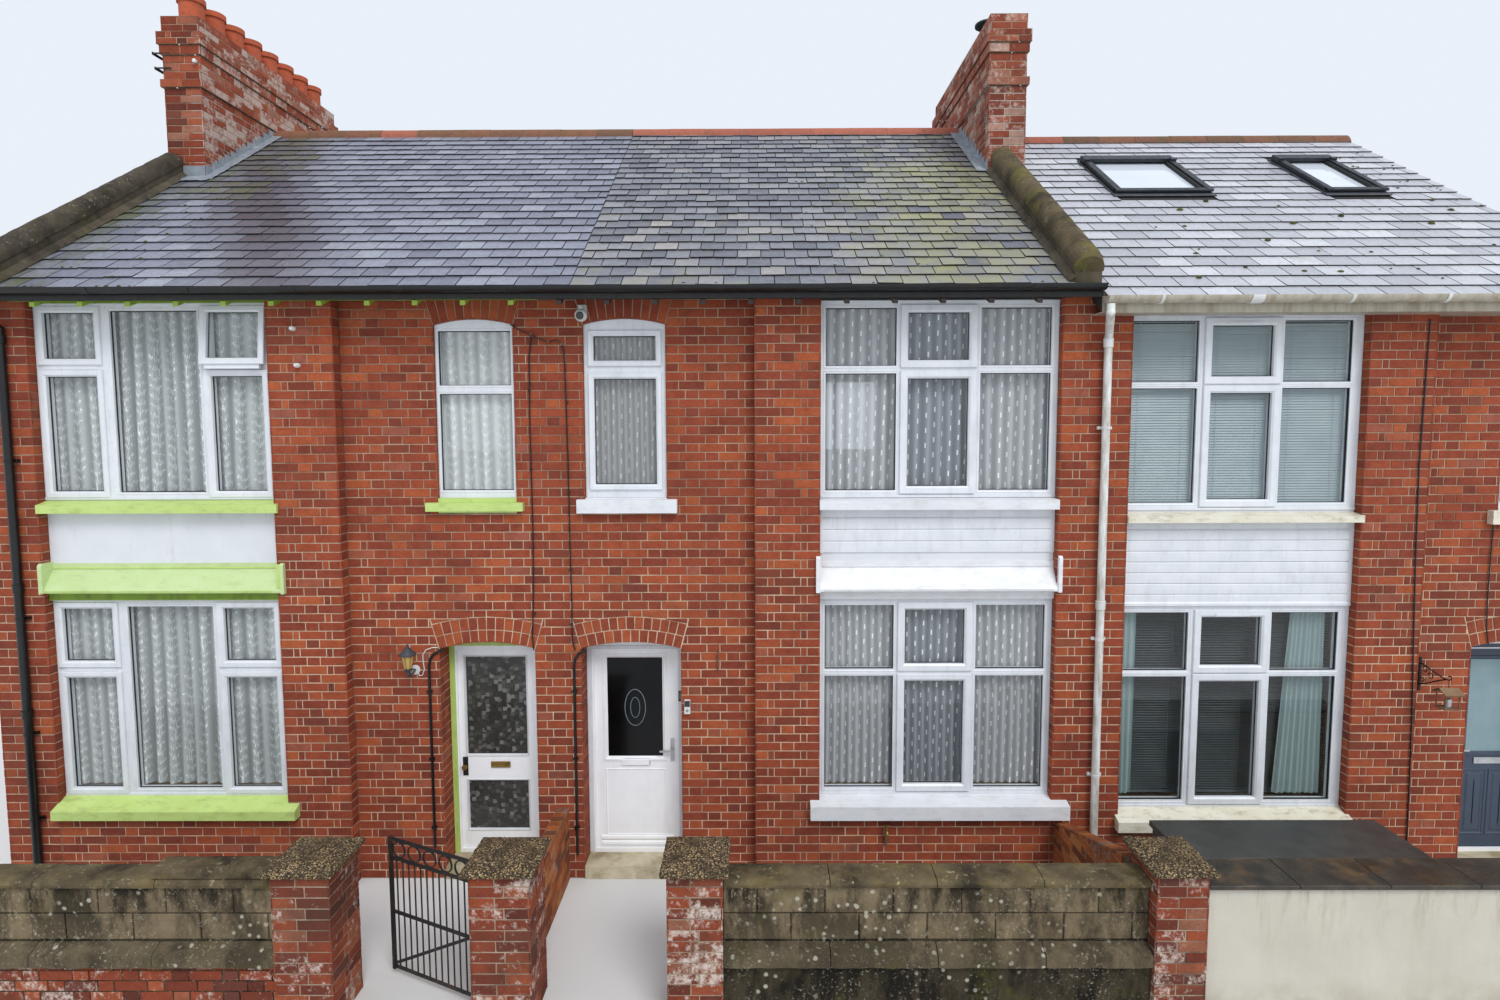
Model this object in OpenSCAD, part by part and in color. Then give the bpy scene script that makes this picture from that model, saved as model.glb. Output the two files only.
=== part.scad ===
// A row of three two-storey brick houses with a shared pitched roof.
// Millimetres, +Z up. The front faces -Y, the ground level is z = 0.
// Lengths u are measured inside one house from the party line beside its door.

/* [Row] */
// Width of each of the two left houses
house_w = 4800; // [4780:10:4850]
// Width of the right house
house_wc = 4700; // [4680:10:4750]
// Depth of the houses over their outer walls
depth = 7060; // [6800:20:7400]
// Thickness of the front and rear walls
wall_t = 340; // [330:5:350]
// Thickness of the wall between the two left houses
party_t = 230; // [200:10:240]
// How much lower the right house's windows and roof are
drop_c = 120; // [80:10:160]

/* [Floors] */
// Top of the ground floor above the ground
floor_z = 120; // [100:5:130]
// Top of the upper floor
upper_z = 3000; // [2960:10:3040]
// Thickness of the upper floor
upper_t = 200; // [150:10:240]

/* [Front] */
// How far the pilasters stand out of the door bay wall
pil_d = 120; // [100:5:130]
// Width of a full pilaster
pil_w = 578; // [560:2:590]
// Width of each half of a shared pilaster
half_w = 305; // [295:5:315]
// Bottom of the lower bay windows
win_lb = 817; // [800:1:830]
// Top of the lower bay windows
win_lt = 2633; // [2600:1:2660]
// Bottom of the upper bay windows
win_ub = 3544; // [3530:1:3560]
// Top of the upper bay windows
win_ut = 5266; // [5240:1:5280]
// Thickness of the window frames, front to back
frame_t = 70; // [60:5:80]
// Width of the outer members of the bay window frames
frame_b = 58; // [45:1:65]

/* [Doors] */
// Height at which the door arches spring
door_zs = 2170; // [2150:5:2190]
// Rise of the door arches
door_rise = 60; // [50:5:80]
// Thickness of the door leaves
leaf_t = 44; // [40:1:46]
// Gap round a door leaf
leaf_gap = 8; // [8:1:10]

/* [Roof] */
// Pitch of the roof in degrees
pitch = 34.08; // [33.5:0.1:34.5]
// Height of the slates' lower edge at the front eave
eave_z = 5363; // [5350:1:5400]
// How far the eaves stand out of the door bay wall
eave_o = 300; // [280:5:310]
// Thickness of the roof, square to its slope
roof_t = 90; // [80:2:100]
// Height of the parapets above the slates, measured upright
para_h = 150; // [120:5:180]

/* [Chimneys] */
// Width of a chimney stack
stack_w = 420; // [400:5:430]
// Length of the left chimney stack, front to back
stack_l = 2850; // [2800:10:2900]
// Top of the chimney stacks
stack_z = 8750; // [8700:10:8800]
// Height of a chimney pot above the stack
pot_h = 280; // [250:10:330]

/* [Garden] */
// Front of the garden piers, measured from the door bay wall
pier_y = 1800; // [1780:5:1820]
// Top of the pier bodies
pier_z = 1110; // [1110:5:1130]
// Top of the garden walls
gwall_z = 1040; // [1000:5:1060]
// Angle at which the gate stands ajar
gate_a = 24; // [10:1:30]

/* [Hidden] */
$fn = 48;

// party lines; the right house is drawn from its far line back to the left
x_ab = -1800;
x_bc = x_ab + house_w;
x_cd = x_bc + house_wc;
x_xa = x_ab - house_w;
x_lo = x_xa - 173;            // outer face of the left end wall
x_li = x_xa + 325;            // its inner face
x_qa = x_xa - 5;              // left parapet, standing on that wall
x_qb = x_xa + 190;
x_pl = x_bc - 285;            // party wall under the right parapet
x_pr = x_bc - 60;
x_ri = x_cd - 230;            // inner face of the right end wall
y_in = wall_t;
y_ri = depth - wall_t;
yr = depth / 2;
ye = -eave_o;
tp = tan(pitch);
tv = roof_t / cos(pitch);

// u limits of each house: pilaster and bay, houses 0, 1, 2
pil0 = [house_w - half_w - 2087 - pil_w, house_w - half_w - 2087 - pil_w, house_wc - half_w - 2045 - pil_w];
bay0 = [house_w - half_w - 2087, house_w - half_w - 2087, house_wc - half_w - 2045];
bay1 = [house_w - half_w, house_w - half_w, house_wc - half_w];
dr0 = [168, 250, 300];        // door openings
dr1 = [1038, 1156, 1200];
sw0 = [300, 318, 318];        // small upper windows
sw1 = [1002, 1045, 1045];
sw_zb = 3412;
sw_zs = 5080;
sw_rise = 50;
drop = [0, 0, drop_c];

function hx(h, u) = h == 0 ? x_ab - u : h == 1 ? x_ab + u : x_cd - u;
function xa(h, u0, u1) = min(hx(h, u0), hx(h, u1));
function xb(h, u0, u1) = max(hx(h, u0), hx(h, u1));
// top of the slates and underside of the roof at depth y, d = how much lower
function zt(y, d = 0) = eave_z - d + ((y <= yr ? y : 2 * yr - y) - ye) * tp;
function zu(y, d = 0) = zt(y, d) - tv;
// a hair of room between sloping pieces that bear on each other
seat = 0.1;
function zw(y, d = 0) = zu(y, d) - seat;

// the frame's origin is the middle of the whole row's plan
cx = (x_lo + x_cd) / 2;
cy = (-(pier_y + pier_y - 400) / 2 - 250 + 2 * yr - ye + 122) / 2;
module centred() translate([-cx, -cy, 0]) children();

// box between two corners
module bx(x0, x1, y0, y1, z0, z1) translate([x0, y0, z0]) cube([x1 - x0, y1 - y0, z1 - z0]);
// box inside house h
module ub(h, u0, u1, y0, y1, z0, z1) bx(xa(h, u0, u1), xb(h, u0, u1), y0, y1, z0, z1);
// prism along X with its outline in Y and Z
module px(x0, x1, pts) translate([x0, 0, 0]) rotate([90, 0, 90]) linear_extrude(x1 - x0) polygon(pts);
// opening with a segmental head
module arched(x0, x1, y0, y1, z0, zs, rise) {
  w = x1 - x0;
  r = (w * w / 4 + rise * rise) / (2 * rise);
  bx(x0, x1, y0, y1, z0, zs - 10);
  intersection() {
    bx(x0, x1, y0, y1, zs - 20, zs + rise + 5);
    translate([(x0 + x1) / 2, y0, zs + rise - r]) rotate([-90, 0, 0]) cylinder(r = r, h = y1 - y0, $fn = 180);
  }
}
module uarched(h, u0, u1, y0, y1, z0, zs, rise) arched(xa(h, u0, u1), xb(h, u0, u1), y0, y1, z0, zs, rise);

// ---- brick walls ----
// upright brick strip whose top follows the underside of the roof
module strip(x0, x1, d) px(x0, x1, [[-pil_d, 0], [y_in, 0], [y_in, zw(y_in, d)], [-pil_d, zw(-pil_d, d)]]);

module pilasters() color([0.56, 0.23, 0.16]) {
  strip(x_lo, hx(0, bay1[0]), 0);
  strip(hx(0, bay0[0]), hx(0, pil0[0]), 0);
  strip(hx(1, pil0[1]), hx(1, bay0[1]), 0);
  strip(hx(1, bay1[1]), x_pr, 0);
  strip(x_pr, hx(2, bay1[2]), drop_c);
  strip(hx(2, bay0[2]), hx(2, pil0[2]), drop_c);
}

module bay_aprons() color([0.52, 0.21, 0.15])
  for (h = [0:2]) {
    zb = win_lb - drop[h];
    zs = zb - 155;
    px(xa(h, bay0[h], bay1[h]), xb(h, bay0[h], bay1[h]),
      [[-pil_d, 0], [y_in, 0], [y_in, zb], [-30, zb], [-30, zs], [-pil_d, zs]]);
  }

// panels between the storeys and the lintels under the eave
module bay_panels() color([0.92, 0.92, 0.92])
  for (h = [0:2]) {
    d = drop[h];
    ub(h, bay0[h], bay1[h], -30, y_in, rows[h][0][1] - d, win_ub - d);
    px(xa(h, bay0[h], bay1[h]), xb(h, bay0[h], bay1[h]),
      [[-60, win_ut - d], [y_in, win_ut - d], [y_in, zw(y_in, d)], [-60, zw(-60, d)]]);
  }

jamb_z = door_zs - 40;
module door_bay_jambs() color([0.56, 0.23, 0.16]) {
  bx(hx(0, pil0[0]), hx(0, dr1[0]), 0, y_in, 0, jamb_z);
  bx(hx(0, dr0[0]), hx(1, dr0[1]), 0, y_in, 0, jamb_z);
  bx(hx(1, dr1[1]), hx(1, pil0[1]), 0, y_in, 0, jamb_z);
  bx(hx(2, pil0[2]), hx(2, dr1[2]), 0, y_in, 0, jamb_z);
  bx(hx(2, dr0[2]), x_cd, 0, y_in, 0, jamb_z);
}

module bay_wall(x0, x1, d, hs) difference() {
  px(x0, x1, [[0, jamb_z], [y_in, jamb_z], [y_in, zw(y_in, d)], [0, zw(0, d)]]);
  for (h = hs) {
    uarched(h, dr0[h], dr1[h], -10, y_in + 10, jamb_z - 50, door_zs, door_rise);
    uarched(h, sw0[h], sw1[h], -10, y_in + 10, sw_zb - d, sw_zs - d, sw_rise);
  }
}
module door_bay_walls() color([0.56, 0.23, 0.16]) {
  bay_wall(hx(0, pil0[0]), hx(1, pil0[1]), 0, [0, 1]);
  bay_wall(hx(2, pil0[2]), x_cd, drop_c, [2]);
}

// rear windows: [u0, u1, z0, z1]
rw = [[2500, 4000, 950, 2300], [600, 1350, 1250, 2300], [2500, 4000, 3650, 4950], [600, 1350, 3850, 4950]];
module rear_wall() color([0.53, 0.22, 0.16]) difference() {
  union() {
    px(x_lo, x_pr, [[y_ri, 0], [depth, 0], [depth, zw(depth)], [y_ri, zw(y_ri)]]);
    px(x_pr, x_cd, [[y_ri, 0], [depth, 0], [depth, zw(depth, drop_c)], [y_ri, zw(y_ri, drop_c)]]);
  }
  for (h = [0:2]) for (w = rw) ub(h, w[0], w[1], y_ri - 10, depth + 10, w[2], w[3]);
}

module gable(x0, x1, d) px(x0, x1,
  [[y_in, 0], [y_ri, 0], [y_ri, zw(y_ri, d)], [yr, zw(yr, d)], [y_in, zw(y_in, d)]]);

// chimney stacks: left face, front face, foot
ch_x = [x_qa + 25, x_bc - 320];
ch_y = [2100, 2145];
ch_l = [stack_l, stack_l - 195];
ch_z = 6700;
module stack_gap() for (i = [0, 1])
  bx(ch_x[i], ch_x[i] + stack_w, ch_y[i], ch_y[i] + ch_l[i], ch_z, stack_z);

module end_walls() color([0.53, 0.22, 0.16]) difference() {
  union() {
    gable(x_lo, x_li, 0);
    gable(x_ri, x_cd, drop_c);
  }
  stack_gap();
}
module party_walls() color([0.6, 0.57, 0.53]) difference() {
  union() {
    gable(x_ab - party_t / 2, x_ab + party_t / 2, 0);
    gable(x_pl, x_pr, 0);
  }
  stack_gap();
}

// ---- parapets and chimneys ----
module para(x0, x1, y0, y1) px(x0, x1,
  [[y0, zu(y0)], [y1, zu(y1)], [y1, zt(y1) + para_h], [y0, zt(y0) + para_h]]);
module parapets() color([0.5, 0.46, 0.4]) for (i = [0, 1]) {
  x0 = i == 0 ? x_qa : x_pl;
  x1 = i == 0 ? x_qb : x_pr;
  para(x0, x1, ye, ch_y[i]);
  para(x0, x1, ch_y[i] + ch_l[i], 2 * yr - ye);
}
// rounded coping run along the slope between two depths, sgn 1 uphill, -1 downhill
module coping(x0, x1, y0, y1, sgn) {
  l = (y1 - y0) / cos(pitch);
  w = x1 - x0 + 30;
  rise = 100;
  h = 40;
  r = (w * w / 4 + rise * rise) / (2 * rise);
  translate([(x0 + x1) / 2, y0, zt(y0) + para_h + seat]) rotate([sgn * pitch, 0, 0]) rotate([-90, 0, 0]) {
    translate([-w / 2, -h, 0]) cube([w, h, l]);
    intersection() {
      translate([0, r - h - rise, 0]) cylinder(r = r, h = l, $fn = 96);
      translate([-w / 2, -h - rise - 5, 0]) cube([w, rise + 6, l]);
    }
  }
}
module parapet_copings() color([0.42, 0.38, 0.3]) for (i = [0, 1]) {
  x0 = i == 0 ? x_qa : x_pl;
  x1 = i == 0 ? x_qb : x_pr;
  coping(x0, x1, ye, ch_y[i] - 5, 1);
  coping(x0, x1, ch_y[i] + ch_l[i] + 5, 2 * yr - ye, -1);
}

module stack(i) {
  x = ch_x[i];
  y = ch_y[i];
  l = ch_l[i];
  bx(x, x + stack_w, y, y + l, ch_z, stack_z);
  // two oversailing courses near the top and a string course lower down
  bx(x - 38, x + stack_w + 38, y - 38, y + l + 38, stack_z - 320, stack_z - 180);
  bx(x - 20, x + stack_w + 20, y - 20, y + l + 20, stack_z - 425, stack_z - 320);
  bx(x - 25, x + stack_w + 25, y - 25, y + l + 25, stack_z - 780, stack_z - 690);
}
module chimney_stacks() color([0.58, 0.24, 0.17]) { stack(0); stack(1); }

module pot(z) difference() {
  union() {
    cylinder(d = 250, h = z - 60);
    translate([0, 0, z - 60]) cylinder(d = 285, h = 60);
  }
  translate([0, 0, 40]) cylinder(d = 190, h = z);
}
module chimney_pots() color([0.6, 0.28, 0.2])
  for (k = [0:7]) translate([ch_x[0] + stack_w / 2, ch_y[0] + 215 + k * 344, stack_z]) pot(pot_h);

module chimney_cowl() color([0.12, 0.12, 0.13]) translate([ch_x[1] + 150, ch_y[1] + 640, stack_z]) {
  cylinder(d = 200, h = 60);
  for (a = [45, 135, 225, 315]) rotate([0, 0, a]) translate([80, -8, 50]) cube([16, 16, 120]);
  translate([0, 0, 165]) cylinder(d = 290, h = 20);
}

// ---- roof ----
module slope(x0, x1, d, y0, y1) px(x0, x1,
  [[y0, zu(y0, d)], [y0, zt(y0, d)], [y1, zt(y1, d)], [y1, zu(y1, d)]]);
// rooflights: [x0, x1, y0, y1]
rl = [[x_bc + 960, x_bc + 2010, 1780, 2740], [x_bc + 3250, x_bc + 3900, 1780, 2740]];
module roof_front() color([0.36, 0.38, 0.42]) difference() {
  union() {
    slope(x_lo, x_qa, 0, ye, yr);
    slope(x_qb, x_pl, 0, ye, yr);
    slope(x_pr, x_cd, drop_c, ye, yr);
  }
  stack_gap();
  for (r = rl) px(r[0], r[1], [[r[2], zt(r[2], drop_c) - 300], [r[2], zt(r[2], drop_c) + 300],
    [r[3], zt(r[3], drop_c) + 300], [r[3], zt(r[3], drop_c) - 300]]);
}
module roof_rear() color([0.36, 0.38, 0.42]) difference() {
  union() {
    slope(x_lo, x_qa, 0, yr, 2 * yr - ye);
    slope(x_qb, x_pl, 0, yr, 2 * yr - ye);
    slope(x_pr, x_cd, drop_c, yr, 2 * yr - ye);
  }
  stack_gap();
}
// half-round ridge tiles resting on the two slopes
module ridge(x0, x1, d) px(x0, x1, concat(
  [[yr, zt(yr, d) + seat], [yr - 110, zt(yr - 110, d) + seat], [yr - 118, zt(yr - 110, d) + 26]],
  [for (a = [150:-15:30]) [yr + 118 * cos(a), zt(yr, d) - 78 + 128 * sin(a)]],
  [[yr + 118, zt(yr - 110, d) + 26], [yr + 110, zt(yr - 110, d) + seat]]));
module ridge_tiles() color([0.5, 0.27, 0.2]) {
  ridge(x_lo, x_qa - 5, 0);
  ridge(ch_x[0] + stack_w + 30, x_ab + 280, 0);
  ridge(x_ab + 280, ch_x[1] - 30, 0);
  ridge(ch_x[1] + stack_w + 30, x_cd, drop_c);
}

// curb and sash of a rooflight, standing proud of the slates
module rooflight_frames() color([0.16, 0.17, 0.19]) for (r = rl) difference() {
  px(r[0], r[1], [[r[2], zt(r[2], drop_c) - tv], [r[2], zt(r[2], drop_c) + 60],
    [r[3], zt(r[3], drop_c) + 60], [r[3], zt(r[3], drop_c) - tv]]);
  px(r[0] + 70, r[1] - 70, [[r[2] + 60, zt(r[2] + 60, drop_c) - 300], [r[2] + 60, zt(r[2] + 60, drop_c) + 300],
    [r[3] - 60, zt(r[3] - 60, drop_c) + 300], [r[3] - 60, zt(r[3] - 60, drop_c) - 300]]);
}
module rooflight_glass() color([0.8, 0.85, 0.9, 0.5]) for (r = rl)
  px(r[0] + 70, r[1] - 70, [[r[2] + 60, zt(r[2] + 60, drop_c) + 5], [r[2] + 60, zt(r[2] + 60, drop_c) + 25],
    [r[3] - 60, zt(r[3] - 60, drop_c) + 25], [r[3] - 60, zt(r[3] - 60, drop_c) + 5]]);

// half-round gutters hung on a fascia board, s = -1 in front, 1 at the rear
module gutter(x0, x1, zg, r, fascia, s) {
  yf = s < 0 ? ye : 2 * yr - ye;
  translate([x0, yf + s * (r + 22), zg]) rotate([90, 0, 90]) difference() {
    cylinder(r = r, h = x1 - x0);
    translate([0, 0, 4]) cylinder(r = r - 5, h = x1 - x0 - 8);
    translate([-r - 10, 0, -10]) cube([2 * r + 20, r + 10, x1 - x0 + 20]);
  }
  bx(x0, x1, min(yf, yf + s * 22), max(yf, yf + s * 22), zg - fascia, zg + 8);
}
zg_ab = eave_z - 12;
zg_c = eave_z - drop_c + 5;
zs_c = eave_z - drop_c - 123;
module gutters() {
  color([0.06, 0.06, 0.07]) {
    gutter(x_lo, x_pr, zg_ab, 50, 50, -1);
    gutter(x_lo, x_cd, zg_c - 45, 50, 50, 1);
  }
  color([0.93, 0.93, 0.93]) {
    gutter(x_pr + 6, x_cd, zg_c, 60, zg_c - zs_c, -1);
    // soffit board behind the white fascia
    bx(x_pr + 6, hx(2, pil0[2]), ye, -pil_d, zs_c, zs_c + 12);
    bx(hx(2, pil0[2]), x_cd, ye, 0, zs_c, zs_c + 12);
  }
}
// round downpipes with their swan necks and a collar at each joint
module pipe_run(pts, r) for (i = [0:len(pts) - 2]) {
  a = pts[i];
  b = pts[i + 1];
  v = b - a;
  l = norm(v);
  translate(a) rotate([0, acos(v[2] / l), atan2(v[1], v[0])]) cylinder(r = r, h = l, $fn = 32);
  if (i > 0) translate(a) sphere(r = r + 4, $fn = 32);
}
module downpipe(x, x2, yg, z) pipe_run([[x, yg, z], [x, yg, z - 70],
  [x2, -pil_d - 45, z - 260], [x2, -pil_d - 45, 150], [x2, -pil_d - 120, 60]], 34);
module downpipes() {
  color([0.06, 0.06, 0.07]) downpipe(x_xa + 120, x_xa + 120, ye - 72, zg_ab - 52);
  color([0.93, 0.93, 0.93]) downpipe(x_pr + 45, x_bc + 70, ye - 82, zg_c - 62);
  color([0.06, 0.06, 0.07]) for (x = [x_li + 300, x_cd - 300])
    translate([0, 2 * yr, 0]) mirror([0, 1, 0]) pipe_run([[x, ye - 72, zg_c - 97], [x, ye - 72, zg_c - 165],
      [x, -45, zg_c - 355], [x, -45, 150], [x, -120, 60]], 34);
}
// rafter ends under the black gutter
module rafter_feet() color([0.12, 0.12, 0.1])
  for (k = [0:21]) {
    x = x_li + 180 + k * 405;
    over_door = x > hx(0, pil0[0]) + 20 && x < hx(1, pil0[1]) - 60;
    yw = over_door ? 0 : -pil_d;
    px(x, x + 45, [[ye + 15, zw(ye + 15)], [yw, zw(yw)], [yw, zw(yw) - 95], [ye + 15, zw(ye + 15) - 55]]);
  }

// ---- windows ----
// pane columns and rows of each bay, as parts of its width from the left: [x0, x1, lower pane, upper pane]
col_a = [[0.036, 0.253, 1], [0.317, 0.688, 0], [0.735, 0.953, 1]];
col_b = [[0.024, 0.321, 1], [0.369, 0.626, 1], [0.675, 0.971, 1]];
col_c = [[0.012, 0.302, 1], [0.357, 0.621, 1], [0.666, 0.957, 1]];
cols = [col_a, col_b, col_c];
// lower and upper windows: [bottom, top, transom bottom, transom top]
row_ab = [[win_lb, win_lt, win_lb + 1110, win_lb + 1172], [win_ub, win_ut, win_ub + 1096, win_ub + 1162]];
row_c = [[win_lb, win_lt + 47, win_lb + 1218, win_lb + 1272], [win_ub, win_ut, win_ub + 1077, win_ub + 1130]];
rows = [row_ab, row_ab, row_c];
module panes(h, s, y0, y1) {
  x0 = xa(h, bay0[h], bay1[h]);
  w = xb(h, bay0[h], bay1[h]) - x0;
  r = rows[h][s];
  d = drop[h];
  for (c = cols[h]) {
    if (c[2] == 1) {
      bx(x0 + c[0] * w, x0 + c[1] * w, y0, y1, r[0] + 65 - d, r[2] - d);
      bx(x0 + c[0] * w, x0 + c[1] * w, y0, y1, r[3] - d, r[1] - frame_b - d);
    } else bx(x0 + c[0] * w, x0 + c[1] * w, y0, y1, r[0] + 65 - d, r[1] - frame_b - d);
  }
}
module bay_window_frames() color([0.93, 0.93, 0.93])
  for (h = [0:2]) for (s = [0, 1]) difference() {
    ub(h, bay0[h], bay1[h], -30, -30 + frame_t, rows[h][s][0] - drop[h], rows[h][s][1] - drop[h]);
    panes(h, s, -50, 100);
  }
module bay_window_glass() color([0.7, 0.76, 0.8, 0.4])
  for (h = [0:2]) for (s = [0, 1]) panes(h, s, 0, 12);

// small arched windows: frame, fanlight and lower pane
sw_y = 35;
sw_sill = 132;
module sw_panes(h, y0, y1) {
  d = drop[h];
  e = h == 0 ? 30 : 88;
  ub(h, sw0[h] + e, sw1[h] - e, y0, y1, sw_zb + sw_sill + (h == 0 ? 70 : 120) - d, (h == 0 ? 4476 : 4604) - d);
  ub(h, sw0[h] + e, sw1[h] - e, y0, y1, (h == 0 ? 4550 : 4764) - d, sw_zs - (h == 0 ? 51 : 101) - d);
}
module small_window_frames() color([0.93, 0.93, 0.93]) for (h = [0:2]) difference() {
  uarched(h, sw0[h], sw1[h], sw_y, sw_y + frame_t, sw_zb + sw_sill - drop[h], sw_zs - drop[h], sw_rise);
  sw_panes(h, sw_y - 20, sw_y + 100);
}
module small_window_glass() color([0.7, 0.76, 0.8, 0.4]) for (h = [0:2]) sw_panes(h, sw_y + 30, sw_y + 42);

module rw_panes(h, w, y0, y1) {
  n = w[1] - w[0] > 1000 ? 2 : 1;
  for (k = [0:n - 1]) {
    a = w[0] + 60 + k * (w[1] - w[0] - 60) / n;
    ub(h, a, a + (w[1] - w[0] - 60) / n - 60, y0, y1, w[2] + 60, w[3] - 60);
  }
}
module rear_window_frames() color([0.93, 0.93, 0.93]) for (h = [0:2]) for (w = rw) difference() {
  ub(h, w[0], w[1], depth - 170, depth - 100, w[2], w[3]);
  rw_panes(h, w, depth - 190, depth - 80);
}
module rear_window_glass() color([0.7, 0.76, 0.8, 0.4]) for (h = [0:2]) for (w = rw) rw_panes(h, w, depth - 140, depth - 128);

// sloping sills in front of the bay windows, with ears over the pilasters
module bay_sill(h, zr, zf, zb, yf, ear, ear2) {
  x0 = xa(h, bay0[h], bay1[h]);
  x1 = xb(h, bay0[h], bay1[h]);
  zm = zr + (zf - zr) * (pil_d - 30) / (-30 - yf);
  px(x0, x1, [[-30, zb], [-30, zr], [yf, zf], [yf, zb]]);
  px(x0 - ear, x1 + ear2, [[-pil_d, zb], [-pil_d, zm], [yf, zf], [yf, zb]]);
}
module small_sill(h) {
  d = drop[h];
  ub(h, sw0[h], sw1[h], 0, sw_y, sw_zb - d, sw_zb + sw_sill - d);
  ub(h, sw0[h] - 70, sw1[h] + 95, -60, 0, sw_zb - (h == 0 ? -20 : 0) - d, sw_zb + (h == 0 ? 96 : 122) - d);
}
module window_sills() color([0.9, 0.9, 0.88]) {
  bay_sill(0, win_lb + 10, win_lb - 74, win_lb - 155, -205, 8, 105);
  bay_sill(1, win_lb + 10, win_lb - 30, win_lb - 155, -215, 85, 140);
  bay_sill(2, win_lb - drop_c + 10, win_lb - drop_c - 60, win_lb - drop_c - 155, -205, 30, 30);
  bay_sill(0, win_ub - 6, win_ub - 38, win_ub - 112, -145, 2, 38);
  bay_sill(1, win_ub - 3, win_ub - 14, win_ub - 98, -145, 6, 4);
  bay_sill(2, win_ub - drop_c - 20, win_ub - drop_c - 40, win_ub - drop_c - 100, -145, 4, 14);
  for (h = [0:2]) small_sill(h);
  for (h = [0:2]) for (w = rw) ub(h, w[0] - 60, w[1] + 60, depth, depth + 70, w[2] - 90, w[2]);
}

// sloping canopies over the two left lower windows, with end cheeks
module canopies() for (h = [0, 1]) color(h == 0 ? [0.65, 0.85, 0.32] : [0.92, 0.92, 0.92]) {
  x0 = xa(h, bay0[h], bay1[h]);
  x1 = xb(h, bay0[h], bay1[h]);
  xe = x1 + (h == 0 ? 45 : 8);
  zc = h == 0 ? 2985 : 3035;
  px(x0, x1, [[-30, 2640], [-30, 2972], [-42, 2972], [-42, 2918], [-148, 2742], [-148, 2722], [-70, 2700], [-70, 2640]]);
  // the part of it that laps over the pilaster on the right
  px(x1, xe, [[-pil_d, 2712], [-pil_d, 2788], [-148, 2742], [-148, 2722]]);
  px(x0 - (h == 0 ? 14 : 38), x0, [[-pil_d, 2712], [-pil_d, zc], [-140, zc], [-156, zc - 20], [-156, 2712]]);
  px(xe, xe + 32, [[-pil_d, 2712], [-pil_d, zc], [-140, zc], [-156, zc - 20], [-156, 2712]]);
  if (h == 0) px(x0, x0 + 24, [[-148, 2722], [-148, 2742], [-42, 2918], [-42, 2972], [-30, 2972], [-30, zc], [-140, zc], [-156, zc - 20], [-156, 2722]]);
}

// ---- doors ----
df0 = 230;   // front of the door frames
df1 = 310;
lf0 = 255;   // front of the leaves
leaf_zb = floor_z + 32;
leaf_zt = 2095;
module door_frames() color([0.93, 0.93, 0.93]) for (h = [0:2]) difference() {
  uarched(h, dr0[h], dr1[h], df0, df1, floor_z, door_zs, door_rise);
  ub(h, dr0[h] + 50, dr1[h] - 50, lf0 - 6, df1 + 10, floor_z + 25, leaf_zt + leaf_gap);
  ub(h, dr0[h] + 66, dr1[h] - 66, df0 - 10, df1 + 10, floor_z + 40, leaf_zt - 8);
}
module leaf(h, holes) difference() {
  ub(h, dr0[h] + 50 + leaf_gap, dr1[h] - 50 - leaf_gap, lf0, lf0 + leaf_t, leaf_zb, leaf_zt);
  for (p = holes) ub(h, p[0], p[1], lf0 - 10, lf0 + leaf_t + 10, p[2], p[3]);
}
module leaf_glass(h, holes) for (p = holes) ub(h, p[0], p[1], lf0 + 16, lf0 + 28, p[2], p[3]);
holes_a = [[328, 909, 1068, 2025], [328, 909, 335, 822]];
holes_b = [[424, 964, 1041, 2018]];
holes_c = [[520, 960, 1080, 1985]];
module door_leaf_a() color([0.93, 0.93, 0.93]) leaf(0, holes_a);
module door_glass_a() color([0.6, 0.62, 0.58, 0.5]) leaf_glass(0, holes_a);
module door_leaf_b() color([0.94, 0.94, 0.95]) leaf(1, holes_b);
module door_glass_b() color([0.3, 0.32, 0.34, 0.5]) leaf_glass(1, holes_b);
module door_leaf_c() color([0.29, 0.36, 0.44]) leaf(2, holes_c);
module door_glass_c() color([0.3, 0.32, 0.34, 0.5]) leaf_glass(2, holes_c);
// letter plate and lever handle, front and back
module fittings(h, uh, zh, zl, dirn) {
  y1 = lf0 + leaf_t;
  um = (dr0[h] + dr1[h]) / 2;
  ub(h, um - 130, um + 130, lf0 - 8, lf0, zl, zl + 60);
  for (s = [0, 1]) {
    ya = s == 0 ? lf0 - 10 : y1;
    ub(h, uh - 18, uh + 18, ya, ya + 10, zh - 110, zh + 110);
    translate([hx(h, uh), s == 0 ? lf0 - 42 : y1 + 10, zh]) rotate([-90, 0, 0]) cylinder(d = 18, h = 32, $fn = 24);
    ub(h, dirn > 0 ? uh - 8 : uh - 118, dirn > 0 ? uh + 118 : uh + 8, s == 0 ? lf0 - 54 : y1 + 42, s == 0 ? lf0 - 42 : y1 + 54, zh - 9, zh + 9);
  }
}
module door_fittings_a() color([0.7, 0.58, 0.3]) {
  y1 = lf0 + leaf_t;
  um = 590;
  ub(0, um - 90, um + 90, lf0 - 8, lf0, 955, 1000);
  for (s = [0, 1]) translate([hx(0, 925), s == 0 ? lf0 - 45 : y1, 960]) rotate([-90, 0, 0]) {
    cylinder(d = 44, h = 8, $fn = 24);
    cylinder(d = 16, h = 45, $fn = 24);
    translate([0, 0, s == 0 ? 0 : 30]) cylinder(d = 50, h = 15, $fn = 24);
    translate([0, 0, s == 0 ? 37 : 0]) cylinder(d = 44, h = 8, $fn = 24);
  }
}
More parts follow.
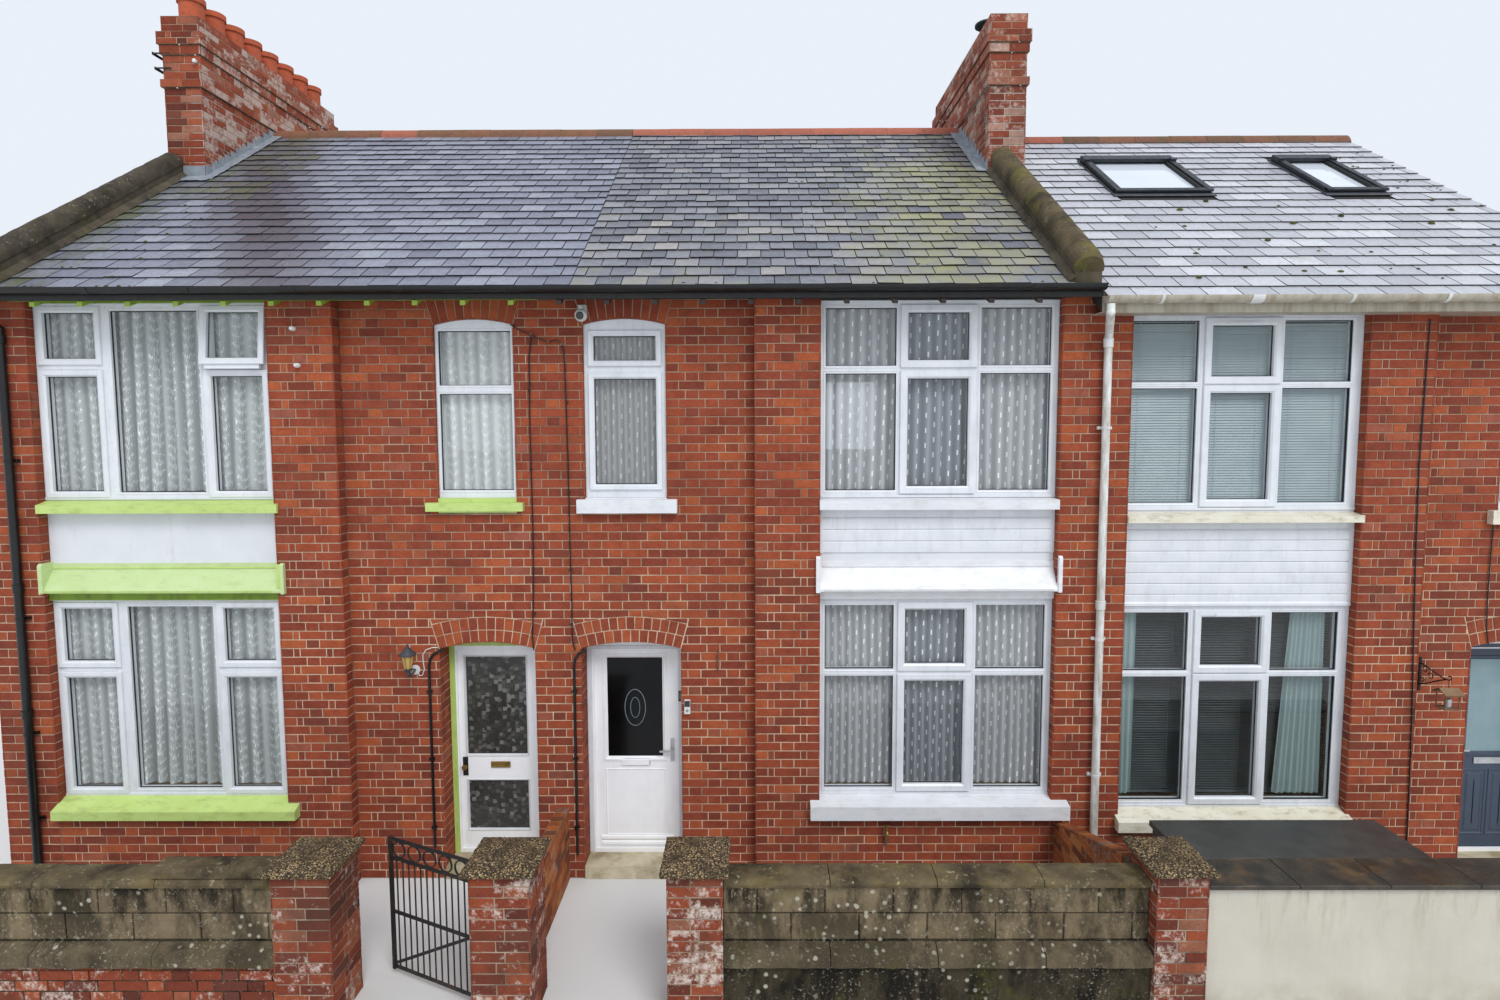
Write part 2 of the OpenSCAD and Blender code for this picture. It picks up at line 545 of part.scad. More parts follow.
module door_fittings_b() color([0.8, 0.8, 0.82]) fittings(1, 1045, 1120, 975, -1);
module door_fittings_c() color([0.8, 0.8, 0.82]) fittings(2, 1085, 1120, 975, -1);

module door_steps() color([0.55, 0.52, 0.45]) for (h = [0:2]) ub(h, dr0[h], dr1[h], -15, y_in, 0, floor_z);
module rooms(z0, z1) {
  bx(x_li, x_ab - party_t / 2, y_in, y_ri, z0, z1);
  bx(x_ab + party_t / 2, x_pl, y_in, y_ri, z0, z1);
  bx(x_pr, x_ri, y_in, y_ri, z0, z1);
}
module ground_floor() color([0.5, 0.46, 0.42]) rooms(0, floor_z);
module upper_floor() color([0.6, 0.52, 0.42]) rooms(upper_z - upper_t, upper_z);

// ---- garden walls ----
// piers: [x0, x1], caps oversail
pier = [[-3330, -2920], [-1960, -1535], [-590, -200], [2790, 3150]];
pier_b = pier_y - 400;
module garden_piers() color([0.55, 0.25, 0.18]) for (p = pier) bx(p[0], p[1], -pier_y, -pier_b, 0, pier_z);
module pier_caps() color([0.36, 0.33, 0.27]) for (p = pier) {
  m = (p[0] + p[1]) / 2;
  w = (p[1] - p[0]) / 2 + 48;
  y = -(pier_y + pier_b) / 2;
  bx(m - w, m + w, y - 250, y + 250, pier_z, pier_z + 45);
  px(m - w + 6, m + w - 6, [[y - 244, pier_z + 44], [y, pier_z + 95], [y + 244, pier_z + 44]]);
}
// block wall over a sloping plinth course, with a rounded coping
module block_wall(x0, x1) {
  y0 = -pier_y + 100;
  px(x0, x1, [[y0 - 60, 0], [y0 - 60, 420], [y0 - 100, 430], [y0 - 100, 520], [y0, 572], [y0, gwall_z - 65],
    [y0 + 200, gwall_z - 65], [y0 + 200, 0]]);
  px(x0, x1, [[y0 - 35, gwall_z - 65], [y0 - 40, gwall_z - 40], [y0 - 20, gwall_z - 12], [y0 + 100, gwall_z],
    [y0 + 205, gwall_z - 12], [y0 + 215, gwall_z - 40], [y0 + 210, gwall_z - 65]]);
}
module garden_walls() color([0.4, 0.37, 0.3]) {
  block_wall(x_lo, pier[0][0]);
  bx(pier[0][0] - 900, pier[0][0], -pier_y + 80, -pier_y + 290, gwall_z - 5, gwall_z + 68);
  block_wall(pier[2][1], pier[3][0]);
}
module divider(x, zf, zb) px(x, x + 112, [[-pier_b, 0], [0, 0], [0, zb], [-pier_b, zf]]);
module dividing_walls() color([0.55, 0.27, 0.18]) {
  divider(x_ab, 700, 680);
  px(pier[3][0] - 60, pier[3][0] + 52, [[-pier_b, 0], [-pil_d, 0], [-pil_d, 600], [-pier_b, 1040]]);
}
module rendered_wall() color([0.86, 0.82, 0.72]) bx(pier[3][1], x_cd - 1200, -pier_y + 40, -pier_y + 240, 0, 1000);
module wall_slabs() color([0.13, 0.12, 0.11]) bx(pier[3][1], x_cd - 1180, -pier_y, -pier_b - 50, 1000, 1035);
module bin_store() color([0.12, 0.12, 0.12]) {
  bx(pier[3][1] + 50, 4950, -pier_b - 50, -920, 0, 985);
  bx(pier[3][1] + 30, 4980, -pier_b - 50, -900, 985, 1030);
}

// ---- gate, drawn shut along -X from its hinge and then swung inward ----
gx = pier[1][0] - 25;
gy = -1600;
gl = 840;
module bar(x, z0, z1) translate([x, 0, z0]) cylinder(d = 12, h = z1 - z0, $fn = 16);
module garden_gate() color([0.06, 0.06, 0.06]) translate([gx, gy, 0]) rotate([0, 0, -gate_a]) {
  // stiles
  bx(-gl, -gl + 25, -12, 12, 50, 1100);
  bx(-45, -20, -12, 12, 50, 1100);
  // rails
  for (z = [60, 500, 925, 1075]) bx(-gl + 24, -44, -5, 5, z, z + 25);
  for (k = [1:12]) bar(-gl + 12 + k * 60.8, 84, 926);
  // scrolls between the top rails
  for (k = [0:4]) translate([-gl + 100 + k * 155, 5, 1012.5]) rotate([90, 0, 0]) difference() {
    cylinder(r = 66, h = 10, $fn = 40);
    translate([0, 0, -5]) cylinder(r = 56, h = 20, $fn = 40);
  }
  // brace
  translate([-gl + 20, -11, 84]) rotate([0, -28.5, 0]) bx(0, 880, 0, 6, 0, 22);
  // eyes round the hinge pins
  for (z = [160, 900]) translate([0, 0, z]) difference() {
    union() {
      cylinder(d = 30, h = 40, $fn = 32);
      bx(-24, -10, -12, 12, 0, 40);
    }
    translate([0, 0, -5]) cylinder(d = 14, h = 50, $fn = 32);
  }
}
module gate_pins() color([0.06, 0.06, 0.06]) for (z = [140, 880]) translate([gx, gy, z]) {
  cylinder(d = 12, h = 70, $fn = 32);
  cylinder(d = 26, h = 15, $fn = 32);
  bx(0, 25, -10, 10, 0, 15);
}

// ---- small fittings on the wall ----
module wall_lantern() color([0.25, 0.25, 0.25]) translate([-3060, 0, 1980]) {
  translate([0, -12, 0]) rotate([-90, 0, 0]) cylinder(d = 90, h = 12);
  bx(-10, 10, -150, -8, -12, 8);
  translate([0, -150, 0]) {
    cylinder(d = 30, h = 70);
    translate([0, 0, 60]) cylinder(d1 = 70, d2 = 130, h = 130);
    translate([0, 0, 190]) cylinder(d1 = 150, d2 = 40, h = 60);
    translate([0, 0, 250]) cylinder(d = 24, h = 30);
  }
}
module wall_camera() color([0.92, 0.92, 0.92]) translate([-1470, 0, 5200]) {
  bx(-35, 35, -60, 0, -30, 40);
  translate([0, -100, -55]) sphere(d = 110);
  bx(-12, 12, -110, -55, -20, 20);
}
module door_bell() color([0.1, 0.1, 0.11]) {
  bx(-692, -650, df0 - 15, df0, 1600, 1700);
  bx(-615, -560, -30, 0, 1570, 1700);
}

centred() pilasters();
centred() bay_aprons();
centred() bay_panels();
centred() door_bay_jambs();
centred() door_bay_walls();
centred() rear_wall();
centred() end_walls();
centred() party_walls();
centred() parapets();
centred() parapet_copings();
centred() chimney_stacks();
centred() chimney_pots();
centred() chimney_cowl();
centred() roof_front();
centred() roof_rear();
centred() ridge_tiles();
centred() rooflight_frames();
centred() rooflight_glass();
centred() gutters();
centred() downpipes();
centred() rafter_feet();
centred() bay_window_frames();
centred() bay_window_glass();
centred() small_window_frames();
centred() small_window_glass();
centred() rear_window_frames();
centred() rear_window_glass();
centred() window_sills();
centred() canopies();
centred() door_frames();
centred() door_steps();
centred() ground_floor();
centred() upper_floor();
centred() door_leaf_a();
centred() door_glass_a();
centred() door_fittings_a();
centred() door_leaf_b();
centred() door_glass_b();
centred() door_fittings_b();
centred() door_leaf_c();
centred() door_glass_c();
centred() door_fittings_c();
centred() garden_piers();
centred() pier_caps();
centred() garden_walls();
centred() dividing_walls();
centred() rendered_wall();
centred() wall_slabs();
centred() bin_store();
centred() garden_gate();
centred() gate_pins();
centred() wall_lantern();
centred() wall_camera();
centred() door_bell();
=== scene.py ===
"""Looks of a row of three brick terraced houses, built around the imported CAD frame.
Lengths are metres. The helpers work in a plan whose Y = 0 is the face of the door bays' wall;
OX, OY move that plan onto the CAD frame."""
import bpy
import math
import random
import numpy as np
from mathutils import Vector, Matrix, noise


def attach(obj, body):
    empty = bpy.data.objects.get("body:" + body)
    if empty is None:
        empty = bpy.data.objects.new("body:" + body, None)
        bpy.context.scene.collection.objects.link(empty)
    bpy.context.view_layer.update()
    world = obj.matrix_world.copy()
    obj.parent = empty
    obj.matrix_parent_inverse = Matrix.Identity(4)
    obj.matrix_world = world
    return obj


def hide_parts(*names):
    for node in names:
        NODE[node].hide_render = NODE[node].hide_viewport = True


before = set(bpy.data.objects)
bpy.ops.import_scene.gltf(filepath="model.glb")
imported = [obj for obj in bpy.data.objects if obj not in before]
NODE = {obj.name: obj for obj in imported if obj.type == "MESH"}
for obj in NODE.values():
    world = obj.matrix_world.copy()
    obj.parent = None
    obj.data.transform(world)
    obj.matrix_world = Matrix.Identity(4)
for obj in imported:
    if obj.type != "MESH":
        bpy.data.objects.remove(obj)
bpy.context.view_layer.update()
OX, OY = -0.4635, -2.816
RND = random.Random(7)
SCN = bpy.context.scene
SCN.view_settings.view_transform = "Standard"

# ---------------------------------------------------------------- camera
cam_data = bpy.data.cameras.new("camera")
cam = bpy.data.objects.new("camera", cam_data)
SCN.collection.objects.link(cam)
SCN.camera = cam
cam_data.sensor_fit = "HORIZONTAL"
cam_data.sensor_width = 36.0
cam_data.lens = 18.83118
cam_data.clip_start, cam_data.clip_end = 0.1, 200
cam.location = (-0.44238, -9.79383, 4.23892)
cam.rotation_euler = (Matrix.Rotation(math.radians(0.25876), 3, "Z")
                      @ Matrix.Rotation(math.radians(90 - 4.27868), 3, "X")
                      @ Matrix.Rotation(math.radians(-0.18623), 3, "Z")).to_euler()
cam.data.shift_y = -0.01448

# ---------------------------------------------------------------- row layout (plan metres)
X_AB, X_BC, X_CD, X_XA = -1.8, 3.0, 7.7, -6.6
X_LO, X_LI, X_RI = -6.773, -6.275, 7.47
X_QA, X_QB, X_PL, X_PR = -6.605, -6.410, 2.715, 2.940
STACKS = ((-6.580, 2.100, 2.850), (2.680, 2.145, 2.655))
S_W, S_TOP = 0.42, 8.75
DEPTH, Y_IN, YR, YE = 7.06, 0.34, 3.53, -0.3
PIL = -0.12
PITCH = math.radians(34.08)
TP = math.tan(PITCH)
TV = 0.09 / math.cos(PITCH)
EAVE = 5.363
DROP = (0.0, 0.0, 0.12)
BAY = ((-6.295, -4.208), (0.608, 2.695), (3.305, 5.350))
DOOR = ((-2.838, -1.968), (-1.550, -0.644), (6.500, 7.400))
SWIN = ((-2.802, -2.100), (-1.482, -0.755), (6.655, 7.382))
WLB, WLT, WUB, WUT = 0.817, 2.633, 3.544, 5.266
DZS, DRISE = 2.17, 0.06
GZ_AB, GZ_C = 5.351, 5.248
SZS, SRISE, SW_Y = 5.08, 0.05, 0.035


def zt(y, d=0.0):
    return EAVE - d + ((y if y <= YR else 2 * YR - y) - YE) * TP


def zu(y, d=0.0):
    return zt(y, d) - TV


def c(r, g, b):
    """Linear colour from an 8-bit one."""
    return tuple(((v / 255) / 12.92 if v / 255 <= 0.04045 else ((v / 255 + 0.055) / 1.055) ** 2.4) for v in (r, g, b)) + (1.0,)


# ---------------------------------------------------------------- materials
class Mat:
    """Small helper that wires a Principled material."""

    def __init__(s, name, color=None, rough=0.6, metal=0.0, spec=0.5, coat=0.0, sheen=0.0):
        s.m = bpy.data.materials.new(name)
        s.m.use_nodes = True
        s.t = s.m.node_tree
        s.t.nodes.clear()
        s.out = s.n("ShaderNodeOutputMaterial")
        s.b = s.n("ShaderNodeBsdfPrincipled")
        s.t.links.new(s.b.outputs[0], s.out.inputs[0])
        s.b.inputs["Roughness"].default_value = rough
        s.b.inputs["Metallic"].default_value = metal
        s.b.inputs["Specular IOR Level"].default_value = spec
        s.b.inputs["Coat Weight"].default_value = coat
        s.b.inputs["Sheen Weight"].default_value = sheen
        s.tc = None
        s.hn = None
        if color is not None:
            s.put(s.b.inputs["Base Color"], color)

    def n(s, kind, **kw):
        node = s.t.nodes.new(kind)
        for k, v in kw.items():
            setattr(node, k, v)
        return node

    def put(s, sock, v):
        if isinstance(v, bpy.types.NodeSocket):
            s.t.links.new(v, sock)
        else:
            sock.default_value = v
        return s

    def co(s, scale=None, loc=None):
        if s.tc is None:
            s.tc = s.n("ShaderNodeTexCoord").outputs["Object"]
        if scale is None:
            return s.tc
        m = s.n("ShaderNodeMapping")
        s.put(m.inputs["Vector"], s.tc)
        m.inputs["Scale"].default_value = scale
        if loc:
            m.inputs["Location"].default_value = loc
        return m.outputs[0]

    def noise(s, scale, detail=4.0, rough=0.55, dist=0.0, vec=None):
        k = s.n("ShaderNodeTexNoise")
        s.put(k.inputs["Vector"], vec if vec is not None else s.co())
        k.inputs["Scale"].default_value = scale
        k.inputs["Detail"].default_value = detail
        k.inputs["Roughness"].default_value = rough
        k.inputs["Distortion"].default_value = dist
        return k.outputs["Fac"]

    def vor(s, scale, feature="F1", vec=None, out="Distance", rnd=1.0):
        k = s.n("ShaderNodeTexVoronoi", feature=feature)
        s.put(k.inputs["Vector"], vec if vec is not None else s.co())
        k.inputs["Scale"].default_value = scale
        k.inputs["Randomness"].default_value = rnd
        return k.outputs[out]

    def ramp(s, fac, stops, interp="LINEAR"):
        k = s.n("ShaderNodeValToRGB")
        k.color_ramp.interpolation = interp
        el = k.color_ramp.elements
        while len(el) < len(stops):
            el.new(0.5)
        for e, (p, col) in zip(el, stops):
            e.position = p
            e.color = col if hasattr(col, "__len__") else (col, col, col, 1)
        s.put(k.inputs[0], fac)
        return k.outputs[0]

    def mr(s, v, a, b, x=0.0, y=1.0):
        k = s.n("ShaderNodeMapRange")
        s.put(k.inputs["Value"], v)
        for i, q in zip(("From Min", "From Max", "To Min", "To Max"), (a, b, x, y)):
            k.inputs[i].default_value = q
        return k.outputs[0]

    def mix(s, fac, a, b, blend="MIX"):
        k = s.n("ShaderNodeMix", data_type="RGBA", blend_type=blend)
        s.put(k.inputs[0], fac)
        s.put(k.inputs[6], a)
        s.put(k.inputs[7], b)
        return k.outputs[2]

    def math(s, op, a, b=0.0):
        k = s.n("ShaderNodeMath", operation=op)
        s.put(k.inputs[0], a)
        s.put(k.inputs[1], b)
        return k.outputs[0]

    def xyz(s, v=None):
        k = s.n("ShaderNodeSeparateXYZ")
        s.put(k.inputs[0], v if v is not None else s.co())
        return k.outputs

    def tone(s):
        k = s.n("ShaderNodeAttribute", attribute_name="tone")
        return s.xyz(k.outputs["Vector"])

    def color(s, v):
        s.put(s.b.inputs["Base Color"], v)
        return s

    def roughness(s, v):
        s.put(s.b.inputs["Roughness"], v)
        return s

    def bump(s, h, strength=0.3, dist=0.01):
        k = s.n("ShaderNodeBump")
        k.inputs["Strength"].default_value = strength
        k.inputs["Distance"].default_value = dist
        s.put(k.inputs["Height"], h)
        if s.hn is not None:
            s.put(k.inputs["Normal"], s.hn)
        s.hn = k.outputs[0]
        s.put(s.b.inputs["Normal"], s.hn)
        return s


def brick_mat(name, stops, white=0.0, soot=0.0, burnt=0.75, wlo=0.62, face=None):
    m = Mat(name, rough=0.86, spec=0.25)
    t = m.tone()
    col = m.ramp(t[0], stops)
    speck = m.noise(55, 5, 0.7)
    col = m.mix(m.mr(speck, 0.35, 0.75, 0.0, 0.5), col, m.mix(1.0, col, c(150, 140, 138), "MULTIPLY"))
    col = m.mix(m.mr(m.noise(9, 3), 0.4, 0.7, 0.0, 0.35), col, m.mix(1.0, col, c(170, 150, 140), "MULTIPLY"))
    # burnt headers and soot
    col = m.mix(m.mr(t[1], 0.90, 0.97, 0.0, burnt), col, c(92, 56, 48))
    col = m.mix(m.math("MULTIPLY", m.mr(m.noise(1.3, 4), 0.48, 0.72, 0.0, 1.0), 0.25 + soot), col, c(72, 52, 42))
    if white:
        k = m.math("ADD", m.math("MULTIPLY", m.noise(19, 6, 0.75), 0.6), m.math("MULTIPLY", m.noise(3.1, 4, 0.6), 0.45))
        k = m.math("ADD", k, m.math("MULTIPLY", t[2], 0.10))
        if face is not None:
            # the long side face is paler: partly more salt staining, partly painted light from the right
            k = m.math("ADD", k, m.math("MULTIPLY", m.math("GREATER_THAN", m.xyz()[0], face), 0.055))
        f = m.math("MULTIPLY", m.mr(k, wlo, wlo + 0.10), white)
        col = m.mix(f, col, c(205, 190, 178))
    m.color(col)
    m.bump(m.noise(90, 6, 0.65), 0.35, 0.004)
    m.bump(m.noise(14, 4), 0.25, 0.006)
    return m.m


BRICK = brick_mat("brick_red", [(0.0, c(132, 64, 48)), (0.2, c(146, 70, 50)), (0.5, c(158, 76, 52)), (0.8, c(170, 84, 54)), (0.94, c(184, 96, 58)), (1.0, c(160, 92, 74))], burnt=0.38)
# its face argument makes the stack's lit side paler: salt staining plus painted light
BRICK_CH = brick_mat("brick_chimney", [(0.0, c(104, 52, 40)), (0.3, c(136, 64, 44)), (0.6, c(156, 76, 50)), (0.85, c(172, 90, 62)), (1.0, c(168, 116, 96))], white=0.66, soot=0.22, wlo=0.67, face=STACKS[0][0] + S_W + OX - 0.02)
BRICK_CHR = brick_mat("brick_chimney_lime", [(0.0, c(120, 60, 46)), (0.3, c(150, 74, 54)), (0.6, c(166, 90, 66)), (0.85, c(178, 110, 88)), (1.0, c(186, 148, 130))], white=0.62, soot=0.2, wlo=0.60)
BRICK_OLD = brick_mat("brick_garden", [(0.0, c(98, 50, 38)), (0.3, c(132, 62, 42)), (0.6, c(150, 72, 46)), (0.85, c(166, 86, 54)), (1.0, c(150, 100, 78))], white=0.9, soot=0.45, wlo=0.60)
BRICK_ORANGE = brick_mat("brick_divider", [(0.0, c(112, 60, 34)), (0.4, c(158, 86, 44)), (0.8, c(184, 106, 54)), (1.0, c(190, 126, 68))], white=0.25, soot=0.4)


def mortar_mat(name, a, b, dark, inside=True):
    m = Mat(name, rough=0.95, spec=0.15)
    f = m.noise(6, 5, 0.6)
    col = m.mix(m.mr(f, 0.35, 0.65), a, b)
    col = m.mix(m.mr(m.noise(2.3, 4), 0.50, 0.72, 0.0, 0.75), col, dark)
    if inside:
        x, y, z = m.xyz()[:3]
        # higher up the joints are sooty and weathered back
        f = m.math("MULTIPLY", m.mr(z, 2.3, 3.6), m.mr(m.noise(1.6, 4), 0.30, 0.62, 1.0, 0.45))
        col = m.mix(m.math("MULTIPLY", f, 0.74), col, c(114, 80, 64))
        f = m.math("MULTIPLY", m.math("GREATER_THAN", y, Y_IN + OY - 0.012), m.math("LESS_THAN", y, DEPTH - 0.34 + OY + 0.012))
        f = m.math("MULTIPLY", f, m.math("GREATER_THAN", x, X_LI + OX - 0.012))
        f = m.math("MULTIPLY", f, m.math("LESS_THAN", x, X_RI + OX + 0.012))
        f = m.math("MULTIPLY", f, m.math("LESS_THAN", z, 7.9))
        col = m.mix(f, col, c(178, 170, 158))
    m.color(col)
    m.bump(m.noise(70, 5, 0.7), 0.5, 0.004)
    return m.m


MORTAR = mortar_mat("mortar_pale", c(214, 190, 162), c(188, 160, 134), c(128, 104, 88))
MORTAR_D = mortar_mat("mortar_dark", c(138, 118, 100), c(176, 158, 138), c(62, 52, 44), inside=False)


def paint(name, col, col2, rough=0.35, dirt=None, dirt_amt=0.35, bump=0.12, streak=True):
    m = Mat(name, rough=rough)
    k = m.mix(m.mr(m.noise(4.5, 4), 0.3, 0.7), col, col2)
    if dirt is not None:
        v = m.co((7, 7, 1.6)) if streak else m.co()
        k = m.mix(m.math("MULTIPLY", m.mr(m.noise(1.6, 6, 0.7, vec=v), 0.50, 0.78), dirt_amt), k, dirt)
    m.color(k)
    m.roughness(m.mr(m.noise(30, 3), 0.3, 0.7, max(0.05, rough - 0.08), rough + 0.12))
    m.bump(m.noise(160, 3), bump, 0.001)
    return m.m


UPVC = paint("frame_white", c(226, 228, 232), c(214, 217, 222), 0.32, c(150, 145, 130), 0.28)
WHITE_PAINT = paint("paint_white", c(224, 226, 228), c(210, 212, 214), 0.45, c(150, 146, 134), 0.35)
# whiter than the window frames' white, to offset the shade in the door recesses: painted light
DOOR_WHITE = paint("door_white", c(250, 250, 251), c(243, 244, 246), 0.36, c(186, 184, 176), 0.2)
LIME = paint("paint_lime", c(190, 216, 122), c(178, 204, 108), 0.5, c(120, 140, 60), 0.55)
LIME_PALE = paint("paint_lime_pale", c(194, 216, 146), c(184, 208, 134), 0.5, c(150, 160, 96), 0.5)
# darker copy of the lime paint for faces under the eaves and the canopy lip: painted shade, with moss dirt
LIME_SHADE = paint("paint_lime_shade", c(126, 156, 40), c(108, 134, 34), 0.6, c(60, 66, 24), 0.7)
CREAM_PAINT = paint("paint_cream", c(226, 222, 204), c(214, 208, 186), 0.5, c(150, 136, 100), 0.6)
BLACK_PL = paint("plastic_black", c(9, 10, 11), c(14, 15, 16), 0.34, c(44, 42, 38), 0.22)
BLACK_WOOD = paint("paint_black", c(30, 30, 30), c(42, 40, 38), 0.5, c(72, 66, 58), 0.4)
WHITE_PL = paint("plastic_white", c(222, 223, 222), c(210, 210, 206), 0.34, c(146, 136, 112), 0.45)
BLUE_DOOR = paint("paint_blue", c(62, 74, 92), c(54, 66, 84), 0.35, c(44, 50, 58), 0.3)
RUBBER = paint("gasket_black", c(22, 22, 23), c(30, 30, 31), 0.6)


def metal(name, col, rough=0.35, rust=None, rust_amt=0.6, met=1.0):
    m = Mat(name, rough=rough, metal=met)
    k = m.mix(m.mr(m.noise(12, 4), 0.35, 0.65), col, tuple(v * 0.8 for v in col[:3]) + (1,))
    if rust is not None:
        f = m.math("MULTIPLY", m.mr(m.noise(7, 6, 0.7), 0.52, 0.66), rust_amt)
        k = m.mix(f, k, rust)
    m.color(k)
    m.roughness(m.mr(m.noise(25, 4), 0.3, 0.7, rough, min(1.0, rough + 0.25)))
    m.bump(m.noise(120, 4), 0.2, 0.001)
    return m.m


IRON = metal("iron_black", c(34, 33, 32), 0.5, c(92, 60, 40), 0.55, met=0.2)
BRASS = metal("brass_old", c(176, 146, 84), 0.35, c(98, 84, 50), 0.6)
CHROME = metal("metal_bright", c(205, 206, 208), 0.22)
LEAD = metal("lead_grey", c(150, 158, 166), 0.5, c(196, 200, 204), 0.5, met=0.3)
DARK_METAL = metal("metal_dark", c(52, 56, 62), 0.38, c(84, 84, 80), 0.3, met=0.5)
STEEL = metal("steel_rusty", c(120, 100, 86), 0.55, c(104, 62, 40), 0.8, met=0.5)


def stone(name, a, b, dark, light, lichen=0.5, moss=None, moss_amt=0.4, scale=1.0, rough=0.93, fine=60):
    m = Mat(name, rough=rough, spec=0.2)
    col = m.mix(m.mr(m.noise(5 * scale, 5, 0.6), 0.35, 0.65), a, b)
    col = m.mix(m.math("MULTIPLY", m.mr(m.noise(2.6 * scale, 6, 0.7), 0.46, 0.64), 0.85), col, dark)
    spots = m.math("MULTIPLY", m.mr(m.noise(26 * scale, 5, 0.75), 0.58, 0.66), m.mr(m.noise(4 * scale, 3), 0.40, 0.62))
    col = m.mix(m.math("MULTIPLY", spots, lichen), col, light)
    if moss is not None:
        col = m.mix(m.math("MULTIPLY", m.mr(m.noise(3.3 * scale, 6, 0.72, dist=0.3), 0.50, 0.66), moss_amt), col, moss)
    m.color(col)
    m.bump(m.noise(fine, 6, 0.7), 0.6, 0.006)
    m.bump(m.noise(12, 5), 0.4, 0.01)
    return m


CONC = stone("concrete_old", c(208, 198, 172), c(184, 172, 146), c(134, 118, 88), c(222, 218, 204), 0.4, c(150, 146, 96), 0.3).m
COPING = stone("coping_mossy", c(84, 76, 64), c(68, 61, 52), c(44, 40, 35), c(170, 164, 148), 0.95, c(88, 86, 46), 0.25, fine=110).m
COPING_G = stone("coping_green", c(104, 90, 68), c(84, 74, 56), c(52, 46, 36), c(170, 164, 140), 0.5, c(112, 108, 46), 0.6, fine=110).m
SKIRT = stone("parapet_render", c(96, 86, 72), c(76, 68, 58), c(48, 44, 38), c(150, 146, 132), 0.35, c(84, 84, 46), 0.4).m
BLOCK = stone("blocks_lichen", c(126, 110, 84), c(98, 86, 66), c(46, 40, 33), c(208, 204, 194), 0.95, c(98, 98, 44), 0.35, fine=80).m
BLOCK_TOP = stone("coping_yellow", c(112, 99, 73), c(82, 72, 55), c(38, 33, 27), c(190, 178, 146), 0.8, c(116, 100, 52), 0.5, fine=90).m


def block_mat(name, a, b, low=False):
    """Split concrete blocks: sooty under the coping, run-off stains and round pale lichens; low spreads the darkening
    over the full height, for the near-black foot in painted shade.
    """
    m = Mat(name, rough=0.95, spec=0.15)
    z = m.xyz()[2]
    t = m.tone()
    col = m.mix(m.mr(m.noise(4.0, 6, 0.7), 0.36, 0.62), a, b)
    col = m.mix(m.math("MULTIPLY", t[0], 0.30), col, c(150, 134, 106))
    run = m.noise(1.5, 6, 0.72, vec=m.co((2.2, 2.2, 0.8)))
    soot = m.math("MULTIPLY", m.mr(run, 0.44, 0.56), m.mr(z, 0.55, 0.98, 0.55, 1.0) if not low else 1.0)
    col = m.mix(m.math("MULTIPLY", soot, 0.94), col, c(27, 24, 20))
    v = m.n("ShaderNodeTexVoronoi")
    m.put(v.inputs["Vector"], m.co())
    v.inputs["Scale"].default_value = 17
    dots = m.math("MULTIPLY", m.mr(m.math("ADD", v.outputs["Distance"], m.math("MULTIPLY", m.noise(30, 4, 0.7), 0.30)), 0.46, 0.34), m.math("GREATER_THAN", m.xyz(v.outputs["Color"])[0], 0.5))
    dots = m.math("MULTIPLY", dots, m.mr(m.noise(2.1, 5, 0.65), 0.48, 0.58))
    col = m.mix(m.math("MULTIPLY", dots, 0.75), col, c(190, 185, 168))
    fine = m.math("MULTIPLY", m.mr(m.noise(46, 4, 0.7), 0.58, 0.66), m.mr(m.noise(2.4, 4), 0.40, 0.60))
    col = m.mix(m.math("MULTIPLY", fine, 0.75), col, c(176, 170, 150))
    col = m.mix(m.math("MULTIPLY", m.mr(m.noise(2.9, 6, 0.7), 0.56, 0.70), 0.45), col, c(88, 86, 40))
    m.color(col)
    m.bump(m.noise(34, 6, 0.7), 0.8, 0.012)
    m.bump(m.noise(110, 5, 0.7), 0.4, 0.004)
    return m.m


BLOCKS = block_mat("blocks_split", c(128, 112, 88), c(98, 86, 68))
BLOCK_MID = block_mat("blocks_plinth", c(98, 87, 68), c(70, 62, 49))
# near-black blocks for the foot under the plinth: painted shade
BLOCK_FOOT_SHADE = block_mat("blocks_foot_painted_shade", c(30, 27, 21), c(20, 18, 14), low=True)
PEBBLE = None


def pebble():
    m = Mat("cap_pebbledash", rough=0.9, spec=0.25)
    d = m.vor(75)
    k = m.n("ShaderNodeTexVoronoi")
    m.put(k.inputs["Vector"], m.co())
    k.inputs["Scale"].default_value = 75
    rnd = m.xyz(k.outputs["Color"])[0]
    stones = m.ramp(rnd, [(0.0, c(112, 90, 66)), (0.4, c(156, 130, 92)), (0.75, c(190, 162, 116)), (1.0, c(212, 190, 152))])
    col = m.mix(m.mr(d, 0.25, 0.6), stones, c(58, 50, 40))
    col = m.mix(m.math("MULTIPLY", m.mr(m.noise(7, 5, 0.7), 0.45, 0.65), 0.75), col, c(64, 54, 42))
    m.color(col)
    m.bump(m.math("SUBTRACT", 1.0, d), 0.9, 0.008)
    return m.m


PEBBLE = pebble()


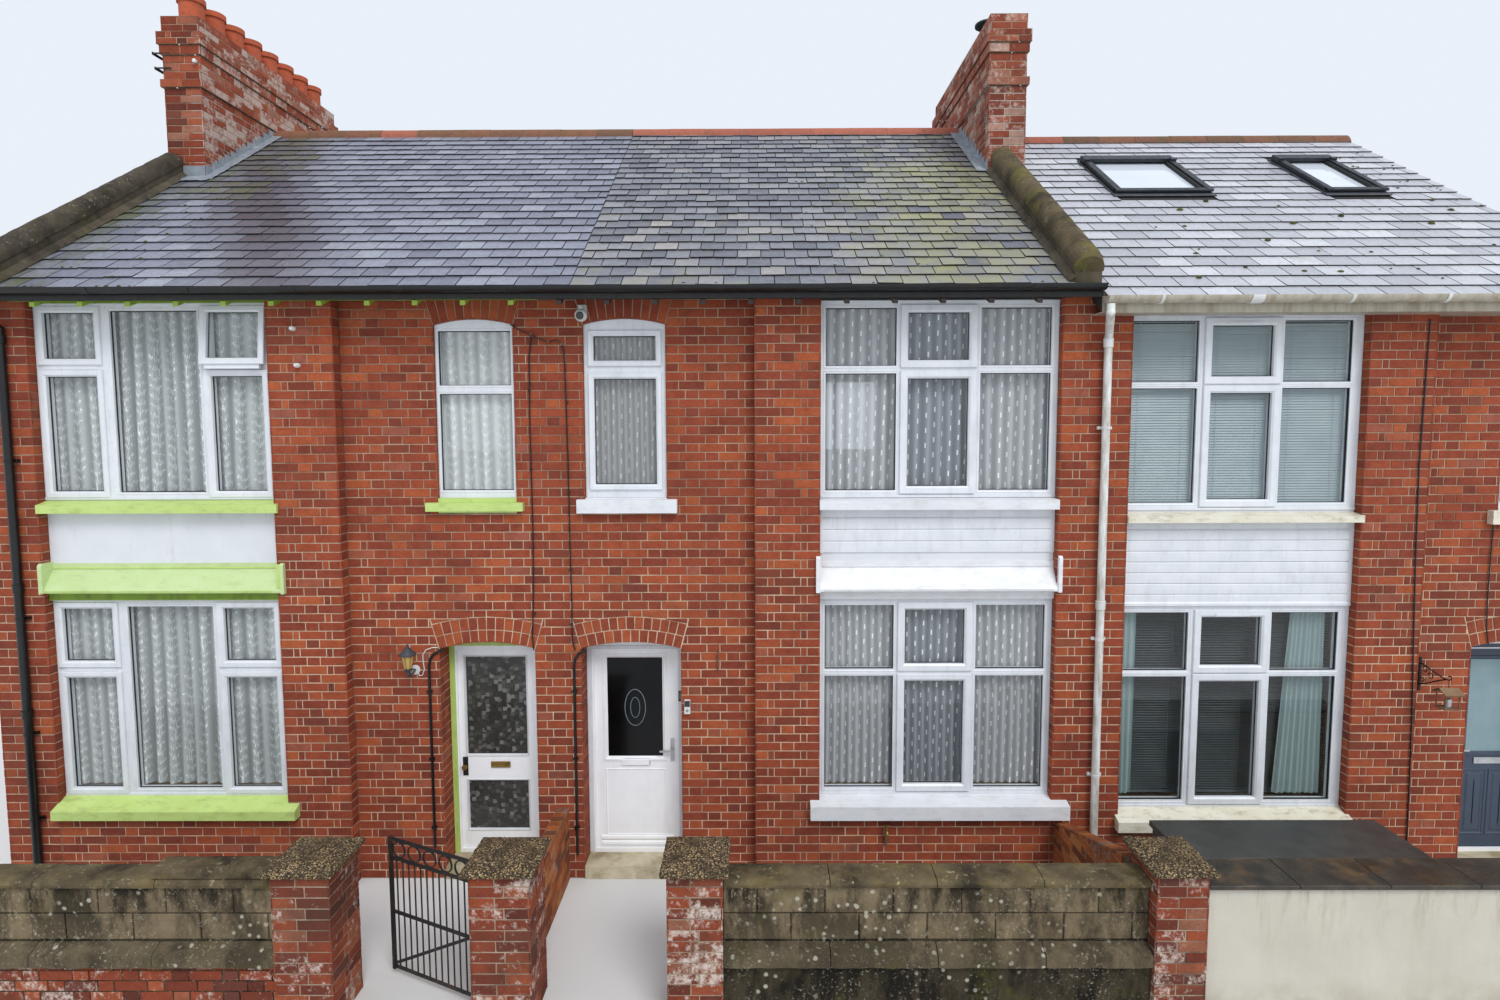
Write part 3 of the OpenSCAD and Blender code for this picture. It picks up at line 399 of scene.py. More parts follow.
def slate_mat(name, stops, moss, moss_amt, rough=0.32, dark=c(70, 68, 74), spec=0.6):
    m = Mat(name, rough=rough, spec=spec)
    t = m.tone()
    col = m.ramp(t[0], stops)
    col = m.mix(m.mr(m.noise(20, 5, 0.65), 0.4, 0.7, 0, 0.35), col, dark)
    # run-off stains and moss, as painted by the slate's own place on the roof
    col = m.mix(m.math("MULTIPLY", t[2], 0.9), col, c(62, 48, 50))
    g = m.math("ADD", t[1], m.mr(m.noise(5, 5, 0.7), 0.3, 0.7, -0.35, 0.35))
    col = m.mix(m.math("MULTIPLY", m.mr(g, 0.25, 0.9), moss_amt), col, moss)
    m.color(col)
    m.roughness(m.mr(m.noise(14, 4), 0.3, 0.7, rough - 0.08, rough + 0.22))
    m.bump(m.noise(40, 5, 0.6, vec=m.co((1, 0.35, 0.35))), 0.3, 0.003)
    return m.m


# near-black slate tails: painted shade under each slate's lower edge
SLATE_TAIL_SHADE = Mat("slate_tails_painted_shade", rough=0.8, spec=0.2)
SLATE_TAIL_SHADE.color(SLATE_TAIL_SHADE.mix(SLATE_TAIL_SHADE.noise(30, 3), c(34, 34, 38), c(62, 60, 60)))
SLATE_TAIL_SHADE = SLATE_TAIL_SHADE.m
# the front slopes' pale lilac and silver-grey tones are partly the slates' own grey, partly painted sky reflection
SLATE_A = slate_mat("slate_blue", [(0.0, c(104, 106, 122)), (0.3, c(122, 125, 142)), (0.7, c(134, 137, 153)), (0.93, c(146, 149, 163)), (1.0, c(168, 174, 182))], c(98, 100, 62), 0.8)
SLATE_B = slate_mat("slate_old", [(0.0, c(100, 102, 112)), (0.35, c(122, 124, 134)), (0.7, c(140, 140, 145)), (0.92, c(151, 148, 149)), (1.0, c(166, 160, 156))], c(150, 148, 104), 0.85, rough=0.42)
SLATE_C = slate_mat("slate_silver", [(0.0, c(172, 173, 180)), (0.4, c(184, 185, 192)), (0.8, c(194, 195, 201)), (1.0, c(210, 211, 216))], c(120, 122, 78), 0.6, rough=0.3, dark=c(140, 142, 152))
SLATE_D = slate_mat("slate_sooty", [(0.0, c(70, 72, 84)), (0.5, c(88, 90, 102)), (1.0, c(108, 110, 120))], c(96, 96, 56), 0.75, rough=0.5)
UNDER = Mat("roof_under", c(40, 38, 36), 0.9)
UNDER.color(UNDER.mix(UNDER.noise(8), c(34, 32, 30), c(52, 48, 44)))
UNDER = UNDER.m


def terracotta(name, a, b, dark, moss_amt=0.3):
    m = Mat(name, rough=0.8, spec=0.25)
    t = m.tone()
    col = m.mix(t[0], a, b)
    col = m.mix(m.mr(m.noise(18, 5, 0.7), 0.45, 0.75, 0, 0.5), col, dark)
    col = m.mix(m.math("MULTIPLY", m.mr(m.noise(4, 5), 0.5, 0.7), moss_amt), col, c(92, 84, 50))
    m.color(col)
    m.bump(m.noise(60, 5), 0.3, 0.004)
    return m.m


TERRA = terracotta("terracotta_pots", c(186, 92, 62), c(168, 78, 52), c(110, 60, 44), 0.2)
TERRA_NEW = terracotta("ridge_new", c(176, 104, 84), c(158, 92, 74), c(112, 72, 60), 0.2)
TERRA_OLD = terracotta("ridge_old", c(136, 92, 70), c(112, 82, 66), c(70, 58, 46), 0.6)


def glass_mat(name, tint, ior=1.5, rough=0.02, gain=1.0):
    """Clear window glass: see-through, with the mirror share of real glass."""
    m = bpy.data.materials.new(name)
    m.use_nodes = True
    t = m.node_tree
    t.nodes.clear()
    out = t.nodes.new("ShaderNodeOutputMaterial")
    mix = t.nodes.new("ShaderNodeMixShader")
    tr = t.nodes.new("ShaderNodeBsdfTransparent")
    gl = t.nodes.new("ShaderNodeBsdfGlossy")
    fr = t.nodes.new("ShaderNodeFresnel")
    fr.inputs["IOR"].default_value = ior
    tr.inputs["Color"].default_value = tint
    gl.inputs["Roughness"].default_value = rough
    gl.inputs["Color"].default_value = (0.95, 0.98, 1.0, 1)
    mul = t.nodes.new("ShaderNodeMath")
    mul.operation = "MULTIPLY"
    mul.inputs[1].default_value = gain
    t.links.new(fr.outputs[0], mul.inputs[0])
    # the mirror share belongs to the outer face only
    geo = t.nodes.new("ShaderNodeNewGeometry")
    inv = t.nodes.new("ShaderNodeMath")
    inv.operation = "SUBTRACT"
    inv.inputs[0].default_value = 1.0
    t.links.new(geo.outputs["Backfacing"], inv.inputs[1])
    fro = t.nodes.new("ShaderNodeMath")
    fro.operation = "MULTIPLY"
    t.links.new(mul.outputs[0], fro.inputs[0])
    t.links.new(inv.outputs[0], fro.inputs[1])
    t.links.new(fro.outputs[0], mix.inputs[0])
    t.links.new(tr.outputs[0], mix.inputs[1])
    t.links.new(gl.outputs[0], mix.inputs[2])
    t.links.new(mix.outputs[0], out.inputs[0])
    return m


GLASS = glass_mat("window_glass", (0.985, 0.995, 0.995, 1), 1.5, 0.01, 1.25)


def obscure_mat():
    """Patterned grey door glass: small random squares."""
    m = Mat("obscured_glass", rough=0.25, spec=0.6)
    v = m.co((1, 1, 1))
    k = m.n("ShaderNodeTexVoronoi", distance="CHEBYCHEV")
    m.put(k.inputs["Vector"], v)
    k.inputs["Scale"].default_value = 25
    k.inputs["Randomness"].default_value = 0.9
    r = m.xyz(k.outputs["Color"])[0]
    col = m.ramp(r, [(0.0, c(30, 30, 28)), (0.4, c(44, 43, 40)), (0.62, c(62, 61, 58)), (0.8, c(92, 91, 87)), (1.0, c(128, 127, 122))])
    col = m.mix(m.mr(k.outputs["Distance"], 0.40, 0.58), col, c(34, 33, 31))
    col = m.mix(m.math("MULTIPLY", m.mr(m.noise(2.4, 3), 0.35, 0.65), 0.45), col, c(78, 77, 72))
    m.color(col)
    m.bump(k.outputs["Distance"], 0.35, 0.003)
    return m.m


OBSCURE = obscure_mat()
# near-black pane: painted shade of the unlit hall behind the door glass
DARK_GLASS = Mat("dark_glass", c(10, 11, 12), 0.10, spec=0.22)
DARK_GLASS.color(DARK_GLASS.mix(DARK_GLASS.mr(DARK_GLASS.noise(2.2, 2), 0.3, 0.7), c(7, 8, 9), c(18, 19, 20)))
DARK_GLASS = DARK_GLASS.m
ETCH = paint("etched_line", c(126, 142, 152), c(104, 120, 130), 0.4)
FROST = Mat("frosted_glass", c(120, 150, 156), 0.3, spec=0.5)
FROST.color(FROST.mix(FROST.noise(5, 3), c(112, 142, 150), c(146, 168, 172)))
FROST.bump(FROST.vor(120), 0.3, 0.002)
FROST = FROST.m
# pale rooflight pane: painted sky reflection
SKYGLASS = Mat("rooflight_pane", c(206, 212, 222), 0.06, spec=0.8)
SKYGLASS.color(SKYGLASS.mix(SKYGLASS.noise(1.2, 2), c(200, 208, 220), c(226, 230, 236)))
SKYGLASS = SKYGLASS.m


def panel_mat():
    m = Mat("panel_render", rough=0.7, spec=0.3)
    v = m.co((6, 6, 1.5))
    col = m.mix(m.mr(m.noise(3), 0.3, 0.7), c(222, 224, 228), c(214, 216, 221))
    col = m.mix(m.math("MULTIPLY", m.mr(m.noise(1.8, 6, 0.7, vec=v), 0.56, 0.78), 0.35), col, c(160, 156, 148))
    m.color(col)
    m.bump(m.noise(120, 5), 0.25, 0.002)
    return m.m


PANEL = panel_mat()


def plaster_mat(name, a, b, rough=0.85):
    m = Mat(name, rough=rough, spec=0.2)
    m.color(m.mix(m.mr(m.noise(2.5, 4), 0.3, 0.7), a, b))
    m.bump(m.noise(80, 4), 0.15, 0.002)
    return m.m


PLASTER = plaster_mat("plaster_wall", c(176, 168, 156), c(160, 152, 142))


def boards_mat():
    m = Mat("floor_boards", rough=0.6)
    x = m.xyz()[0]
    f = m.math("FRACT", m.math("MULTIPLY", x, 1 / 0.14))
    idx = m.math("FLOOR", m.math("MULTIPLY", x, 1 / 0.14))
    w = m.n("ShaderNodeTexWhiteNoise", noise_dimensions="1D")
    m.put(w.inputs["W"], idx)
    col = m.ramp(w.outputs["Value"], [(0, c(112, 84, 58)), (1, c(150, 116, 80))])
    col = m.mix(m.mr(m.noise(4, 6, vec=m.co((18, 1, 1))), 0.35, 0.65, 0, 0.5), col, c(92, 66, 44))
    col = m.mix(m.math("LESS_THAN", f, 0.03), col, c(36, 28, 22))
    m.color(col)
    return m.m


FLOORWOOD = boards_mat()


def render_mat():
    """Cream wall render with blisters and rain streaks."""
    m = Mat("cream_render", rough=0.8, spec=0.25)
    z = m.xyz()[2]
    col = m.mix(m.mr(m.noise(2.2, 4), 0.3, 0.7), c(200, 194, 181), c(190, 184, 170))
    st = m.noise(2.2, 6, 0.7, vec=m.co((5, 5, 0.9)))
    top = m.mr(z, 0.55, 1.0, 0.15, 1.0)
    col = m.mix(m.math("MULTIPLY", m.math("MULTIPLY", m.mr(st, 0.50, 0.72), top), 0.65), col, c(150, 138, 108))
    col = m.mix(m.math("MULTIPLY", m.mr(z, 0.35, 0.0, 0.0, 0.6), m.mr(m.noise(5, 5), 0.4, 0.6)), col, c(140, 130, 104))
    m.color(col)
    m.bump(m.noise(9, 4, 0.5), 0.45, 0.012)
    m.bump(m.noise(60, 4), 0.25, 0.003)
    return m.m


CREAM = render_mat()


def slab_mat():
    m = Mat("slab_wet", rough=0.38, spec=0.5)
    col = m.mix(m.mr(m.noise(6, 5, 0.65), 0.35, 0.65), c(44, 40, 34), c(66, 58, 46))
    col = m.mix(m.math("MULTIPLY", m.mr(m.noise(3, 5, 0.7), 0.52, 0.68), 0.6), col, c(112, 84, 46))
    m.color(col)
    m.roughness(m.mr(m.noise(5, 4), 0.35, 0.65, 0.25, 0.7))
    m.bump(m.noise(45, 5, 0.7), 0.5, 0.005)
    return m.m


SLAB = slab_mat()
LID = Mat("lid_felt", rough=0.4)
LID.color(LID.mix(LID.mr(LID.noise(5, 5, 0.65), 0.35, 0.65), c(52, 53, 52), c(70, 70, 66)))
LID.bump(LID.noise(50, 5), 0.4, 0.004)
LID = LID.m


def by_house(name, mats):
    """One painted material whose colour changes at the party lines: [(upper x limit, colour, second, dirt, amount)]."""
    m = Mat(name, rough=0.5)
    x, y, z = m.xyz()[:3]
    col = None
    for lim, a, b, dirt, amt in reversed(mats):
        k = m.mix(m.mr(m.noise(4.5, 4), 0.3, 0.7), a, b)
        k = m.mix(m.math("MULTIPLY", m.mr(m.noise(2.2, 6, 0.72, vec=m.co((2.5, 6, 6))), 0.50, 0.72), amt), k, dirt)
        col = k if col is None else m.mix(m.math("LESS_THAN", x, lim + OX), col, k)
    rear = m.math("GREATER_THAN", y, 6.9 + OY)
    col = m.mix(rear, col, c(186, 180, 168))
    m.color(col)
    m.roughness(m.mr(m.noise(20, 4), 0.3, 0.7, 0.38, 0.65))
    m.bump(m.noise(90, 4), 0.2, 0.002)
    return m.m


SILLS = by_house("sill_paints", [(X_AB, c(194, 216, 130), c(184, 206, 116), c(128, 136, 76), 0.5),
                                 (2.9, c(228, 229, 232), c(216, 218, 222), c(170, 160, 140), 0.4),
                                 (99, c(230, 226, 210), c(216, 208, 184), c(140, 122, 78), 0.7)])
CANOPY = by_house("canopy_paints", [(X_AB, c(196, 214, 158), c(188, 208, 144), c(150, 164, 96), 0.35),
                                    (99, c(232, 232, 234), c(222, 222, 224), c(170, 162, 146), 0.35)])
FEET = by_house("rafter_paints", [(X_AB, c(160, 190, 70), c(140, 170, 60), c(70, 76, 34), 0.7),
                                  (99, c(70, 52, 44), c(54, 44, 38), c(32, 28, 26), 0.7)])


def net_mat(name, base, pattern, thin=0.55, dots=False, shade=0.66):
    """Net curtain: a see-through weave with a denser woven pattern."""
    m = bpy.data.materials.new(name)
    m.use_nodes = True
    w = Mat.__new__(Mat)
    w.m, w.t = m, m.node_tree
    w.t.nodes.clear()
    w.tc = w.hn = None
    out = w.n("ShaderNodeOutputMaterial")
    uv = w.n("ShaderNodeAttribute", attribute_name="cloth").outputs["Vector"]
    sx, sz, _ = w.xyz(uv)[:3]
    if dots:
        # short stitched dashes in staggered columns
        u = w.math("MULTIPLY", sx, 1 / 0.085)
        col_i = w.math("FLOOR", u)
        stag = w.math("MULTIPLY", w.math("FRACT", w.math("MULTIPLY", col_i, 0.618)), 1.0)
        fu = w.math("ABSOLUTE", w.math("SUBTRACT", w.math("FRACT", u), 0.5))
        fv = w.math("ABSOLUTE", w.math("SUBTRACT", w.math("FRACT", w.math("ADD", w.math("MULTIPLY", sz, 1 / 0.135), stag)), 0.5))
        pat = w.math("MULTIPLY", w.math("LESS_THAN", fu, 0.075), w.math("LESS_THAN", fv, 0.17))
    else:
        # paired slanting leaves up a wavy stem
        sway = w.math("MULTIPLY", w.math("SUBTRACT", w.noise(4.2, 2, vec=uv), 0.5), 0.9)
        u = w.math("ADD", w.math("MULTIPLY", sx, 1 / 0.165), sway)
        fu = w.math("SUBTRACT", w.math("FRACT", u), 0.5)
        col_i = w.math("FLOOR", u)
        v = w.math("ADD", w.math("MULTIPLY", sz, 1 / 0.085), w.math("MULTIPLY", col_i, 0.37))
        v = w.math("ADD", v, w.math("MULTIPLY", w.noise(17, 2, vec=uv), 1.1))
        v = w.math("SUBTRACT", v, w.math("MULTIPLY", w.math("ABSOLUTE", fu), 2.0))
        fv = w.math("ABSOLUTE", w.math("SUBTRACT", w.math("FRACT", v), 0.5))
        leaf = w.math("MULTIPLY", w.math("LESS_THAN", fv, 0.115), w.math("LESS_THAN", w.math("ABSOLUTE", fu), 0.30))
        skip = w.math("GREATER_THAN", w.noise(13, 2, vec=uv), 0.47)
        stem = w.math("MULTIPLY", w.math("LESS_THAN", w.math("ABSOLUTE", fu), 0.022), w.math("GREATER_THAN", w.noise(5, 1, vec=uv), 0.46))
        pat = w.math("MAXIMUM", w.math("MULTIPLY", leaf, skip), stem)
    # soft shade between the folds
    ao = w.mr(w.xyz(uv)[2], -1.0, 1.0, shade, 1.0)
    mixc = w.mix(pat, base, pattern)
    mixc = w.mix(1.0, mixc, w.ramp(ao, [(0.0, (0, 0, 0, 1)), (1.0, (1, 1, 1, 1))]), "MULTIPLY")
    dif = w.n("ShaderNodeBsdfPrincipled")
    dif.inputs["Roughness"].default_value = 0.9
    dif.inputs["Specular IOR Level"].default_value = 0.1
    w.put(dif.inputs["Base Color"], mixc)
    tr = w.n("ShaderNodeBsdfTransparent")
    ms = w.n("ShaderNodeMixShader")
    w.put(ms.inputs[0], w.mr(pat, 0.0, 1.0, thin, 0.97))
    w.t.links.new(tr.outputs[0], ms.inputs[1])
    w.t.links.new(dif.outputs[0], ms.inputs[2])
    w.t.links.new(ms.outputs[0], out.inputs[0])
    return m


NET_A = net_mat("net_leaves", c(204, 207, 206), c(246, 248, 248), 0.74, shade=0.55)
NET_B = net_mat("net_dashes", c(202, 202, 204), c(250, 250, 250), 0.80, dots=True, shade=0.6)
# darker copy of the dashed net for the middle lights: painted shade
NET_B_SHADE = net_mat("net_dashes_shade", c(172, 176, 182), c(250, 250, 250), 0.74, dots=True, shade=0.6)
NET_AS = net_mat("net_leaves_small", c(208, 209, 207), c(244, 244, 244), 0.92)
NET_BS = net_mat("net_dashes_small", c(166, 164, 163), c(206, 206, 206), 0.92, dots=True)


def cloth_mat(name, a, b):
    m = Mat(name, rough=0.9, spec=0.15, sheen=0.3)
    uv = m.n("ShaderNodeAttribute", attribute_name="cloth").outputs["Vector"]
    col = m.mix(m.mr(m.noise(220, 2, vec=uv), 0.3, 0.7), a, b)
    m.color(col)
    m.bump(m.noise(500, 2, vec=uv), 0.2, 0.001)
    return m.m


CURTAIN_C = cloth_mat("curtain_pale_green", c(150, 168, 166), c(128, 146, 146))
CURTAIN_A = cloth_mat("curtain_cream", c(206, 198, 184), c(190, 182, 168))
BLIND = paint("blind_slats", c(162, 174, 175), c(148, 162, 165), 0.4)
# darker copy of the slats for the lower blinds: painted shade
BLIND_SHADE = paint("blind_slats_shade", c(104, 112, 112), c(88, 96, 98), 0.4)
AMBER = Mat("lantern_amber", c(206, 170, 96), 0.3)
AMBER.color(AMBER.mix(AMBER.noise(9, 3), c(214, 178, 104), c(180, 142, 76)))
AMBER = AMBER.m


# ---------------------------------------------------------------- geometry store
class Geo:
    def __init__(s):
        s.v, s.f, s.m, s.a = [], [], [], []

    def add(s, vs, fs, m=0, a=(0.5, 0.0, 0.0)):
        n = len(s.v)
        s.v.extend(vs)
        for q in fs:
            s.f.append(tuple(i + n for i in q))
            s.m.append(m)
            s.a.append(a)

    def box(s, x0, x1, y0, y1, z0, z1, m=0, a=(0.5, 0.0, 0.0)):
        s.add([(x0, y0, z0), (x1, y0, z0), (x1, y1, z0), (x0, y1, z0), (x0, y0, z1), (x1, y0, z1), (x1, y1, z1), (x0, y1, z1)],
              [(0, 3, 2, 1), (4, 5, 6, 7), (0, 1, 5, 4), (1, 2, 6, 5), (2, 3, 7, 6), (3, 0, 4, 7)], m, a)

    def prism(s, x0, x1, pts, m=0, a=(0.5, 0.0, 0.0)):
        """Outline pts in (y, z), run along X."""
        n = len(pts)
        ar = sum(pts[i][0] * pts[(i + 1) % n][1] - pts[(i + 1) % n][0] * pts[i][1] for i in range(n))
        if ar < 0:
            pts = pts[::-1]
        vs = [(x0, y, z) for y, z in pts] + [(x1, y, z) for y, z in pts]
        fs = [tuple(range(n))[::-1], tuple(range(n, 2 * n))]
        fs += [(i, (i + 1) % n, n + (i + 1) % n, n + i) for i in range(n)]
        s.add(vs, fs, m, a)

    def ring(s, x0, x1, z0, z1, prof, m=0, a=(0.5, 0.0, 0.0), flip=False):
        """Mitred rectangular frame round an opening: prof is [(outward offset, y)]."""
        vs = []
        for d, y in prof:
            vs += [(x0 - d, y, z0 - d), (x1 + d, y, z0 - d), (x1 + d, y, z1 + d), (x0 - d, y, z1 + d)]
        fs = []
        for k in range(len(prof) - 1):
            for i in range(4):
                j = (i + 1) % 4
                q = (4 * k + i, 4 * k + j, 4 * k + 4 + j, 4 * k + 4 + i)
                fs.append(q[::-1] if flip else q)
        s.add(vs, fs, m, a)

    def tube(s, pts, r, n=8, m=0, a=(0.5, 0.0, 0.0), caps=True):
        pts = [Vector(p) for p in pts]
        rs = r if hasattr(r, "__len__") else [r] * len(pts)
        t0 = (pts[1] - pts[0]).normalized()
        up = Vector((0, 0, 1)) if abs(t0.z) < 0.9 else Vector((0, 1, 0))
        u = t0.cross(up).normalized()
        vs = []
        for i, p in enumerate(pts):
            if i == 0:
                t = t0
            elif i == len(pts) - 1:
                t = (pts[i] - pts[i - 1]).normalized()
            else:
                t = ((pts[i] - pts[i - 1]).normalized() + (pts[i + 1] - pts[i]).normalized()).normalized()
            u = (u - t * u.dot(t)).normalized()
            w = t.cross(u)
            for k in range(n):
                ang = 2 * math.pi * k / n
                q = p + (u * math.cos(ang) + w * math.sin(ang)) * rs[i]
                vs.append(tuple(q))
        fs = []
        for i in range(len(pts) - 1):
            for k in range(n):
                j = (k + 1) % n
                fs.append((i * n + k, i * n + j, (i + 1) * n + j, (i + 1) * n + k))
        if caps:
            fs.append(tuple(range(n))[::-1])
            fs.append(tuple(range((len(pts) - 1) * n, len(pts) * n)))
        s.add(vs, fs, m, a)

    def lathe(s, prof, cx, cy, n=20, m=0, a=(0.5, 0.0, 0.0), axis="z"):
        """prof is [(radius, height)] from the bottom up round an upright line, or along -Y for axis y."""
        vs = []
        for r, h in prof:
            for k in range(n):
                ang = 2 * math.pi * k / n
                if axis == "z":
                    vs.append((cx + r * math.cos(ang), cy + r * math.sin(ang), h))
                else:
                    vs.append((cx + r * math.cos(ang), -h, cy + r * math.sin(ang)))
        fs = []
        for i in range(len(prof) - 1):
            for k in range(n):
                j = (k + 1) % n
                fs.append((i * n + k, i * n + j, (i + 1) * n + j, (i + 1) * n + k))
        fs.append(tuple(range(n))[::-1])
        fs.append(tuple(range((len(prof) - 1) * n, len(prof) * n)))
        s.add(vs, fs, m, a)

    def make(s, name, mats, body="house", slot=None, rep=(), bevel=0.0, smooth=False, seg=1):
        me = bpy.data.meshes.new(name)
        vs = np.array(s.v, np.float64) + np.array((OX, OY, 0.0))
        me.from_pydata([tuple(v) for v in vs], [], s.f)
        mats = mats if isinstance(mats, (list, tuple)) else [mats]
        for q in mats:
            me.materials.append(q)
        me.polygons.foreach_set("material_index", np.array(s.m, np.int32))
        if smooth:
            me.polygons.foreach_set("use_smooth", np.ones(len(s.f), bool))
        at = me.attributes.new("tone", "FLOAT_VECTOR", "FACE")
        at.data.foreach_set("vector", np.array(s.a, np.float32).ravel())
        me.update()
        o = bpy.data.objects.new(name, me)
        SCN.collection.objects.link(o)
        if smooth and smooth is not True:
            me.set_sharp_from_angle(angle=math.radians(smooth))
        if bevel:
            b = o.modifiers.new("edge", "BEVEL")
            b.width = bevel
            b.segments = seg
            b.limit_method = "ANGLE"
            b.angle_limit = math.radians(40)
        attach(o, body)
        if rep:
            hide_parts(*rep)
        return o


def dress(name, mats, bevel=0.0, inset=0.0, weld=True):
    """Gives a CAD node its finish, and with inset draws its faces in so that bricks set on its planes stand proud."""
    o = NODE[name]
    o.data.materials.clear()
    for q in (mats if isinstance(mats, (list, tuple)) else [mats]):
        o.data.materials.append(q)
    if inset:
        d = o.modifiers.new("joint", "DISPLACE")
        d.mid_level = 0.0
        d.strength = -inset
        d.direction = "NORMAL"
    elif bevel:
        w = o.modifiers.new("weld", "WELD")
        w.merge_threshold = 0.0002
        b = o.modifiers.new("edge", "BEVEL")
        b.width = bevel
        b.segments = 2
        b.limit_method = "ANGLE"
        b.angle_limit = math.radians(40)
    return o


# ---------------------------------------------------------------- brickwork
CH, JT = 0.079, 0.0095


def clip(poly, nu, nv, k):
    out = []
    for i in range(len(poly)):
        p, q = poly[i], poly[(i + 1) % len(poly)]
        dp, dq = nu * p[0] + nv * p[1] - k, nu * q[0] + nv * q[1] - k
        if dp <= 0:
            out.append(p)
        if dp * dq < 0:
            t = dp / (dp - dq)
            out.append((p[0] + t * (q[0] - p[0]), p[1] + t * (q[1] - p[1])))
    return out


def area(poly):
    return sum(poly[i][0] * poly[(i + 1) % len(poly)][1] - poly[(i + 1) % len(poly)][0] * poly[i][1] for i in range(len(poly))) / 2


def put_brick(G, P, U, N, poly, tone, bev=0.003, w=None, deep=0.013, jit=0.0012, m=0):
    """One brick face with its arrises: poly is its outline on the wall plane, anticlockwise."""
    if len(poly) < 3 or area(poly) < 0.0004:
        return
    w = -RND.uniform(0.0, 0.0025) if w is None else w
    n = len(poly)
    cu, cv = sum(p[0] for p in poly) / n, sum(p[1] for p in poly) / n
    poly = [(p[0] + RND.uniform(-jit, jit), p[1] + RND.uniform(-jit, jit)) for p in poly]

    def at(u, v, h):
        return (P[0] + U[0] * u + N[0] * h, P[1] + U[1] * u + N[1] * h, P[2] + v)
    vs, fs = [], []
    if bev:
        for p in poly:
            du, dv = cu - p[0], cv - p[1]
            vs.append(at(p[0] + math.copysign(min(bev, abs(du) / 2), du), p[1] + math.copysign(min(bev, abs(dv) / 2), dv), w))
        base = w - bev * 0.8
    else:
        base = w
    vs += [at(p[0], p[1], base) for p in poly]
    vs += [at(p[0], p[1], -deep) for p in poly]
    fs.append(tuple(range(n)))
    k0 = 0
    layers = 2 if bev else 1
    for q in range(layers):
        for i in range(n):
            j = (i + 1) % n
            fs.append((k0 + i, k0 + n + i, k0 + n + j, k0 + j))
        k0 += n
    G.add(vs, fs, m, tone)


S_, H_, Q_ = 0.2255, 0.108, 0.0475


def bond(a, b, k):
    """Flemish bond: stretcher and header by turns, with a closer beside the corner header of every other course."""
    w = b - a
    seq = None
    if 0.55 < w < 0.64:
        seq = [S_, H_, S_] if k % 2 == 0 else [H_, Q_, S_, Q_, H_]
    elif 0.43 < w < 0.49:
        seq = [S_, S_] if k % 2 == 0 else [H_, S_, H_]
    elif 0.34 < w < 0.43:
        seq = [S_, 0.165] if k % 2 == 0 else [0.165, S_]
    elif w < 0.2:
        seq = [1.0]
    if seq:
        f = (w - JT * (len(seq) - 1)) / sum(seq)
        x = a
        for q in seq:
            yield x, x + q * f
            x += q * f + JT
        return
    x = a
    seq = [] if k % 2 == 0 else [H_, Q_]
    i = 0
    while x < b - 0.02:
        q = seq[i] if i < len(seq) else (S_ if (i - len(seq)) % 2 == 0 else H_)
        if b - (x + q + JT) < 0.035:
            q = b - x
        yield x, min(x + q, b)
        x += q + JT
        i += 1


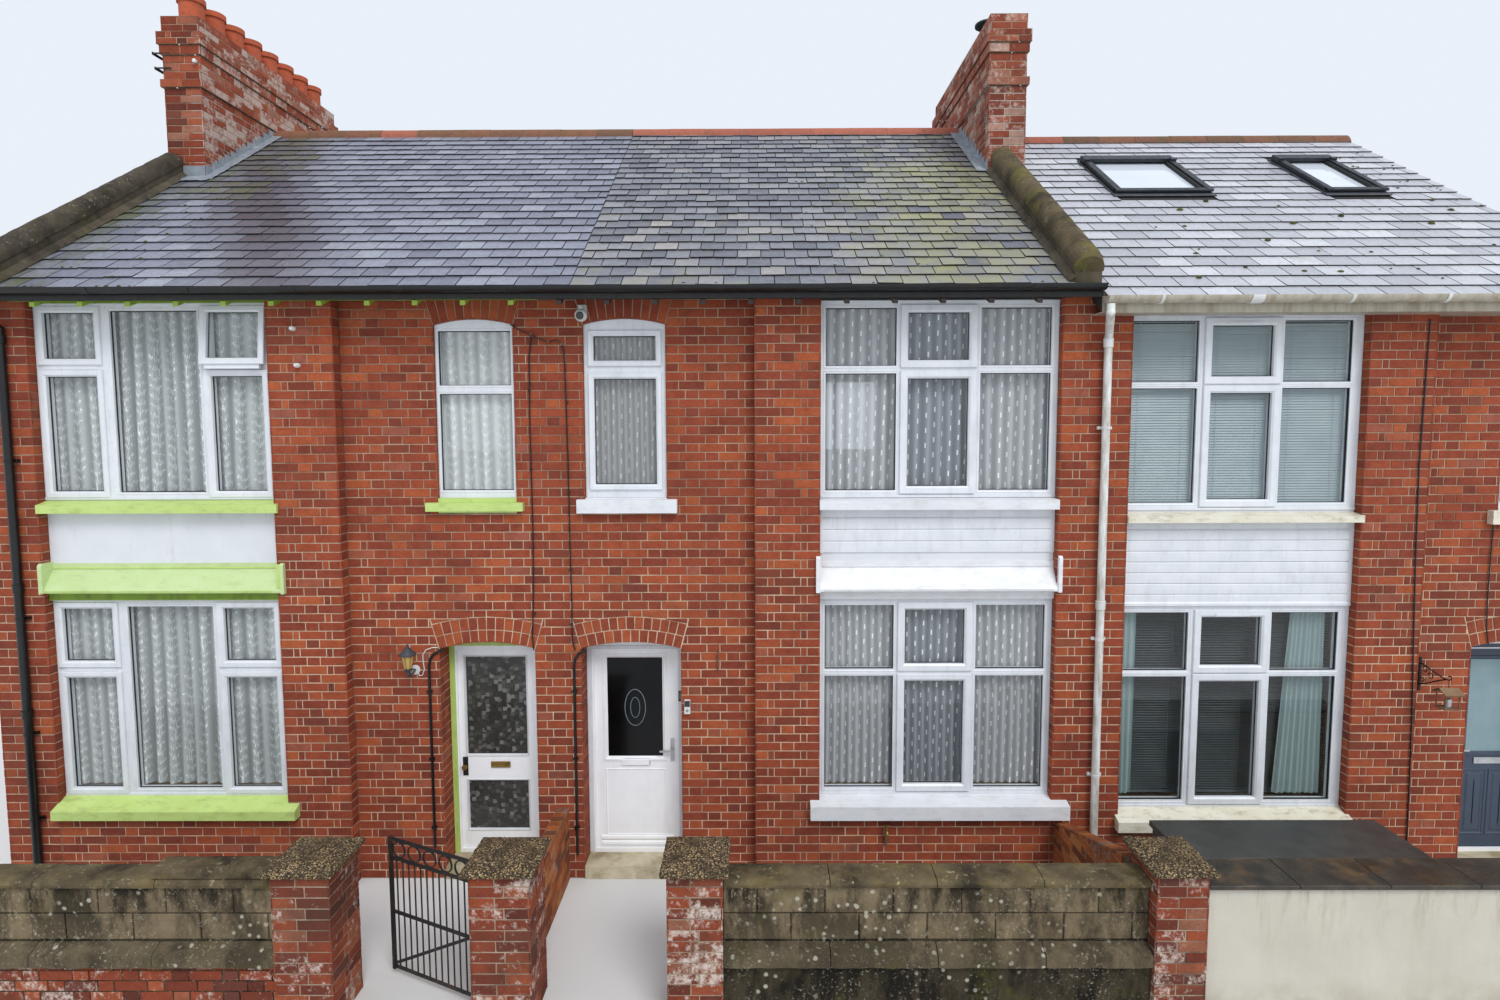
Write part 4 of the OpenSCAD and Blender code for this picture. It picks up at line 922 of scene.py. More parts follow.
def brickwork(G, P, U, N, a, b, z0, z1, holes=(), cuts=(), arches=(), bev=0.003, style=None, m=0, courses=CH, laying=bond, jt=JT):
    """Lays bricks on a wall plane between u = a..b and z0..z1. holes are (u0, u1, v0, v1); cuts are half planes
    (nu, nv, k) to keep; arches are (u0, u1, spring, rise, [(inner, outer) rings])."""
    arcs = []
    for u0, u1, zs, rise, rings in arches:
        w = u1 - u0
        r = (w * w / 4 + rise * rise) / (2 * rise)
        arcs.append(((u0 + u1) / 2, zs + rise - r, r, math.asin(w / 2 / r), r + rings[-1][1] + 0.008, u0, u1, zs))
    k = int(math.floor(z0 / courses + 1e-6))
    while k * courses < z1 - 0.012:
        v0, v1 = max(k * courses + jt / 2, z0), min((k + 1) * courses - jt / 2, z1)
        if v1 - v0 > 0.012:
            for u0, u1 in laying(a, b, k):
                parts = [(u0, u1, v0, v1)]
                for h in holes:
                    nxt = []
                    for (p0, p1, q0, q1) in parts:
                        if p1 <= h[0] + 0.003 or p0 >= h[1] - 0.003 or q1 <= h[2] + 0.003 or q0 >= h[3] - 0.003:
                            nxt.append((p0, p1, q0, q1))
                            continue
                        if h[0] - p0 > 0.012:
                            nxt.append((p0, h[0], q0, q1))
                        if p1 - h[1] > 0.012:
                            nxt.append((h[1], p1, q0, q1))
                        m0, m1 = max(p0, h[0]), min(p1, h[1])
                        if h[2] - q0 > 0.012:
                            nxt.append((m0, m1, q0, h[2]))
                        if q1 - h[3] > 0.012:
                            nxt.append((m0, m1, h[3], q1))
                    parts = nxt
                for (p0, p1, q0, q1) in parts:
                    poly = [(p0, q0), (p1, q0), (p1, q1), (p0, q1)]
                    for cut in cuts:
                        poly = clip(poly, *cut)
                        if len(poly) < 3:
                            break
                    if len(poly) < 3:
                        continue
                    pieces = [poly]
                    for (uc, zc, r, th, ro, e0, e1, zs) in arcs:
                        if p1 < uc - ro * math.sin(th) - 0.02 or p0 > uc + ro * math.sin(th) + 0.02 or q1 < zs - 0.02 or q0 > zc + ro + 0.01:
                            continue
                        if math.hypot(min(max(uc, p0), p1) - uc, q0 - zc) > ro:
                            # wholly beyond the outer ring
                            continue
                        res = []
                        for pl in pieces:
                            # left and right of the skewbacks, then outside the outer ring in between
                            sl, cl = math.sin(th), math.cos(th)
                            left = clip(pl, cl, sl, (uc * cl + zc * sl) - 0.0)
                            kl = uc * cl + zc * sl
                            left = clip(pl, cl, sl, kl - 0.006)
                            right = clip(pl, -cl, sl, -uc * cl + zc * sl - 0.006)
                            mid = clip(clip(pl, -cl, -sl, -kl - 0.006), cl, -sl, uc * cl - zc * sl - 0.006)
                            left = [q for q in left]
                            if len(left) >= 3:
                                # the line through the arch centre also cuts below it; keep what is left of the centre
                                left = clip(left, 1, 0, uc)
                                if len(left) >= 3:
                                    res.append(left)
                            if len(right) >= 3:
                                right = clip(right, -1, 0, -uc)
                                if len(right) >= 3:
                                    res.append(right)
                            if len(mid) >= 3:
                                mu, mv = sum(q[0] for q in mid) / len(mid) - uc, sum(q[1] for q in mid) / len(mid) - zc
                                d = math.hypot(mu, mv)
                                nu_, nv_ = mu / d, mv / d
                                mid = clip(mid, -nu_, -nv_, -(ro + nu_ * uc + nv_ * zc))
                                if len(mid) >= 3:
                                    res.append(mid)
                        pieces = res
                    for pl in pieces:
                        if abs(area(pl)) > 0.0005:
                            cu, cv = sum(q[0] for q in pl) / len(pl), sum(q[1] for q in pl) / len(pl)
                            tone = (RND.random(), RND.random(), RND.random()) if style is None else style(cu, cv)
                            put_brick(G, P, U, N, pl, tone, bev=bev, m=m)
        k += 1
    for (u0, u1, zs, rise, rings), (uc, zc, r, th, ro, *_r) in zip(arches, arcs):
        for (ri, rr) in rings:
            mid = r + (ri + rr) / 2
            cnt = max(3, int(round(2 * th * mid / CH)))
            st = 2 * th / cnt
            g = JT / 2 / mid
            for i in range(cnt):
                a0, a1 = -th + i * st + g, -th + (i + 1) * st - g
                poly = [(uc + (r + ri) * math.sin(a0), zc + (r + ri) * math.cos(a0)), (uc + (r + ri) * math.sin(a1), zc + (r + ri) * math.cos(a1)),
                        (uc + (r + rr) * math.sin(a1), zc + (r + rr) * math.cos(a1)), (uc + (r + rr) * math.sin(a0), zc + (r + rr) * math.cos(a0))]
                for cut in cuts:
                    poly = clip(poly, *cut)
                    if len(poly) < 3:
                        break
                if len(poly) >= 3:
                    put_brick(G, P, U, N, poly, (RND.uniform(0.2, 0.95), RND.uniform(0, 0.9), RND.random()), bev=bev, m=m)


FR = ((1, 0, 0), (0, -1, 0))
BK = ((-1, 0, 0), (0, 1, 0))
LF = ((0, -1, 0), (-1, 0, 0))
RT = ((0, 1, 0), (1, 0, 0))


def front(G, y, a, b, z0, z1, **kw):
    brickwork(G, (0, y, 0), *FR, a, b, z0, z1, **kw)


def left(G, x, ya, yb, z0, z1, **kw):
    brickwork(G, (x, 0, 0), *LF, -yb, -ya, z0, z1, **kw)


def right(G, x, ya, yb, z0, z1, **kw):
    brickwork(G, (x, 0, 0), *RT, ya, yb, z0, z1, **kw)


def back(G, y, a, b, z0, z1, **kw):
    brickwork(G, (0, y, 0), *BK, -b, -a, z0, z1, **kw)


def facade():
    G = Geo()
    top = zu(PIL) - 0.004
    for (a, b, d) in ((X_LO, BAY[0][0], 0), (BAY[0][1], -3.630, 0), (0.030, BAY[1][0], 0), (BAY[1][1], 3.305, 0.0), (BAY[2][1], 5.928, 0.12)):
        holes = [(X_PR, 9, zu(PIL, 0.12), 9)] if b == 3.305 else []
        front(G, PIL, a, b, 0, top - d, holes=holes)
    for h in range(3):
        front(G, PIL, BAY[h][0] + 0.005, BAY[h][1] - 0.005, 0, WLB - DROP[h] - 0.155, holes=[(1.098, 1.328, 0.125, 0.215)] if h == 1 else [])
    # returns of the pilasters beside the windows and the door bays
    for h in range(3):
        d = DROP[h]
        right(G, BAY[h][0], PIL, -0.03, WLB - d - 0.155, top - d)
        left(G, BAY[h][1], PIL, -0.03, WLB - d - 0.155, top - d)
    right(G, -3.630, PIL, 0, 0, top)
    left(G, 0.030, PIL, 0, 0, top)
    right(G, 5.928, PIL, 0, 0, top - 0.12)
    # door bays, two rings over each door and one tall ring over each small window
    two, one = [(0.004, 0.111), (0.120, 0.228)], [(0.004, 0.228)]
    holes = []
    arches = []
    for h in (0, 1):
        holes += [(DOOR[h][0], DOOR[h][1], 0, DZS), (SWIN[h][0], SWIN[h][1], 3.412, SZS)]
        arches += [(DOOR[h][0], DOOR[h][1], DZS, DRISE, two), (SWIN[h][0], SWIN[h][1], SZS, SRISE, one)]
    front(G, 0, -3.630, 0.030, 0, zu(0) - 0.004, holes=holes, arches=arches, cuts=[(0, 1, zu(0) - 0.004)])
    d = 0.12
    front(G, 0, 5.928, X_CD, 0, zu(0, d) - 0.004,
          holes=[(DOOR[2][0], DOOR[2][1], 0, DZS), (SWIN[2][0], SWIN[2][1], 3.412 - d, SZS - d)],
          arches=[(DOOR[2][0], DOOR[2][1], DZS, DRISE, two), (SWIN[2][0], SWIN[2][1], SZS - d, SRISE, one)],
          cuts=[(0, 1, zu(0, d) - 0.004)])
    # reveals
    for h in range(3):
        d = DROP[h]
        right(G, DOOR[h][0], 0, 0.23, 0.12, DZS - 0.002)
        left(G, DOOR[h][1], 0, 0.23, 0.12, DZS - 0.002)
        right(G, SWIN[h][0], 0, SW_Y, 3.544 - d, SZS - 0.002 - d)
        left(G, SWIN[h][1], 0, SW_Y, 3.544 - d, SZS - 0.002 - d)
    G.make("front_bricks", BRICK, slot="brick")
    # soffits of the arches: a ring of bricks on edge seen from below
    A = Geo()
    for h in range(3):
        for (u0, u1, zs, rise, y1) in ((DOOR[h][0], DOOR[h][1], DZS, DRISE, 0.23), (SWIN[h][0], SWIN[h][1], SZS - DROP[h], SRISE, SW_Y)):
            w = u1 - u0
            r = (w * w / 4 + rise * rise) / (2 * rise)
            uc, zc, th = (u0 + u1) / 2, zs + rise - r, math.asin(w / 2 / r)
            cnt = int(round(2 * th * r / CH))
            for i in range(cnt):
                a0, a1 = -th + (i + 0.07) * 2 * th / cnt, -th + (i + 0.93) * 2 * th / cnt
                tone = (RND.random(), RND.random(), 0)
                rows = ((0.004, 0.108), (0.118, y1)) if y1 > 0.15 else ((0.004, y1),)
                for (ya, yb) in rows:
                    vs = []
                    for y in (ya, yb):
                        for rr in (r + 0.001, r + 0.012):
                            for aa in (a0, a1):
                                vs.append((uc + rr * math.sin(aa), y, zc + rr * math.cos(aa)))
                    A.add(vs, [(0, 1, 5, 4), (0, 2, 3, 1), (4, 5, 7, 6), (0, 4, 6, 2), (1, 3, 7, 5)], 0, tone)
    A.make("arch_soffits", BRICK, slot="brick")


def sides():
    s, cth = math.sin(PITCH), math.cos(PITCH)
    G = Geo()
    # left end wall: outer face, roof line on both slopes
    roofcuts = lambda d: [(-s * -1 * 0 + 0, 1, 99)]
    e = 0.004

    def rake(sign, d):
        # z <= zu(y): front slope z - TP*y <= zu(0); rear slope z + TP*y <= zu at mirrored side
        return [(-TP * sign, 1, zu(0, d) - e), (TP * sign, 1, zu(0, d) + 2 * YR * TP - e)]
    left(G, X_LO, PIL, DEPTH, 0, 9, cuts=rake(-1, 0), bev=0)
    right(G, X_CD, 0, DEPTH, 0, 9, cuts=rake(1, 0.12), bev=0)
    holes = []
    for h in range(3):
        for (u0, u1, z0, z1) in ((2.5, 4.0, .95, 2.3), (.6, 1.35, 1.25, 2.3), (2.5, 4.0, 3.65, 4.95), (.6, 1.35, 3.85, 4.95)):
            x = (X_AB - u1, X_AB - u0) if h == 0 else (X_AB + u0, X_AB + u1) if h == 1 else (X_CD - u1, X_CD - u0)
            holes.append((-x[1], -x[0], z0, z1 + 0.0))
    back(G, DEPTH, X_LO, X_PR, 0, zu(DEPTH) - e, holes=holes, bev=0)
    back(G, DEPTH, X_PR, X_CD, 0, zu(DEPTH, 0.12) - e, holes=holes, bev=0)
    for q in holes:
        left(G, -q[0], DEPTH - 0.10, DEPTH, q[2], q[3], bev=0)
        right(G, -q[1], DEPTH - 0.10, DEPTH, q[2], q[3], bev=0)
    G.make("side_and_rear_bricks", BRICK, slot="brick")


def chimneys():
    for i, (x, y, L) in enumerate(STACKS):
        G = Geo()
        W, top = S_W, S_TOP
        for (z0, z1, o) in ((6.75, top - 0.78, 0), (top - 0.78, top - 0.69, 0.025), (top - 0.69, top - 0.425, 0), (top - 0.425, top - 0.32, 0.02), (top - 0.32, top - 0.18, 0.038), (top - 0.18, top, 0)):
            for side in (front, back, left, right):
                def st(u, v):
                    # sooty front; the side that faces the row is paler: worn, salt-stained bricks, and brighter tones
                    # as painted light
                    if i == 0:
                        if side is right:
                            return (RND.uniform(0.45, 1.0), RND.uniform(0, 0.93), RND.uniform(0.2, 2.2))
                        return (RND.random(), RND.uniform(0, 1.0), RND.random() * 0.5)
                    return (min(1.0, RND.random() * 1.1), RND.uniform(0, 0.95), RND.random() * 1.2)
                if side in (front, back):
                    yy = y - o if side is front else y + L + o
                    band(side, G, yy, x - o, x + W + o, z0, z1, st)
                else:
                    xx = x - o if side is left else x + W + o
                    band(side, G, xx, y - o, y + L + o, z0, z1, st)
        G.make("chimney_bricks_" + "ab"[i], (BRICK_CH, BRICK_CHR)[i], slot="brick")


def band(side, G, p, a, b, z0, z1, st):
    """A zone of courses that starts exactly at z0."""
    n = max(1, int(round((z1 - z0) / CH)))
    ch = (z1 - z0) / n
    sub = Geo()
    side(sub, p, a, b, 0, z1 - z0, courses=ch, style=st)
    G_v = [(v[0], v[1], v[2] + z0) for v in sub.v]
    k = len(G.v)
    G.v.extend(G_v)
    G.f.extend(tuple(q + k for q in f) for f in sub.f)
    G.m.extend(sub.m)
    G.a.extend(sub.a)


# ---------------------------------------------------------------- slates
def slates(name, x0, x1, d, gauge, wide, mat, side=1, s0=0.0, holes=(), seed=1, messy=0.3, moss=None, split=None, thick=0.009, gap=0.0042):
    """Courses of slates on a slope, side 1 the front and -1 the rear. split is not used."""
    R = random.Random(seed)
    G = Geo()
    sl = (YR - YE) / math.cos(PITCH)
    n = int(math.ceil(sl / gauge))
    cs, sn = math.cos(PITCH), math.sin(PITCH)

    def at(x, s, h):
        y = YE + s * cs
        z = zt(YE, d) + s * sn
        y, z = y - h * sn, z + h * cs
        return (x, y if side > 0 else 2 * YR - y, z)
    for k in range(n):
        a = k * gauge - 0.012
        b = min((k + 1) * gauge + 0.02, sl - 0.02)
        if b - a < 0.05:
            continue
        x = x0 - (wide / 2 if k % 2 else 0) - R.uniform(0, 0.01)
        while x < x1:
            w = wide * (1 + R.uniform(-0.02, 0.02) * messy)
            p0, p1 = max(x + gap, x0), min(x + w - gap, x1)
            x += w
            if p1 - p0 < 0.02:
                continue
            mid_s, mid_x = (a + b) / 2, (p0 + p1) / 2
            parts = [(p0, p1)]
            for (h0, h1, t0, t1) in holes:
                if b > t0 + 0.02 and a < t1 - 0.02:
                    nxt = []
                    for (q0, q1) in parts:
                        if q1 <= h0 or q0 >= h1:
                            nxt.append((q0, q1))
                        else:
                            if h0 - q0 > 0.02:
                                nxt.append((q0, h0))
                            if q1 - h1 > 0.02:
                                nxt.append((h1, q1))
                    parts = nxt
            lift = R.uniform(0, 0.003) * (1 + messy)
            slip = R.uniform(-0.003, 0.003) * (1 + 2 * messy)
            if R.random() < 0.01 * messy:
                slip -= R.uniform(0.01, 0.03)
            tilt = R.uniform(-0.004, 0.004) * messy
            t = moss(mid_x, mid_s, R) if moss else (R.random(), 0.0, 0.0)
            for (q0, q1) in parts:
                lo, hi = a + slip, b
                ht, hb = 0.014 + lift, 0.001
                vs = [at(q0, lo - tilt, ht), at(q1, lo + tilt, ht), at(q1, hi, hb), at(q0, hi, hb),
                      at(q0, lo - tilt, ht - thick), at(q1, lo + tilt, ht - thick), at(q1, hi, hb - thick), at(q0, hi, hb - thick)]
                # tail and side faces take the near-black second material: painted shade along the slate edges
                fs, tail = [(0, 1, 2, 3)], [(4, 5, 1, 0), (5, 6, 2, 1), (7, 4, 0, 3)]
                if side < 0:
                    fs, tail = [f[::-1] for f in fs], [f[::-1] for f in tail]
                G.add(vs, fs, 0, t)
                G.add(vs, tail, 1, t)
    return G.make(name, [mat, SLATE_TAIL_SHADE], slot="slate")


def sp(y):
    """Distance up the slope from the eave of plan depth y."""
    return (y - YE) / math.cos(PITCH)


def roofs():
    def moss_a(x, s, R):
        n = noise.noise(Vector((x * 0.9, s * 0.9, 3.1)))
        n2 = noise.noise(Vector((x * 2.6, s * 2.6, 7.7)))
        near = max(0.0, min(1.0, 1.15 - (x - X_QB) / 0.55))
        xc = -4.1 - 0.477 * s
        stain = math.exp(-((x - xc) / 0.50) ** 2) * (0.78 + 0.3 * n + 0.25 * n2)
        if s > 3.2:
            stain = max(stain * 0.8, 0.6 * math.exp(-((x + 5.75) / 0.35) ** 2))
        mossy = near * (0.62 + 0.4 * n + 0.3 * n2)
        if s > 2.2 and x < -5.2:
            mossy = max(mossy, 0.45 + 0.4 * n2)
        return (R.random() * 0.9 + 0.05, max(0, min(1, mossy)), max(0, min(0.85, stain)))

    def moss_b(x, s, R):
        n = noise.noise(Vector((x * 1.1, s * 1.1, 9.4)))
        n2 = noise.noise(Vector((x * 2.8, s * 2.8, 2.2)))
        g = max(0.0, min(1.0, (x - 0.35) / 1.3)) * (0.62 + 0.35 * n + 0.3 * n2) * (1 - 0.5 * min(1, max(0, s - 3.0)))
        if s < 1.6:
            g = max(g, 0.16 + 0.35 * n + 0.2 * n2)
        if R.random() < 0.06:
            g = 0.05
        warm = R.uniform(0.86, 1.0) if (s < 1.7 and R.random() < 0.16) else R.random() * 0.84
        st = 0.65 * math.exp(-((x - (2.36 + 0.10 * (3.4 - s))) / 0.17) ** 2) if 2.5 < s < 4.5 else 0.25 * max(0, n2)
        return (min(1, warm), max(0, min(1, g)), st)

    def moss_c(x, s, R):
        g = 0.25 if R.random() < 0.03 else 0.0
        return (R.random(), g, 0.12 * max(0, noise.noise(Vector((x, s, 1.0)))))

    def moss_d(x, s, R):
        return (R.random(), 0.5 * max(0, noise.noise(Vector((x * 2, s * 2, 5.0))) + 0.4), 0.2)
    (xl, yl, ll), (xr, yr_, lr) = STACKS
    stack_l, stack_r = (xl, xl + S_W + 0.004, sp(yl), 99), (xr - 0.004, xr + S_W + 0.004, sp(yr_), 99)
    rear_l, rear_r = (xl, xl + S_W + 0.004, sp(2 * YR - yl - ll), 99), (xr - 0.004, xr + S_W + 0.004, sp(2 * YR - yr_ - lr), 99)
    slates("slates_front_a", X_QB + 0.006, -1.52, 0, 0.196, 0.246, SLATE_A, seed=11, messy=0.5, moss=moss_a, holes=[stack_l])
    slates("slates_front_verge", X_LO, xl - 0.004, 0, 0.196, 0.246, SLATE_A, seed=21, messy=0.5, moss=moss_a,
           holes=[(X_QA - 0.004, 9, 0, sp(yl))])
    slates("slates_front_b", -1.512, X_PL - 0.006, 0, 0.186, 0.214, SLATE_B, seed=12, messy=1.0, moss=moss_b, holes=[stack_r])
    rl = [(3.96, 5.01, sp(1.78), sp(2.74)), (6.25, 6.90, sp(1.78), sp(2.74))]
    slates("slates_front_c", X_PR + 0.004, X_CD, 0.12, 0.214, 0.300, SLATE_C, seed=14, messy=0.15, moss=moss_c, holes=rl + [stack_r])
    for nm, a, b, dd, mt, ho in (("slates_rear_ab", X_QB + 0.006, X_PL - 0.006, 0, SLATE_D, [rear_l, rear_r]), ("slates_rear_c", X_PR + 0.004, X_CD, 0.12, SLATE_D, [rear_r]),
                                 ("slates_rear_verge", X_LO, xl - 0.004, 0, SLATE_D, [(X_QA - 0.004, 9, 0, rear_l[2])])):
        slates(nm, a, b, dd, 0.2, 0.25, mt, side=-1, seed=15, messy=0.5, moss=moss_d, holes=ho)
    # ridge tiles, one by one
    G = Geo()
    for (x0, x1, d, kinds) in ((X_LO, X_QA, 0, "old"), (xl + S_W, X_AB + 0.28, 0, "old"), (X_AB + 0.28, xr, 0, "new"), (xr + S_W, X_CD, 0.12, "c")):
        n = max(1, int(round((x1 - x0) / 0.46)))
        w = (x1 - x0) / n
        for i in range(n):
            a, b = x0 + i * w, x0 + (i + 1) * w
            new = kinds == "new" or (kinds == "c" and i < 2) or (kinds == "old" and i == n - 7)
            dz = RND.uniform(-0.003, 0.002)
            m = 1 if new else 0
            tone = (RND.random(), 0, 0)
            pts = [(YR, zt(YR, d) - 0.02), (YR - 0.122, zt(YR - 0.11, d) - 0.004), (YR - 0.120, zt(YR - 0.11, d) + 0.026)]
            pts += [(YR + 0.118 * math.cos(math.radians(t)), zt(YR, d) - 0.078 + 0.128 * math.sin(math.radians(t)) + dz) for t in range(150, 29, -15)]
            pts += [(YR + 0.120, zt(YR - 0.11, d) + 0.026), (YR + 0.122, zt(YR - 0.11, d) - 0.004)]
            G.prism(a + 0.003, b - 0.003, pts, m, tone)
            # bedding mortar in the joint
            pts2 = [(q[0] * 1.0 if abs(q[0] - YR) < 0.001 else YR + (q[0] - YR) * 0.97, q[1] - 0.006) for q in pts]
            if i:
                G.prism(a - 0.006, a + 0.006, pts2, 2, tone)
    G.make("ridge_tile_row", [TERRA_OLD, TERRA_NEW, MORTAR_D], slot="terracotta", rep=("ridge_tiles",), smooth=35)


# ---------------------------------------------------------------- rough stone skins
def rough_prism(name, x0, x1, outline, path, mat, amp=0.006, freq=9, nx=None, slot=None, rep=(), G=None, seedz=0.0, step=0.04, m=0):
    """An outline in (x, height) carried along a path of (y, z, ny, nz) points, worn by noise that only takes stone away."""
    own = G is None
    G = G or Geo()
    rows = []
    n = len(outline)
    for (y, z, ny, nz) in path:
        row = []
        for (x, h) in outline:
            row.append((x, y + ny * h, z + nz * h))
        rows.append(row)
    vs = []
    cx = sum(p[0] for p in outline) / n
    ch = sum(p[1] for p in outline) / n
    for ri, row in enumerate(rows):
        (py, pz, ny, nz) = path[ri]
        for (p, o) in zip(row, outline):
            q = Vector(p)
            k = (noise.noise(q * freq + Vector((0, 0, seedz))) * 0.5 + 0.5) * amp + (noise.noise(q * freq * 3.1) * 0.5 + 0.5) * amp * 0.5
            dx, dh = cx - o[0], ch - o[1]
            l = math.hypot(dx, dh) or 1
            vs.append((p[0] + dx / l * k, p[1] + ny * dh / l * k, p[2] + nz * dh / l * k))
    fs = []
    for r in range(len(rows) - 1):
        for i in range(n):
            j = (i + 1) % n
            fs.append((r * n + i, r * n + j, (r + 1) * n + j, (r + 1) * n + i))
    fs.append(tuple(range(n))[::-1])
    fs.append(tuple(range((len(rows) - 1) * n, len(rows) * n)))
    G.add(vs, fs, m)
    if own:
        return G.make(name, mat, slot=slot, rep=rep, smooth=50)


def parapet_tops():
    cs, sn = math.cos(PITCH), math.sin(PITCH)
    for i, (x0, x1, yc, ln) in enumerate(((X_QA, X_QB) + STACKS[0][1:], (X_PL, X_PR) + STACKS[1][1:])):
        w = x1 - x0 + 0.03
        rise, hh = 0.10, 0.04
        r = (w * w / 4 + rise * rise) / (2 * rise)
        xm = (x0 + x1) / 2
        out = [(xm - w / 2, 0.0)]
        out += [(xm + w / 2 * math.sin(t) * 1.0, hh + rise - r + math.sqrt(max(0, r * r - (w / 2 * math.sin(t)) ** 2))) for t in [math.radians(q) for q in range(-90, 91, 12)]]
        out += [(xm + w / 2, 0.0)]
        G = Geo()
        for side in (1, -1):
            y0, y1 = (YE, yc - 0.005) if side > 0 else (2 * YR - YE, yc + ln + 0.005)
            pts = []
            n = 96
            L = abs(y1 - y0)
            for k in range(n + 1):
                y = y0 + (y1 - y0) * k / n
                yy = y if side > 0 else 2 * YR - y
                # stones 0.9 m long with a slight dip at each joint
                s_ = yy / cs
                dip = 0.006 * math.exp(-((((s_ + 0.2) % 0.92) - 0.46) / 0.012) ** 2)
                endr = min(1.0, (abs(y - y0)) / 0.10)
                drop = (1 - math.sqrt(max(0.0, 1 - (1 - endr) ** 2))) * 0.05
                pts.append((y, zt(yy) + 0.15 - dip - drop, -sn * side, cs))
            rough_prism("x", 0, 0, out if side > 0 else out[::-1], pts, None, amp=0.010, freq=7, G=G, seedz=i * 5.0)
        G.make("coping_stones_" + "ab"[i], COPING if i == 0 else COPING_G, slot="concrete", rep=("parapet_copings",) if i == 0 else (), smooth=50)


# ---------------------------------------------------------------- windows
def sash(G, x0, x1, z0, z1, y0, w=0.045, t=0.016, m=0, back=0.032):
    """Moulded sash frame round an opening, standing proud of the frame's face y0."""
    prof = [(w, y0 + 0.001), (w, y0 - t * 0.75), (w - 0.005, y0 - t), (0.016, y0 - t), (0.011, y0 - t + 0.004), (0.0, y0 - t + 0.012), (0.0, y0 + back)]
    G.ring(x0, x1, z0, z1, prof, m)
    G.ring(x0, x1, z0, z1, [(0.001, y0 + back - 0.012), (-0.006, y0 + back - 0.009), (-0.006, y0 + back)], 1)


def bead(G, x0, x1, z0, z1, y0, back=0.032, m=0):
    G.ring(x0, x1, z0, z1, [(0.02, y0 + 0.001), (0.018, y0 - 0.004), (0.002, y0 + 0.006), (0.0, y0 + 0.010), (0.0, y0 + back)], m)
    G.ring(x0, x1, z0, z1, [(0.001, y0 + back - 0.012), (-0.006, y0 + back - 0.009), (-0.006, y0 + back)], 1)


COLS = ([(0.036, 0.253, 1), (0.317, 0.688, 0), (0.735, 0.953, 1)], [(0.024, 0.321, 1), (0.369, 0.626, 1), (0.675, 0.971, 1)], [(0.012, 0.302, 1), (0.357, 0.621, 1), (0.666, 0.957, 1)])
ROW_AB = ((WLB, WLT, WLB + 1.110, WLB + 1.172), (WUB, WUT, WUB + 1.096, WUB + 1.162))
ROWS = (ROW_AB, ROW_AB, ((WLB, WLT + 0.047, WLB + 1.218, WLB + 1.272), (WUB, WUT, WUB + 1.077, WUB + 1.130)))


def bay_panes(h, s):
    """[(column, part, x0, x1, z0, z1)] of one bay window, part 0 the whole, 1 lower, 2 upper."""
    x0, x1 = BAY[h]
    w = x1 - x0
    r = ROWS[h][s]
    d = DROP[h]
    out = []
    for k, (a, b, two) in enumerate(COLS[h]):
        if two:
            out.append((k, 1, x0 + a * w, x0 + b * w, r[0] + 0.065 - d, r[2] - d))
            out.append((k, 2, x0 + a * w, x0 + b * w, r[3] - d, r[1] - 0.058 - d))
        else:
            out.append((k, 0, x0 + a * w, x0 + b * w, r[0] + 0.065 - d, r[1] - 0.058 - d))
    return out


